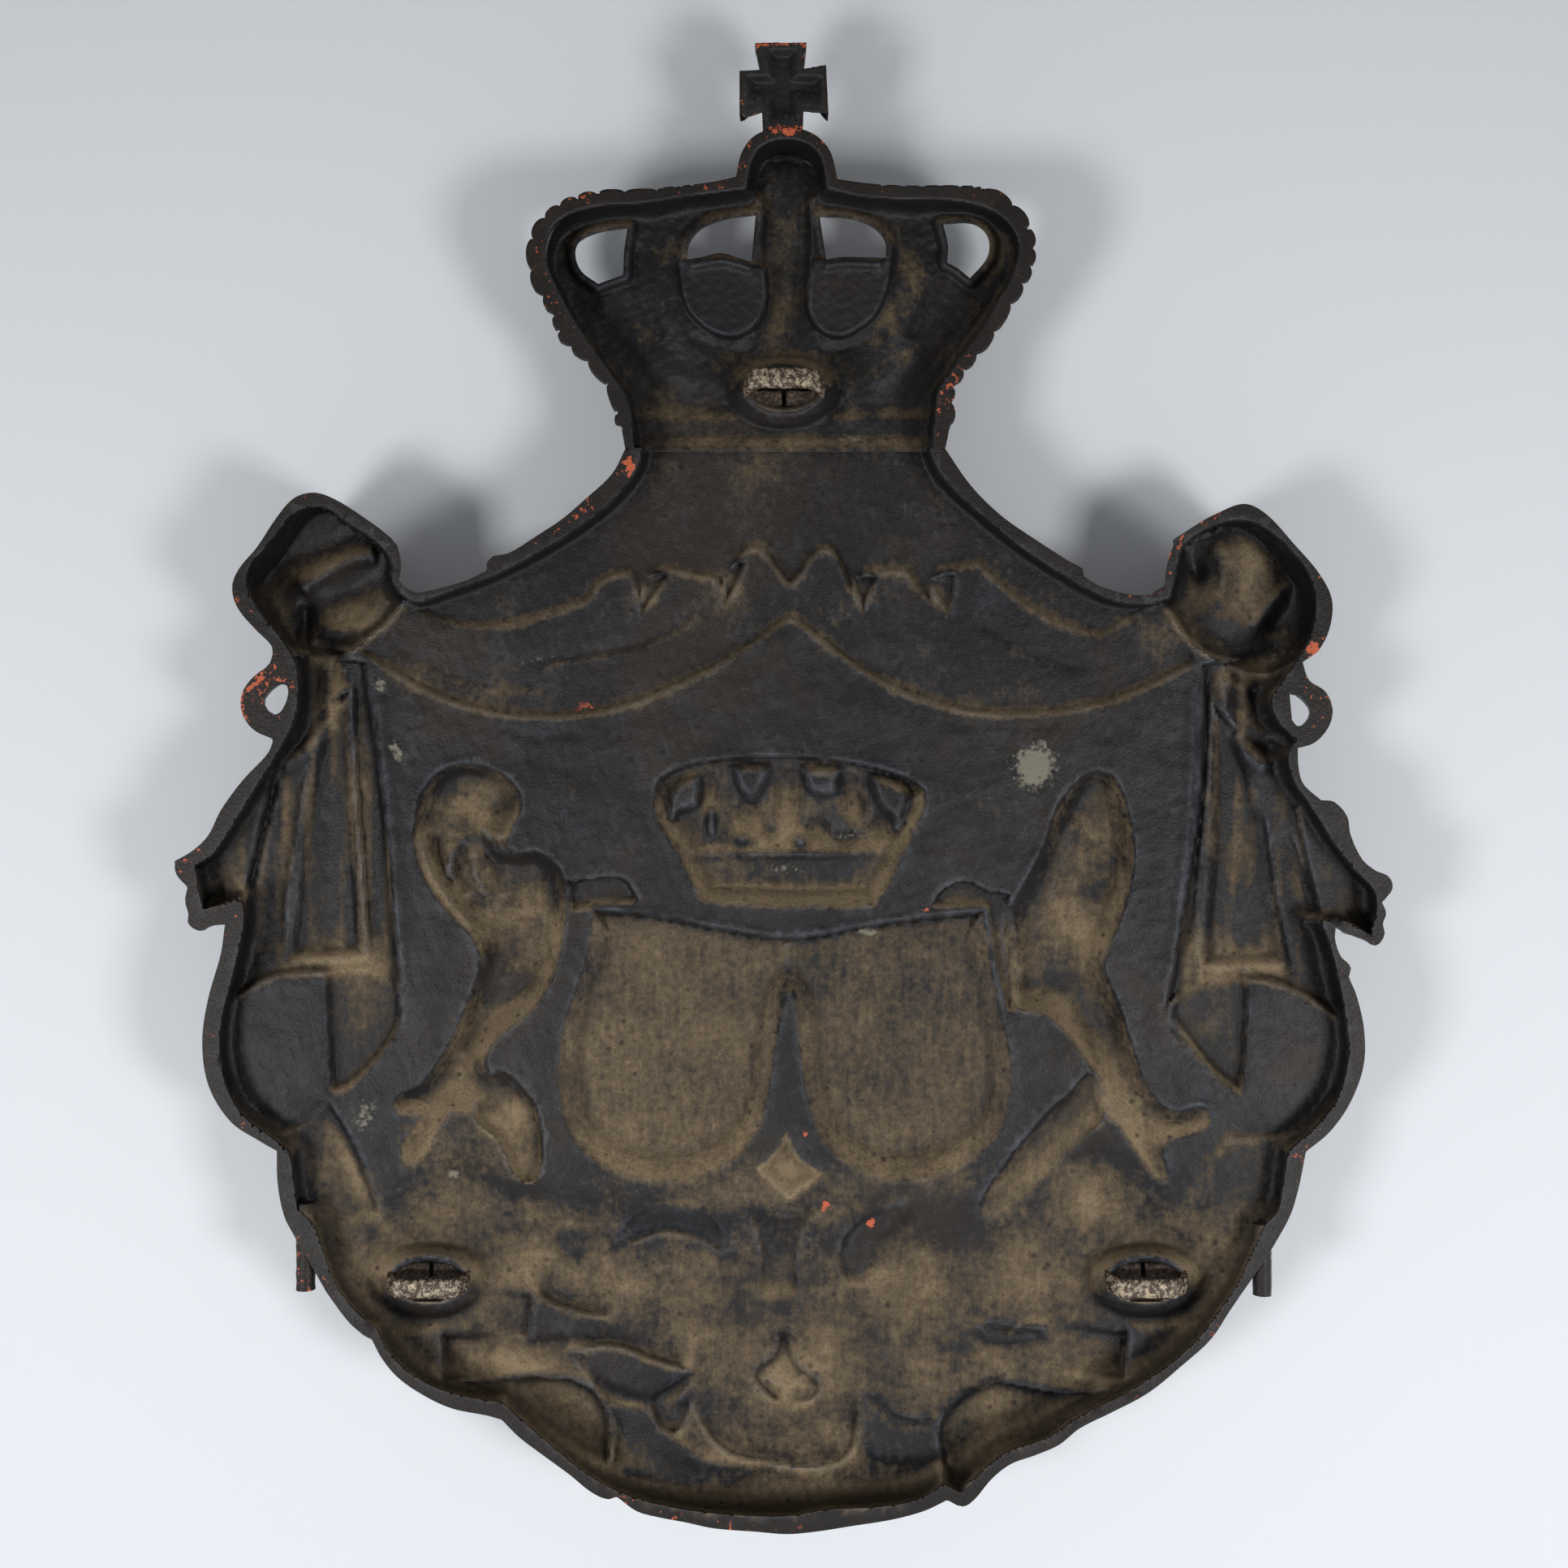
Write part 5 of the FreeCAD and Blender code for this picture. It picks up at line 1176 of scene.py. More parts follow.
WEBS_PX = {
    "left_web": [(842, 326, 1), (870, 322), (900, 325), (938, 334, 1), (938, 375), (925, 400),
                 (905, 410), (880, 405), (855, 385), (845, 360)],
    "right_web": [(1006, 324, 1), (1050, 322), (1092, 325, 1), (1090, 350), (1075, 385), (1050, 405),
                  (1030, 410), (1010, 400), (1000, 375), (1003, 345)],
}
ARCH_FLARE_PX = [
    (940, 205, 1), (995, 205, 1), (1000, 290), (997, 360), (1002, 400), (1018, 440), (1045, 472, 1),
    (966, 478), (890, 472, 1), (918, 440), (933, 400), (937, 360), (936, 290),
]
ORB_PX, ORB_RADIUS_PX = (968, 216), 46
print(len(WINDOWS_PX), "openings and", len(WEBS_PX), "webs")

# %% [markdown]
# The arches swell and are ribbed like the cloth, and a low lip runs along the top of each web.

# %% Lines and swellings of the crown
WEB_LIPS = [
    ([(848, 329), (866, 325), (888, 321), (910, 326), (928, 332)], -4, 6),
    ([(1014, 328), (1036, 325), (1062, 325), (1088, 327)], -4, 6),
]
CROWN_SWELLS = [
    (812, 290, 24, 60, 8, 5), (1128, 290, 24, 60, -8, 5), (760, 420, 40, 60, -30, 4),
    (1180, 420, 40, 60, 30, 4), (835, 400, 26, 70, -22, -5), (1105, 400, 26, 70, 22, -5),
    (965, 450, 40, 30, 0, -2), (890, 440, 34, 20, 0, 3), (1050, 440, 34, 20, 0, 3),
    (705, 370, 20, 40, -30, 3), (1235, 370, 20, 40, 30, 3),
]
ARCH_RIBS = [
    ([(778, 300), (786, 360), (815, 420)], 2.5, 9), ([(1158, 300), (1150, 360), (1120, 420)], 2.5, 9),
    ([(735, 365), (790, 430), (860, 478)], -2.0, 14),
    ([(1205, 365), (1140, 430), (1070, 478)], -2.0, 14),
    ([(845, 415), (905, 432), (960, 440)], 2.0, 10), ([(975, 440), (1030, 432), (1095, 410)], 2.0, 10),
]
print(len(ARCH_RIBS), "ribs on the arches")

# %% [markdown]
# A row of beads is a wave added to the distance from the outline. It stops at the orb and above the foot,
# where the real beads stop too.

# %% Regions of the crown
BEAD_PITCH_PX, BEAD_PROUD_PX = 29, 7
BEAD_WOBBLE, BEAD_DRIFT = 61, 0.3
BEADS_TOP_PX, BEADS_FOOT_PX, BEADS_SOFT_PX = 225, 530, 10


def beaded(sheet, points):
    """Distance inside an outline that swells by a row of half beads, except at the orb and the foot."""
    path = smooth_path(points)
    distance, _, along = nearest(sheet, path, REACH_PX, True)
    inward = np.where(inside_of(sheet, path), distance, -distance)
    length = np.linalg.norm(np.roll(path, -1, 0) - path, axis=1).sum()
    turn = np.mod(along * length / BEAD_PITCH_PX + BEAD_DRIFT * np.sin(BEAD_WOBBLE * along), 1)
    bulge = BEAD_PROUD_PX * np.sqrt(np.clip(1 - (2 * turn - 1) ** 2, 0, 1))
    below_orb = ease((sheet.py - BEADS_TOP_PX) / BEADS_SOFT_PX)
    return inward + bulge * below_orb * ease((BEADS_FOOT_PX - sheet.py) / BEADS_SOFT_PX)


def crown_regions(sheet):
    """Inward distances of the crown's outlines, by name."""
    regions = dict(outline=beaded(sheet, CROWN_PX), rim=depth_into(sheet, CROWN_INNER_PX),
                   arch=depth_into(sheet, ARCH_FLARE_PX))
    regions["window"] = any_of(sheet, WINDOWS_PX.values())
    regions["web"] = any_of(sheet, WEBS_PX.values())
    regions["orb"] = ORB_RADIUS_PX - np.hypot(sheet.px - ORB_PX[0], sheet.py - ORB_PX[1])
    return regions


print("beads", BEAD_PITCH_PX, "pixels apart")

# %% [markdown]
# The depths follow the same order as in the mantle: the broad floor, what is sunk into it, what stands
# proud, the boss of the upper eye and last the rim.

# %% Back of the crown
CROWN, ARCH, CIRCLET, SILL = 33, 41, 28, 22
WINDOW_LIP, WEB = 28, 25
CROWN_WAVES = ((0.3, 60, 11),)
CIRCLET_PX, CIRCLET_SOFT_PX = 498, 24
SILL_TOP_PX, SILL_FOOT_PX = 538, 553
ARCH_FADE_PX, ARCH_FADE_LONG_PX = 350, 100
ARCH_DRAFT, ORB_DRAFT, CROWN_RIM_DRAFT = 22, 20, 7
LIP_WIDE_PX, LIP_SLOPE_PX = 4, 11
WEB_OUT_PX, WEB_SOFT_PX = 9, 8
UPPER_BOSS_DROP_PX = 5
CROWN_DEEPEST = ARCH - 0.3
CROWN_SKIN, CROWN_SKIN_WAVE = 0.2, (16, 12)


def crown_depth(sheet, region):
    """Depth of the back in millimetres: circlet, sill, troughs, lips of the openings, webs, eye and rim."""
    depth = rough(sheet, CROWN, CROWN_WAVES) + swell(sheet, CROWN_SWELLS) + ribs(sheet, ARCH_RIBS)
    below = ease((sheet.py - CIRCLET_PX) / CIRCLET_SOFT_PX)
    depth = depth + (CIRCLET - depth) * below
    slope = np.clip((sheet.py - SILL_TOP_PX) / (SILL_FOOT_PX - SILL_TOP_PX), 0, 1)
    depth = depth + (SILL - depth) * slope
    arch = ARCH + (CROWN - ARCH) * ease((sheet.py - ARCH_FADE_PX) / ARCH_FADE_LONG_PX)
    depth = sink(sheet, depth, region["arch"], arch, ARCH_DRAFT, scoop)
    depth = sink(sheet, depth, region["orb"], ARCH, ORB_DRAFT, scoop)
    around = ease((region["window"] + LIP_WIDE_PX + LIP_SLOPE_PX) / LIP_SLOPE_PX)
    depth = depth + (WINDOW_LIP - depth) * around
    plate = ease((region["web"] + WEB_OUT_PX) / WEB_SOFT_PX)
    depth = depth + (WEB - depth) * plate + ribs(sheet, WEB_LIPS)
    depth = boss(sheet, depth, EYES_PX["upper_eye"], UPPER_BOSS_DROP_PX)
    depth = np.minimum(depth, CROWN_DEEPEST) * scoop(wall_share(sheet, region["rim"], depth, CROWN_RIM_DRAFT))
    inside = ease((region["rim"] + SKIN_OUT_PX) / SKIN_SOFT_PX)
    return depth + CROWN_SKIN * uneven(sheet, *CROWN_SKIN_WAVE) * inside


print("crown", CROWN, "mm deep,", ARCH, "in the middle arch")

# %% [markdown]
# The openings are cut through, so the crown's solid part is what lies inside its outline and outside them.

# %% Mesh of the crown
CROWN_STEP_PX = 2
CROWN_LEFT_PX, CROWN_RIGHT_PX, CROWN_TOP_PX = 645, 1281, 147
WEB_EDGE_PX = 2
crown = Sheet(CROWN_LEFT_PX, CROWN_RIGHT_PX, CROWN_TOP_PX, SEAM_PX, CROWN_STEP_PX)
even = crown_regions(crown)
crown_solid = np.minimum(even["outline"], -even["window"])
snap(crown, [even["rim"], even["web"] + WEB_EDGE_PX])
crown_region = crown_regions(crown)
crown_back = crown_depth(crown, crown_region)
crown_front = ball_over(crown, np.where(crown_region["outline"] > 0, crown_back, 0), WALL)
crown_parts = shell(crown, crown_back, crown_front, crown_solid, even["outline"], SEAM_PX)
crown_obj = build("crown_skin", *crown_parts)
thin(crown_obj, MOST_TRIANGLES, len(crown_parts[0]) // 2)
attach(crown_obj, "root")
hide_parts("crown_casting")
print("crown", len(crown_obj.data.polygons), "faces")

# %% [markdown]
# ## The cross
# A small cross with a shallow hollow in its back stands on the orb. Its foot is cut to the orb's curve.

# %% Cross
CROSS_PX = [
    (930, 52, 1), (994, 51, 1), (990, 84, 1), (1018, 79, 1), (1021, 139, 1), (990, 137, 1),
    (989, 158, 1), (940, 158, 1), (939, 138, 1), (918, 145, 1), (911, 139, 1), (911, 86, 1),
    (937, 85, 1),
]
CROSS_HOLLOW_PX = [
    (950, 64, 1), (979, 64, 1), (979, 96, 1), (1011, 96, 1), (1011, 119, 1), (979, 119, 1),
    (979, 143, 1), (950, 143, 1), (950, 119, 1), (924, 119, 1), (924, 96, 1), (950, 96, 1),
]
CROSS_BACK, CROSS_FRONT, CROSS_FLOOR = 1, 19, 6
CROSS_FOOT_PX, LOWERED_FOOT_PX = 158, 170
CROSS_LEFT_PX, CROSS_RIGHT_PX, CROSS_TOP_PX, CROSS_BOTTOM_PX = 905, 1028, 45, 175
CROSS_STEP_PX = 1.5
CROSS_GAP_PX = 0.4
HOLLOW_OUT_PX, HOLLOW_SOFT_PX = 6, 15
CROSS_WAVES = ((0.15, 14, 21),)
BACK_ROUND, BACK_ROUND_PX = 0.8, 3
FRONT_ROUND, FRONT_ROUND_PX = 2.5, 9
CROSS_FADE_PX = 14
cross = Sheet(CROSS_LEFT_PX, CROSS_RIGHT_PX, CROSS_TOP_PX, CROSS_BOTTOM_PX, CROSS_STEP_PX)
lowered = [(x, LOWERED_FOOT_PX if y == CROSS_FOOT_PX else y, 1) for x, y, _ in CROSS_PX]
cross_edge = np.minimum(depth_into(cross, lowered), -depth_into(cross, CROWN_PX) - CROSS_GAP_PX)
hollowed = ease((depth_into(cross, CROSS_HOLLOW_PX) + HOLLOW_OUT_PX) / HOLLOW_SOFT_PX)
cross_back = rough(cross, CROSS_BACK + (CROSS_FLOOR - CROSS_BACK) * hollowed, CROSS_WAVES)
cross_back += BACK_ROUND * (1 - scoop(cross_edge / BACK_ROUND_PX))
cross_front = CROSS_FRONT - FRONT_ROUND * (1 - scoop(cross_edge / FRONT_ROUND_PX))
cross_parts = shell(cross, cross_back, cross_front, cross_edge, cross_edge, back_fade_px=CROSS_FADE_PX)
cross_obj = build("cross_skin", *cross_parts)
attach(cross_obj, "root")
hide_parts("crown_cross")
print("cross", len(cross_obj.data.polygons), "faces")

# %% [markdown]
# ## The hanging eyes
# Each eye is a flat strap bent into a long loop, worn by its hook. A rounded strap section is carried along
# the loop, and the ends meet inside the boss.

# %% Loop of a strap
EYE_LONG, EYE_DEEP = 52 * MM, 26 * MM
STRAP_WIDE, STRAP_THICK = 12 * MM, 5 * MM
GAP_SHARE = 0.012
ALONG, ROUND = 120, 20
SOFTEN = 0.65
STRAP_WEAR, EDGE_WEAR = (0.02, 0.05), 0.5
STRAP_WAVES = range(2, 9)


def loop_line(s, straight, radius):
    """The loop's middle line at a run s: a straight, a half circle, the straight back and a half circle."""
    bend = np.pi * radius
    stages = [s < straight, s < straight + bend, s < 2 * straight + bend]
    first, second = (s - straight) / radius, (s - 2 * straight - bend) / radius
    x = np.select(stages, [s - straight / 2, straight / 2 + radius * np.sin(first),
                           straight / 2 - (s - straight - bend)], -straight / 2 - radius * np.sin(second))
    y = np.select(stages, [radius + 0 * s, radius * np.cos(first), -radius + 0 * s], -radius * np.cos(second))
    return x, y


def squared(wave):
    """A sine or cosine pushed towards -1 and 1: its size to a power below one, with its sign kept."""
    return np.sign(wave) * np.abs(wave) ** SOFTEN


def strap_loop(name, centre, tilt, seed):
    """A flattened oval section carried along the loop, tilted and slightly worn, with both ends closed."""
    radius = (EYE_DEEP - STRAP_THICK) / 2
    straight = EYE_LONG - EYE_DEEP
    length = 2 * straight + 2 * np.pi * radius
    s = (GAP_SHARE + (1 - 2 * GAP_SHARE) * np.linspace(0, 1, ALONG)) * length + straight / 2
    s = np.mod(s, length)
    x, y = loop_line(s, straight, radius)
    way = np.stack([np.gradient(x), np.gradient(y)], -1)
    way /= np.linalg.norm(way, axis=1, keepdims=True)
    out = np.stack([-way[:, 1], way[:, 0]], -1)
    turn = np.linspace(0, 2 * np.pi, ROUND, endpoint=False)
    flat, tall = squared(np.cos(turn)), squared(np.sin(turn))
    random = np.random.default_rng(seed)
    wear = sum(random.uniform(*STRAP_WEAR)
               * np.sin(k * s / length * 2 * np.pi + random.uniform(*ANY_PHASE)) for k in STRAP_WAVES)
    thick = STRAP_THICK / 2 * (1 - np.abs(wear))
    px = x[:, None] + out[:, :1] * thick[:, None] * flat
    py = y[:, None] + out[:, 1:] * thick[:, None] * flat
    wide = STRAP_WIDE / 2 * tall[None] * (1 - EDGE_WEAR * np.abs(wear))[:, None]
    pz = wide - np.tan(np.radians(tilt)) * py
    points = np.stack([px + centre[0], py + centre[1], pz + centre[2]], -1).reshape(-1, 3)
    half = np.arange(ROUND // 2 - 1)
    start = np.stack([half, half + 1, ROUND - 2 - half, ROUND - 1 - half], -1)
    last = (ALONG - 1) * ROUND
    faces = np.concatenate([ring_faces(ALONG, ROUND), start[:, ::-1], start + last])
    return build(name, points, faces)


# %% [markdown]
# The upper eye leans one way and the lower two the other, as the photograph shows them. Each sits in the
# middle of its solid, the upper one a little higher.

# %% Strap eyes
EYE_TILTS = {"upper_eye": 24, "lower_left_eye": -12, "lower_right_eye": -12}
EYE_LIFTS = {"upper_eye": 3.0 * MM, "lower_left_eye": 0, "lower_right_eye": 0}
eye_objs = []
for seed, (name, tilt) in enumerate(EYE_TILTS.items()):
    low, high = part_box(name)
    middle = (np.array(low) + np.array(high)) / 2 + np.array([0, 0, EYE_LIFTS[name]])
    eye = strap_loop(name + "_strap", middle, tilt, seed)
    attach(eye, "root")
    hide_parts(name)
    eye_objs.append(eye)
    print(name, len(eye.data.polygons), "faces")

# %% [markdown]
# ## Where the finish has aged, and where shade is painted
# The paint has worn and dust has settled by simple rules: dust lies on whatever faces up as the casting
# hangs and on the floors of the hollows, and lips are rubbed and carry a painted highlight. Creases, deep
# hollows and walls that face down get painted shade. Each rule is a field on the same grid, stored on the
# points for the material to read. Patches that follow no rule are placed one by one.

# %% Patches placed one by one
PALE_PX = [
    (1275, 944, 24, 27, 0, 1.6), (1069, 1149, 15, 6, 0, 1.2), (488, 925, 8, 16, -30, 1.1),
    (560, 1447, 7, 6, 0, 1.5), (468, 845, 10, 10, 0, 0.9), (450, 1372, 14, 20, 20, 0.9),
    (966, 1070, 40, 10, 0, 0.6), (1050, 1030, 26, 14, 0, 0.5), (950, 1040, 22, 10, 0, 0.45),
    (1050, 541, 20, 5, 0, 0.9),
]
CHIP_PX = [
    (725, 870, 34, 11, -10, 0.75), (775, 575, 9, 16, 40, 0.8), (1016, 1487, 9, 12, 20, 1.1),
    (1072, 1507, 8, 12, 30, 1.2), (304, 868, 7, 14, 0, 0.5), (1140, 1120, 8, 5, -30, 1.3),
    (992, 1396, 5, 8, 0, 1.1), (1618, 800, 8, 8, 0, 0.8), (960, 56, 32, 6, 0, 0.3),
    (965, 160, 28, 6, 0, 0.3), (920, 130, 8, 16, 0, 0.4), (655, 1010, 8, 34, 15, 0.56),
    (545, 1235, 22, 14, 0, 0.54), (530, 1272, 10, 12, 0, 0.58), (747, 1010, 6, 24, 15, 0.56),
    (1148, 1018, 8, 8, 0, 0.58), (1134, 1075, 8, 12, 0, 0.58), (775, 925, 14, 6, 0, 0.5),
]
DUST_PX = [
    (560, 1455, 90, 50, 0, 0.18), (1350, 1450, 90, 60, 0, 0.12), (790, 1610, 70, 40, 0, 0.15),
    (966, 1690, 40, 40, 0, 0.35), (965, 1475, 220, 36, 0, 0.22), (640, 1690, 90, 24, 20, 0.3),
    (960, 1835, 200, 20, 0, 0.3), (640, 1520, 60, 40, 0, 0.12), (1120, 1590, 70, 40, 0, 0.08),
    (1290, 1590, 60, 30, 0, 0.1), (798, 738, 12, 18, -25, 0.4), (900, 722, 12, 18, -20, 0.5),
    (1064, 732, 10, 16, 0, 0.35), (1160, 736, 12, 16, 20, 0.35), (440, 1190, 60, 14, 0, 0.5),
    (1540, 1185, 50, 20, 0, 0.5), (1535, 725, 60, 62, 0, 0.7), (440, 765, 40, 20, 0, 0.5),
    (405, 700, 40, 14, -15, 0.4), (440, 1000, 14, 180, -4, 0.25), (1480, 1000, 14, 180, 4, 0.2),
    (965, 340, 24, 110, 0, 0.15), (925, 1006, 14, 12, 0, 0.4), (968, 990, 12, 36, 0, 0.4),
    (1008, 1022, 14, 12, 0, 0.35), (1052, 990, 10, 30, -8, 0.4), (1082, 1022, 12, 12, 0, 0.35),
    (874, 980, 8, 20, 0, 0.3), (442, 1450, 12, 60, -28, 0.75), (500, 1357, 16, 10, 0, 0.3),
    (510, 1402, 16, 24, 15, 0.4), (545, 1330, 24, 40, 25, 0.15), (590, 1425, 50, 40, 0, 0.2),
    (430, 1560, 50, 70, 0, 0.3), (400, 1440, 36, 60, 0, 0.25), (1520, 1540, 50, 70, 0, 0.25),
    (1500, 1420, 12, 50, 28, 0.3),
]
SCRATCHES = [([(565, 845), (640, 818), (690, 808)], 0.5, 3), ([(700, 806), (780, 792)], 0.4, 3)]
print(len(PALE_PX) + len(CHIP_PX) + len(DUST_PX), "patches")

# %% [markdown]
# The rules compare each depth with a blurred one: a point deeper than its surroundings lies in a crease
# and gets painted shade, and one that is shallower is a lip, rubbed and with a painted highlight. Walls that
# face down get painted shade too. The front of the casting gets none of these marks.

# %% Fields of wear and painted light
FINE_PX, BROAD_BLUR_PX, BLURS = 6, 21, 3
FINE_MM, BROAD_MM, BROAD_MOST = 2.5, 16, 0.3
UNDER_SHADE, UNDER_START = 0.5, 0.25
LAND_OUT_PX, LAND_SOFT_PX = 3, 6
UNDER_DUST, DUST_LEAST, DUST_MOST = 0.6, -0.3, 1.2
LIP_MM, LIP_START = 0.7, 0.1
RIM_RUB_AND_HIGHLIGHT, RIM_RUB_AND_HIGHLIGHT_AT_PX, RIM_RUB_AND_HIGHLIGHT_PX = 0.5, 1, 2
MIDWAY = 0.5
LEDGES = 1.2


def weather_and_shading(obj, sheet, back, front, rim, floors, blotch, ledges=LEDGES, creases=1.0):
    """Put seven marks on an object's points, from slopes and hollows of its back and from patches: wear,
    dust, painted shade and painted highlights.
    """
    mm_px = ACROSS / MM
    across, down = sheet.slope(blur(back, 1))
    up_face = -down / mm_px / np.sqrt(1 + (across**2 + down**2) / mm_px**2)
    line = back - blur(back, 1)
    fine = back - blur(back, BLURS, max(int(FINE_PX / sheet.step), 1))
    broad = back - blur(back, BLURS, max(int(BROAD_BLUR_PX / sheet.step), 1))
    land = 1 - ease((rim + LAND_OUT_PX) / LAND_SOFT_PX)
    # Painted shade: darker in fine creases, in broad hollows and on walls that face down.
    shade = np.clip(fine / FINE_MM, 0, 1) + np.clip(broad / BROAD_MM, 0, BROAD_MOST)
    shade = shade + UNDER_SHADE * np.clip(-up_face - UNDER_START, 0, 1)
    dust = ledges * np.clip(blur(up_face, 1), 0, 1) + UNDER_DUST * creases * np.clip(up_face, -1, 0)
    dust = dust + floors + swell(sheet, DUST_PX)
    # A thin line along the rim's inner edge: rubbed paint with a painted highlight.
    rubbed_and_highlit = RIM_RUB_AND_HIGHLIGHT * np.exp(-((rim + RIM_RUB_AND_HIGHLIGHT_AT_PX) / RIM_RUB_AND_HIGHLIGHT_PX) ** 2)
    # In these fields, shade is painted shade and edge is rubbed paint on lips with a painted highlight.
    fields = dict(
        dust=np.clip(dust, DUST_LEAST, DUST_MOST) * (1 - land),
        shade=np.clip(shade, 0, 1) * creases * (1 - land),
        edge=np.clip(-line / LIP_MM - LIP_START, 0, 1) * (1 - land) + rubbed_and_highlit,
        rim=land,
        chip=swell(sheet, CHIP_PX),
        pale=swell(sheet, PALE_PX) + ribs(sheet, SCRATCHES),
        blotch=blotch + 0 * sheet.px,
    )
    px, py, depth = seen_at(corners_of(obj))
    behind = depth / MM < MIDWAY * (sheet.sample(back, px, py) + sheet.sample(front, px, py))
    for name, field in fields.items():
        values = np.where(behind, sheet.sample(field, px, py), 0)
        attribute = obj.data.attributes.new(name, "FLOAT", "POINT")
        attribute.data.foreach_set("value", values.astype(np.float32))


# %% [markdown]
# Every floor holds its own share of dust, and running water has drawn it out downwards on the curtains.

# %% Dust on floors
FLOOR_SOFT_PX = 10
STREAK_SHARE = 0.1


def floor_dust(amounts, regions, soft=FLOOR_SOFT_PX):
    """Largest dust of the floors that a node lies in: each region's amount, eased in from its edge."""
    return np.maximum.reduce([amount * ease(regions[name] / soft) for name, amount in amounts.items()])


def streaks(sheet, wavelength, seed):
    """Unevenness drawn out downwards, as a brush or running water leaves it."""
    long = Sheet(sheet.cols[0], sheet.cols[-1], sheet.rows[0], sheet.rows[-1], sheet.step)
    long.px, long.py = sheet.px, sheet.py * STREAK_SHARE
    return uneven(long, wavelength, seed)


def on_pair(name, soft):
    """Share of a left and a right region of one name that a node lies in, eased in from the edge."""
    return np.maximum(ease(region[f"left_{name}"] / soft), ease(region[f"right_{name}"] / soft))


# %% [markdown]
# On the mantle the lozenge, the shields and the animals are the dustiest, the ground less so towards its
# edge, and islands and small leaves stay dark. The shields are smooth, so they hold fewer blotches.

# %% Wear of the mantle
MANTLE_DUST = dict(left_supporter=0.5, right_supporter=0.5, left_shield=0.58, right_shield=0.48, coronet=0.42,
                   lozenge=0.85, left_leaf=0.35, right_leaf=0.35, left_leg=0.5, right_leg=0.5, left_arm=0.2,
                   right_arm=0.35, left_panel=0.24, right_panel=0.3, left_fold=0.15, right_fold=0.1,
                   drape=0.16, left_curtain=0.16, right_curtain=0.14)
BLOTCHES = dict(left_supporter=1.4, right_supporter=1.4, base=0.7, coronet=0.8)
SHIELD_PAIR = dict(left_shield=1, right_shield=1)
# Regions where the painted shade in creases is lighter.
LIGHTER_CREASE_SHADE = dict(coronet=1, lozenge=1, base=0.1, left_supporter=0.8, right_supporter=0.8, left_leg=0.8,
                    right_leg=0.8, left_shield=0.7, right_shield=0.7)
DUST_SOFT_PX, MARK_SOFT_PX, CLOTH_SOFT_PX, PLATE_SOFT_PX = 4, 3, 8, 30
GROUND_DUST, GROUND_OUT_PX, GROUND_SOFT_PX = 0.34, 90, 140
LOW_DUST, LOW_PX, LOW_SOFT_PX = 0.16, 1250, 300
ISLAND_LOSS, PROUD_LOSS, LOSS_OUT_PX, ISLAND_FADE_PX, PROUD_FADE_PX = 0.3, 0.5, 2, 8, 6
CLOTH_DUST, CLOTH_STREAK, CLOTH_WAVE = 0.14, 0.22, (24, 31)
PLATE_STREAK, PLATE_WAVE = 0.06, (9, 32)
CLOUD_DUST, CLOUD_WAVE, PLATE_CALM = 0.1, (120, 33), 0.7
BLOTCH_BASE, BLOTCH_GAIN, SHIELD_CALM = 0.6, 0.9, 0.5
SHIELD_LEDGE, CREASE_SHADE_LOSS = 0.95, 0.6
mantle_floors = floor_dust(MANTLE_DUST, region, soft=DUST_SOFT_PX)
ground_floor = GROUND_DUST * ease((region["base"] + GROUND_OUT_PX) / GROUND_SOFT_PX)
mantle_floors = np.maximum(mantle_floors, ground_floor)
mantle_floors += LOW_DUST * ease((mantle.py - LOW_PX) / LOW_SOFT_PX)
island_loss = ISLAND_LOSS * ease((region["islands"] + LOSS_OUT_PX) / ISLAND_FADE_PX)
mantle_floors -= island_loss + PROUD_LOSS * ease((region["proud"] + LOSS_OUT_PX) / PROUD_FADE_PX)
cloth = on_pair("curtain", CLOTH_SOFT_PX)
plates = on_pair("shield", PLATE_SOFT_PX)
hung = cloth * (CLOTH_DUST + CLOTH_STREAK * streaks(mantle, *CLOTH_WAVE))
mantle_floors += hung + PLATE_STREAK * plates * streaks(mantle, *PLATE_WAVE)
mantle_floors += CLOUD_DUST * uneven(mantle, *CLOUD_WAVE) * (1 - PLATE_CALM * plates)
mantle_blotch = BLOTCH_BASE + BLOTCH_GAIN * floor_dust(BLOTCHES, region)
mantle_blotch -= SHIELD_CALM * floor_dust(SHIELD_PAIR, region)
mantle_ledges = LEDGES - SHIELD_LEDGE * floor_dust(SHIELD_PAIR, region, soft=MARK_SOFT_PX)
# The painted shade in creases is weakened in those regions.
mantle_creases = 1 - CREASE_SHADE_LOSS * floor_dust(LIGHTER_CREASE_SHADE, region, soft=MARK_SOFT_PX)
weather_and_shading(mantle_obj, mantle, mantle_back, mantle_front, region["rim"], mantle_floors, mantle_blotch,
        mantle_ledges, mantle_creases)
print("wear fields on", len(mantle_obj.data.attributes), "attributes")

# %% [markdown]
# The crown is dusty in its arches and black on its webs, and the cross is cleaner than both.

# %% Wear of the crown and the cross
CROWN_DUST = dict(arch=0.22, rim=0.15)
WEB_LOSS, CROWN_CLOUD, CROWN_CLOUD_WAVE = 0.5, 0.1, (70, 34)
CROWN_PATCHES = [(1226, 320, 20, 60, 20, 0.45), (1090, 400, 30, 40, 20, 0.3)]
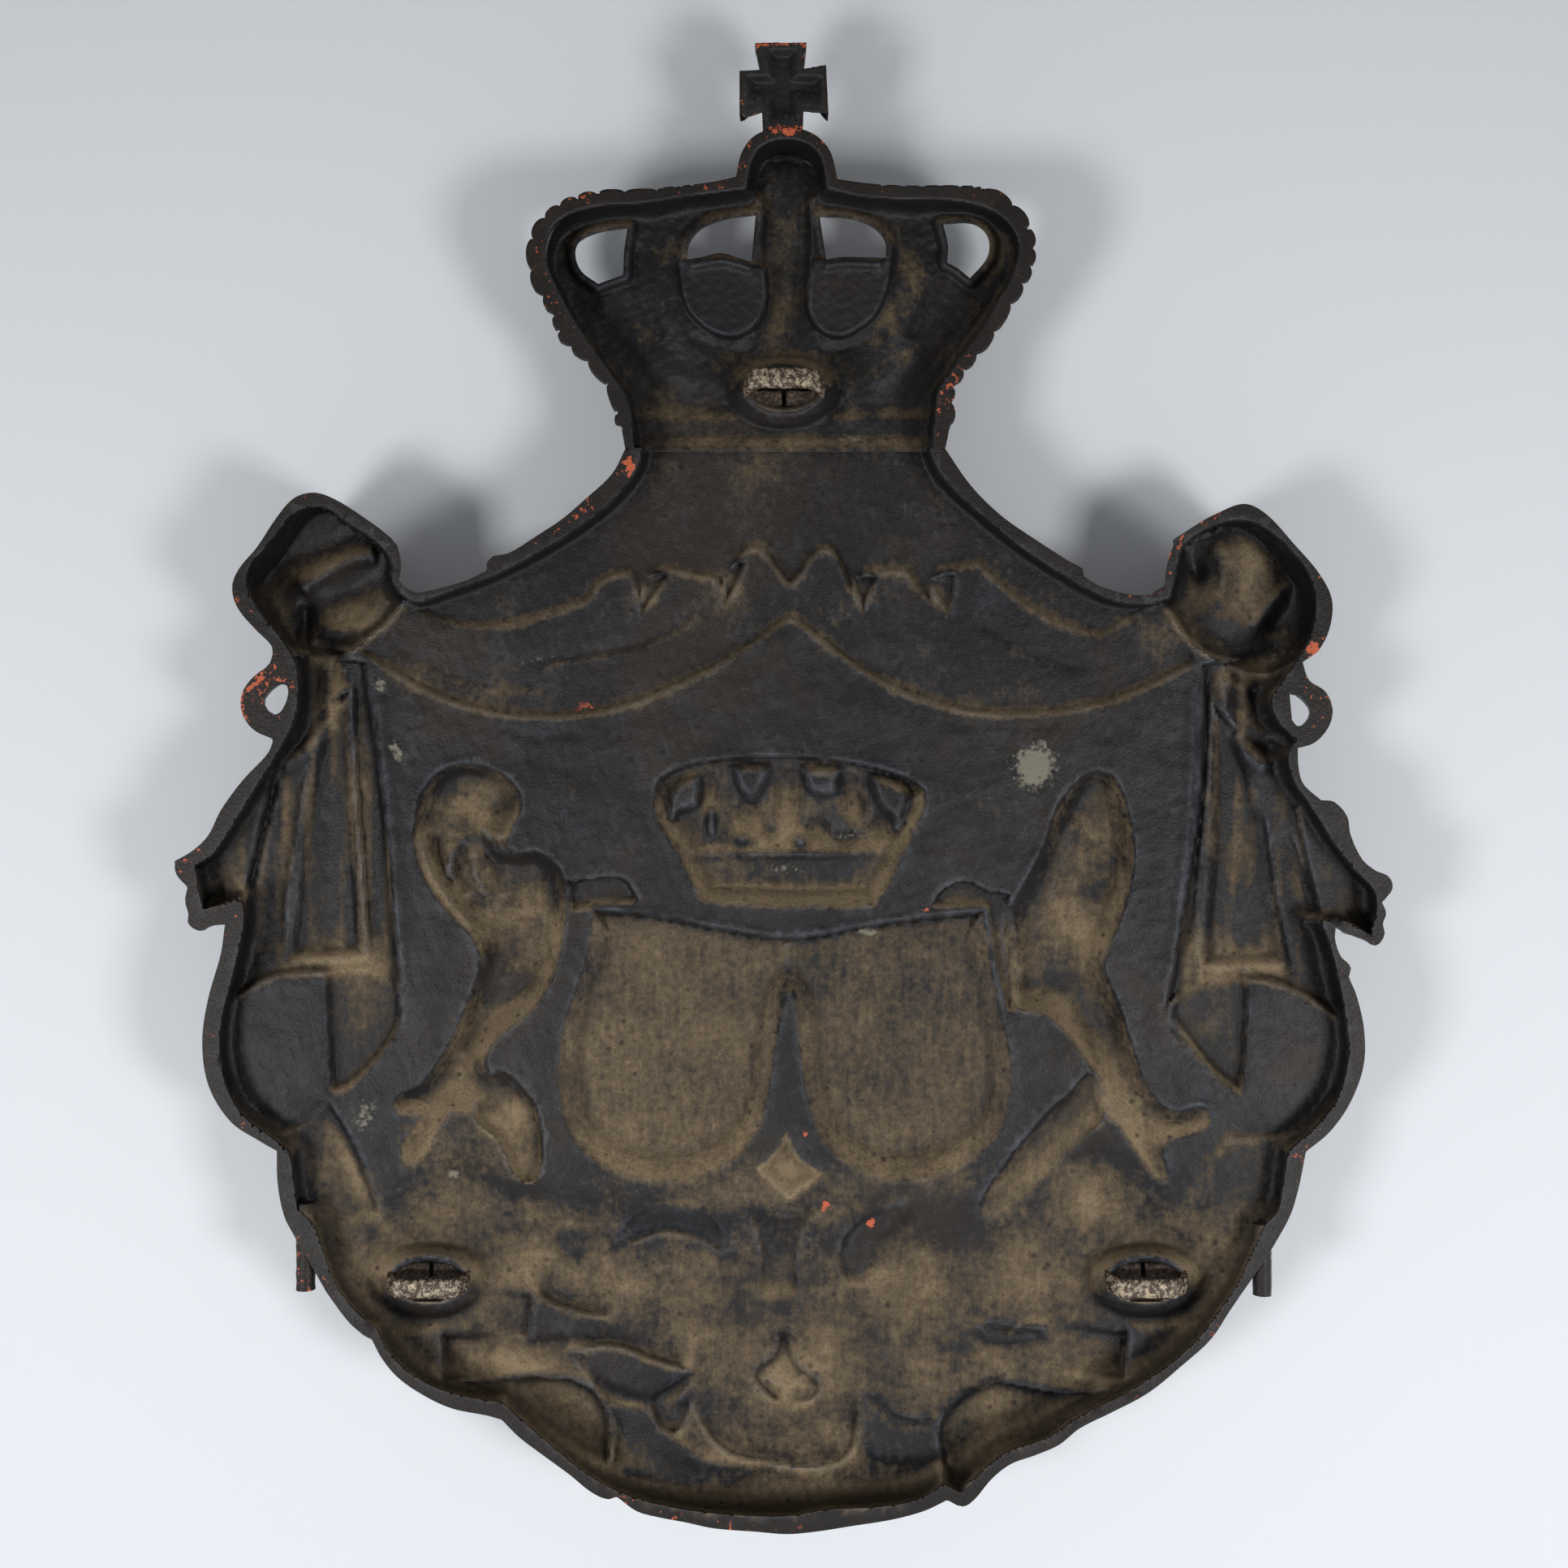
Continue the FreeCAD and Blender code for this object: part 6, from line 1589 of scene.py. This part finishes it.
# CROWN_CREASES weakens the painted shade in the crown's creases.
CROWN_BLOTCH, CROWN_LEDGES, CROWN_CREASES = 0.6, 0.75, 0.7
CROSS_LAND_PX, CROSS_DUST, CROSS_BLOTCH, CROSS_LEDGES = 6, 0.05, 0.9, 0.3
crown_floors = floor_dust(CROWN_DUST, crown_region)
crown_floors = crown_floors - WEB_LOSS * ease((crown_region["web"] + WEB_OUT_PX) / WEB_SOFT_PX)
crown_floors += CROWN_CLOUD * uneven(crown, *CROWN_CLOUD_WAVE) + swell(crown, CROWN_PATCHES)
weather_and_shading(crown_obj, crown, crown_back, crown_front, crown_region["rim"], crown_floors, CROWN_BLOTCH,
        ledges=CROWN_LEDGES, creases=CROWN_CREASES)
weather_and_shading(cross_obj, cross, cross_back, cross_front, cross_edge - CROSS_LAND_PX, CROSS_DUST, CROSS_BLOTCH,
        ledges=CROSS_LEDGES)
print("wear fields on", len(cross_obj.data.attributes), "attributes of the cross")

# %% [markdown]
# ## Old black paint
# The casting was primed in orange and painted in satin black. Brown dust has been rubbed into it for years.
# The paint's colour, roughness and grain come from groups of nodes, so that every piece ages by the same
# rules. The colour also holds painted shade in creases and painted highlights on lips.

# %% Helpers for nodes
SRGB_MOST, SRGB_KNEE, SRGB_SLOPE, SRGB_LIFT, SRGB_POWER = 255, 0.04045, 12.92, 0.055, 2.4
HALF = 0.5


def node(tree, kind, settings=None, **inputs):
    """Add a node. Inputs are constants or sockets, by name with _ for a space, or by position as _0."""
    made = tree.nodes.new(kind)
    for key, value in (settings or {}).items():
        setattr(made, key, value)
    for key, value in inputs.items():
        socket = made.inputs[int(key[1:])] if key[1:].isdigit() else made.inputs[key.replace("_", " ")]
        if isinstance(value, bpy.types.NodeSocket):
            tree.links.new(value, socket)
        else:
            socket.default_value = value
    return made


def srgb(red, green, blue):
    """Linear colour of an sRGB value from 0 to 255: the sRGB curve undone."""
    share = np.array([red, green, blue]) / SRGB_MOST
    curve = ((share + SRGB_LIFT) / (1 + SRGB_LIFT)) ** SRGB_POWER
    linear = np.where(share <= SRGB_KNEE, share / SRGB_SLOPE, curve)
    return (*linear.tolist(), 1)


def math(tree, operation, first, second=0.0):
    """One arithmetic node, as a socket."""
    return node(tree, "ShaderNodeMath", dict(operation=operation), _0=first, _1=second).outputs[0]


def ramp(tree, value, low, high):
    """A value taken from low..high to 0..1, smoothly."""
    smooth = dict(interpolation_type="SMOOTHSTEP")
    made = node(tree, "ShaderNodeMapRange", smooth, Value=value, From_Min=low, From_Max=high)
    return made.outputs[0]


def blend(tree, share, first, second):
    """A mix of two colours, as a socket."""
    made = node(tree, "ShaderNodeMix", dict(data_type="RGBA"), _0=share, _6=first, _7=second)
    return made.outputs[2]


def noise(tree, where, scale, detail=4.0, roughness=0.6):
    """Noise between 0 and 1 at a point, as a socket."""
    made = node(tree, "ShaderNodeTexNoise", Vector=where, Scale=scale, Detail=detail, Roughness=roughness)
    return made.outputs["Fac"]


def spots(tree, where, scale):
    """Distance to the nearest of scattered points, as a socket."""
    made = node(tree, "ShaderNodeTexVoronoi", dict(feature="F1"), Vector=where, Scale=scale)
    return made.outputs["Distance"]


def coat(tree, colour, over, share, strength):
    """A colour with another laid over it, by a share times a strength."""
    return blend(tree, math(tree, "MULTIPLY", share, strength), colour, over)


def swing(tree, value, amount):
    """A noise about zero: its distance from a half, times an amount."""
    return math(tree, "MULTIPLY", math(tree, "SUBTRACT", value, HALF), amount)


def group(name, inputs, outputs):
    """An empty node group with named sockets; returns the tree, its input node and its output node."""
    tree = bpy.data.node_groups.new(name, "ShaderNodeTree")
    for label, kind in inputs:
        tree.interface.new_socket(label, in_out="INPUT", socket_type=kind)
    for label, kind in outputs:
        tree.interface.new_socket(label, in_out="OUTPUT", socket_type=kind)
    return tree, tree.nodes.new("NodeGroupInput"), tree.nodes.new("NodeGroupOutput")


# %% [markdown]
# The colour is laid in coats: paint clouded with umber, dust that is brown where it is thin and ochre where
# it is thick, soot in pits, painted shade in creases, rubbed edges that carry a painted highlight, the land
# of the rim, chips down to the primer, and scrapes. Each coat's mask is one of the fields above, broken up
# by noise, so that no edge is even.

# %% Values of the aged paint
# The worn blue-grey is used both for worn paint and for the painted highlights on lips.
PAINT, WORN_PAINT_AND_HIGHLIGHT = srgb(28, 28, 30), srgb(92, 95, 102)
BROWN, OCHRE = srgb(81, 69, 53), srgb(134, 116, 90)
PRIMER, OLD_RED = srgb(186, 92, 62), srgb(96, 48, 40)
# The soot black also paints the shade in creases and under walls that face down.
PALE_PAINT, SOOT_AND_SHADE = srgb(126, 122, 107), srgb(20, 19, 19)
UMBER, RIM_PAINT = srgb(48, 41, 34), srgb(31, 27, 25)
MARKS = ("dust", "shade", "edge", "rim", "chip", "pale", "blotch")
NOISES = dict(cloud=(9.0,), mottle=(45.0, 8.0, 0.7), speck=(230.0, 3.0), grit=(620.0, 2.0),
              patch=(30.0, 6.0, 0.65), scratch=(260.0, 4.0, 0.7), drift=(16.0, 3.0))
BRUSH, BRUSH_STRETCH, DOT_SCALE = (330.0, 3.0), (1.0, 1.0, 0.12), 120.0
RANGES = dict(cloud=(0.4, 0.68), worn=(0.45, 0.75), ochre=(0.45, 1.15), dusty=(0.22, 0.6), dot=(0.1, 0.3),
              dotted=(0.45, 0.6), rubbed_and_highlit=(0.3, 0.65), land=(0.35, 0.7), grit=(0.5, 0.68), fresh=(0.58, 0.75),
              flake=(0.66, 0.74), bare=(0.45, 0.95), dull=(0.1, 0.8))
STRENGTHS = dict(cloud=0.7, worn=0.13, dots=0.7, shade=0.85, rubbed_and_highlit=0.6, rim=0.75, land=0.3, grit=0.35,
                 flake=0.9, bare=0.75)
MOTTLE_SWING, SPECK_SWING, BRUSH_SWING, CHIP_SWING, BARE_SWING = 0.65, 0.6, 0.36, 1.3, 2.4
RIM_FLAKES = 0.45
SATIN, DUST_DULL, SPECK_DULL = 0.38, 0.36, 0.1
print(len(STRENGTHS), "coats")

# %% [markdown]
# The group has one input for each field of wear and painted light, and puts out a colour and a roughness.

# %% Colour of the aged paint, with painted shade and highlights
tree, given, made = group("aged_paint_and_shading", [(mark, "NodeSocketFloat") for mark in MARKS],
                          [("Color", "NodeSocketColor"), ("Roughness", "NodeSocketFloat")])
wear = given.outputs
where = node(tree, "ShaderNodeTexCoord").outputs["Object"]
drawn_out = node(tree, "ShaderNodeMapping", Vector=where, Scale=BRUSH_STRETCH).outputs["Vector"]
noises = {name: noise(tree, where, *values) for name, values in NOISES.items()}
brushed = noise(tree, drawn_out, *BRUSH)
mottle = noises["mottle"]
paint = coat(tree, PAINT, UMBER, ramp(tree, noises["cloud"], *RANGES["cloud"]), STRENGTHS["cloud"])
paint = coat(tree, paint, WORN_PAINT_AND_HIGHLIGHT, ramp(tree, mottle, *RANGES["worn"]), STRENGTHS["worn"])
loose = math(tree, "ADD", wear["dust"], swing(tree, noises["patch"], wear["blotch"]))
loose = math(tree, "ADD", loose, swing(tree, mottle, MOTTLE_SWING))
loose = math(tree, "ADD", loose, swing(tree, noises["speck"], SPECK_SWING))
loose = math(tree, "ADD", loose, swing(tree, brushed, BRUSH_SWING))
ochre = blend(tree, ramp(tree, loose, *RANGES["ochre"]), BROWN, OCHRE)
colour = blend(tree, ramp(tree, loose, *RANGES["dusty"]), paint, ochre)
dots = math(tree, "SUBTRACT", 1.0, ramp(tree, spots(tree, where, DOT_SCALE), *RANGES["dot"]))
dots = math(tree, "MULTIPLY", dots, ramp(tree, mottle, *RANGES["dotted"]))
colour = coat(tree, colour, SOOT_AND_SHADE, dots, STRENGTHS["dots"])
# Painted shade: creases, deep hollows and walls that face down are darkened towards black.
colour = coat(tree, colour, SOOT_AND_SHADE, wear["shade"], STRENGTHS["shade"])
# Lips and the rim's inner edge: rubbed paint with a painted highlight in the worn blue-grey.
rubbed_and_highlit = math(tree, "MULTIPLY", wear["edge"], ramp(tree, mottle, *RANGES["rubbed_and_highlit"]))
colour = coat(tree, colour, WORN_PAINT_AND_HIGHLIGHT, rubbed_and_highlit, STRENGTHS["rubbed_and_highlit"])
colour = coat(tree, colour, RIM_PAINT, wear["rim"], STRENGTHS["rim"])
land = math(tree, "MULTIPLY", wear["rim"], ramp(tree, mottle, *RANGES["land"]))
colour = coat(tree, colour, UMBER, land, STRENGTHS["land"])
colour = coat(tree, colour, SOOT_AND_SHADE, ramp(tree, noises["grit"], *RANGES["grit"]), STRENGTHS["grit"])
flake = math(tree, "ADD", wear["chip"], math(tree, "MULTIPLY", wear["rim"], RIM_FLAKES))
flake = math(tree, "ADD", flake, swing(tree, noises["scratch"], CHIP_SWING))
flake = math(tree, "ADD", flake, math(tree, "SUBTRACT", noises["drift"], HALF))
fresh = ramp(tree, math(tree, "MAXIMUM", wear["chip"], wear["rim"]), *RANGES["fresh"])
primer = blend(tree, fresh, OLD_RED, PRIMER)
colour = coat(tree, colour, primer, ramp(tree, flake, *RANGES["flake"]), STRENGTHS["flake"])
bare = math(tree, "ADD", wear["pale"], swing(tree, noises["scratch"], BARE_SWING))
colour = coat(tree, colour, PALE_PAINT, ramp(tree, bare, *RANGES["bare"]), STRENGTHS["bare"])
tree.links.new(colour, made.inputs["Color"])
dull = math(tree, "MULTIPLY", ramp(tree, loose, *RANGES["dull"]), DUST_DULL)
dull = math(tree, "ADD", math(tree, "ADD", SATIN, dull), math(tree, "MULTIPLY", noises["speck"], SPECK_DULL))
tree.links.new(dull, made.inputs["Roughness"])
aged_paint_and_shading = tree
print("aged paint has", len(tree.nodes), "nodes")

# %% [markdown]
# Cast iron keeps the grain of its sand mould: a fine pebbling, a few pits, and shallow dents under the
# paint.

# %% Skin of the casting
PEBBLE, DENT = (560.0, 4.0), (60.0, 3.0)
PIT_SCALE, PIT_RANGE, PIT_DEPTH = 75.0, (0.0, 0.22), 0.5
PEBBLE_SHARE, DENT_SHARE = 0.5, 0.18
GRAIN_DEPTH = 0.0012
tree, given, made = group("cast_skin", [("Strength", "NodeSocketFloat")], [("Normal", "NodeSocketVector")])
where = node(tree, "ShaderNodeTexCoord").outputs["Object"]
pebble = math(tree, "MULTIPLY", noise(tree, where, *PEBBLE), PEBBLE_SHARE)
pits = math(tree, "MULTIPLY", ramp(tree, spots(tree, where, PIT_SCALE), *PIT_RANGE), PIT_DEPTH)
dents = math(tree, "ADD", noise(tree, where, *DENT), pits)
height = math(tree, "ADD", pebble, math(tree, "MULTIPLY", dents, DENT_SHARE))
bump = node(tree, "ShaderNodeBump", Strength=given.outputs["Strength"], Distance=GRAIN_DEPTH, Height=height)
tree.links.new(bump.outputs["Normal"], made.inputs["Normal"])
cast_skin = tree
print("cast skin has", len(tree.nodes), "nodes")

# %% [markdown]
# The three castings share one material. It reads the fields of wear and painted light from the points and
# hands them to the groups.

# %% Painted casting
PAINT_GRAIN, PAINT_SPECULAR = 0.85, 0.22


def material(name):
    """A material with an empty tree and one Principled shader, linked to the output."""
    made = bpy.data.materials.new(name)
    made.use_nodes = True
    tree = made.node_tree
    tree.nodes.clear()
    shader = tree.nodes.new("ShaderNodeBsdfPrincipled")
    surface = tree.nodes.new("ShaderNodeOutputMaterial")
    tree.links.new(shader.outputs[0], surface.inputs["Surface"])
    return made, tree, shader


painted, tree, shader = material("painted_casting")
ageing_and_shading = node(tree, "ShaderNodeGroup", dict(node_tree=aged_paint_and_shading))
for mark in MARKS:
    source = node(tree, "ShaderNodeAttribute", dict(attribute_name=mark))
    tree.links.new(source.outputs["Fac"], ageing_and_shading.inputs[mark])
grain = node(tree, "ShaderNodeGroup", dict(node_tree=cast_skin), Strength=PAINT_GRAIN)
shader.inputs["Specular IOR Level"].default_value = PAINT_SPECULAR
tree.links.new(ageing_and_shading.outputs["Color"], shader.inputs["Base Color"])
tree.links.new(ageing_and_shading.outputs["Roughness"], shader.inputs["Roughness"])
tree.links.new(grain.outputs["Normal"], shader.inputs["Normal"])
castings = (mantle_obj, crown_obj, cross_obj)
for obj in castings:
    obj.data.materials.append(painted)
print("painted", len(castings), "castings")

# %% [markdown]
# The straps are bare where a hook has rubbed them, and rusty brown elsewhere.

# %% Strap iron
WORN_IRON, RUSTY_IRON = srgb(160, 146, 124), srgb(58, 43, 35)
POCKET_RANGE, POCKET_RUST = (-0.011, 0.004), 0.7
RUST_NOISE, RUST_RANGE = (360.0, 6.0, 0.75), (0.46, 0.6)
STRAP_GRAIN, STRAP_METAL, STRAP_ROUGH = 0.5, 0.35, 0.5
strap, tree, shader = material("strap_iron")
where = node(tree, "ShaderNodeTexCoord").outputs["Object"]
near_wall = node(tree, "ShaderNodeSeparateXYZ", Vector=where).outputs["Y"]
in_pocket = math(tree, "MULTIPLY", ramp(tree, near_wall, *POCKET_RANGE), POCKET_RUST)
rubbed_bar = math(tree, "SUBTRACT", 1.0, in_pocket)
worn = math(tree, "MULTIPLY", ramp(tree, noise(tree, where, *RUST_NOISE), *RUST_RANGE), rubbed_bar)
grain = node(tree, "ShaderNodeGroup", dict(node_tree=cast_skin), Strength=STRAP_GRAIN)
tree.links.new(blend(tree, worn, RUSTY_IRON, WORN_IRON), shader.inputs["Base Color"])
tree.links.new(grain.outputs["Normal"], shader.inputs["Normal"])
shader.inputs["Metallic"].default_value = STRAP_METAL
shader.inputs["Roughness"].default_value = STRAP_ROUGH
key_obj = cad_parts["crown_key"]
key_obj.data.materials.clear()
key_obj.data.materials.append(strap)
for obj in eye_objs:
    obj.data.materials.append(strap)
print("straps", len(eye_objs), "and the key")

# %% [markdown]
# ## Ground, light and camera
# In the photograph the casting lies face down on a pale board, with a soft light at its lower left and
# another at its lower right. The board stands upright here, just beyond the front, and lets light and sight
# through from its far side, so that the front can be looked at as well.

# %% Stage
PALE_BOARD, BOARD_ROUGH = srgb(214, 217, 221), 0.9
BOARD_Y, BOARD_SIDE = 62 * MM, 6.0
FLOOR_Z = -1.5
half = BOARD_SIDE / 2
CORNERS = ((-half, -half), (half, -half), (half, half), (-half, half))


def plane(name, corners, shade):
    """A square stage piece from four corners."""
    mesh = bpy.data.meshes.new(name)
    mesh.from_pydata(corners, [], [(0, 1, 2, 3)])
    obj = bpy.data.objects.new(name, mesh)
    bpy.context.scene.collection.objects.link(obj)
    obj.data.materials.append(shade)
    obj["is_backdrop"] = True
    return obj


def pale(name):
    """A matt pale material."""
    made, tree, shader = material(name)
    shader.inputs["Base Color"].default_value = PALE_BOARD
    shader.inputs["Roughness"].default_value = BOARD_ROUGH
    return made, tree, shader


board_shade, tree, shader = pale("pale_board")
surface = next(made for made in tree.nodes if made.type == "OUTPUT_MATERIAL")
far_side = node(tree, "ShaderNodeNewGeometry").outputs["Backfacing"]
shadow = node(tree, "ShaderNodeLightPath").outputs["Is Shadow Ray"]
clear = node(tree, "ShaderNodeBsdfTransparent").outputs[0]
lets_through = math(tree, "MAXIMUM", far_side, shadow)
mixed = node(tree, "ShaderNodeMixShader", _0=lets_through, _1=shader.outputs[0], _2=clear)
tree.links.new(mixed.outputs[0], surface.inputs["Surface"])
board = plane("board", [(x, BOARD_Y, z) for x, z in CORNERS], board_shade)
floor_shade, _, _ = pale("pale_floor")
floor = plane("floor", [(x, y, FLOOR_Z) for x, y in CORNERS], floor_shade)
floor.visible_shadow = False
print("board at", BOARD_Y, "m")

# %% [markdown]
# Two small soft lamps low at the sides rake over the hollows, as in the photograph, and a pale room fills
# their shadows. A third lamp, beyond the board, lights the front.

# %% Light
WORLD_LIGHT, WORLD_COLOUR = 0.3, srgb(239, 241, 243)
LAMP_WATTS = 15.5
LAMP_SIDE = 0.42
LAMPS = {"lower_left": (-1.0, -1.3, -0.75), "lower_right": (1.0, -1.3, -0.75)}
FRONT_LAMP, FRONT_WATTS = (2.2, 1.4, -0.3), 120
world = bpy.data.worlds.new("pale_room")
world.use_nodes = True
world.node_tree.nodes["Background"].inputs["Color"].default_value = WORLD_COLOUR
world.node_tree.nodes["Background"].inputs["Strength"].default_value = WORLD_LIGHT
bpy.context.scene.world = world


def lamp(name, place_m, watts):
    """A square soft light that looks at the middle of the casting."""
    data = bpy.data.lights.new(name, "AREA")
    data.energy = watts
    data.size = LAMP_SIDE
    obj = bpy.data.objects.new(name, data)
    obj.location = place_m
    aim = Vector((0, 0, AXIS_Z)) - Vector(place_m)
    obj.rotation_euler = aim.to_track_quat("-Z", "Y").to_euler()
    bpy.context.scene.collection.objects.link(obj)


for name, place_m in LAMPS.items():
    lamp(name, place_m, LAMP_WATTS)
lamp("front", FRONT_LAMP, FRONT_WATTS)
print(len(LAMPS) + 1, "lamps")

# %% [markdown]
# The camera stands where the photographer's did: level with the middle of the picture, about a metre from
# the rim.

# %% Camera
SENSOR = 36.0
data = bpy.data.cameras.new("camera")
data.sensor_width = SENSOR
data.lens = SENSOR * PHOTO_DISTANCE / (IMAGE_SIDE_PX * ACROSS)
camera = bpy.data.objects.new("camera", data)
camera.location = (0, RIM_Y - PHOTO_DISTANCE, AXIS_Z)
camera.rotation_euler = (np.pi / 2, 0, 0)
bpy.context.scene.collection.objects.link(camera)
bpy.context.scene.camera = camera
bpy.context.scene.view_settings.view_transform = "Standard"
print("lens", round(data.lens, 1), "mm")

# %% [markdown]
# Last, the finished model's box is compared with that of the solids: the skin stays inside it.

# %% Size and finish
low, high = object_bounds()
print("low", np.round(np.array(low) - cad_low, 4), "high", np.round(np.array(high) - cad_high, 4))
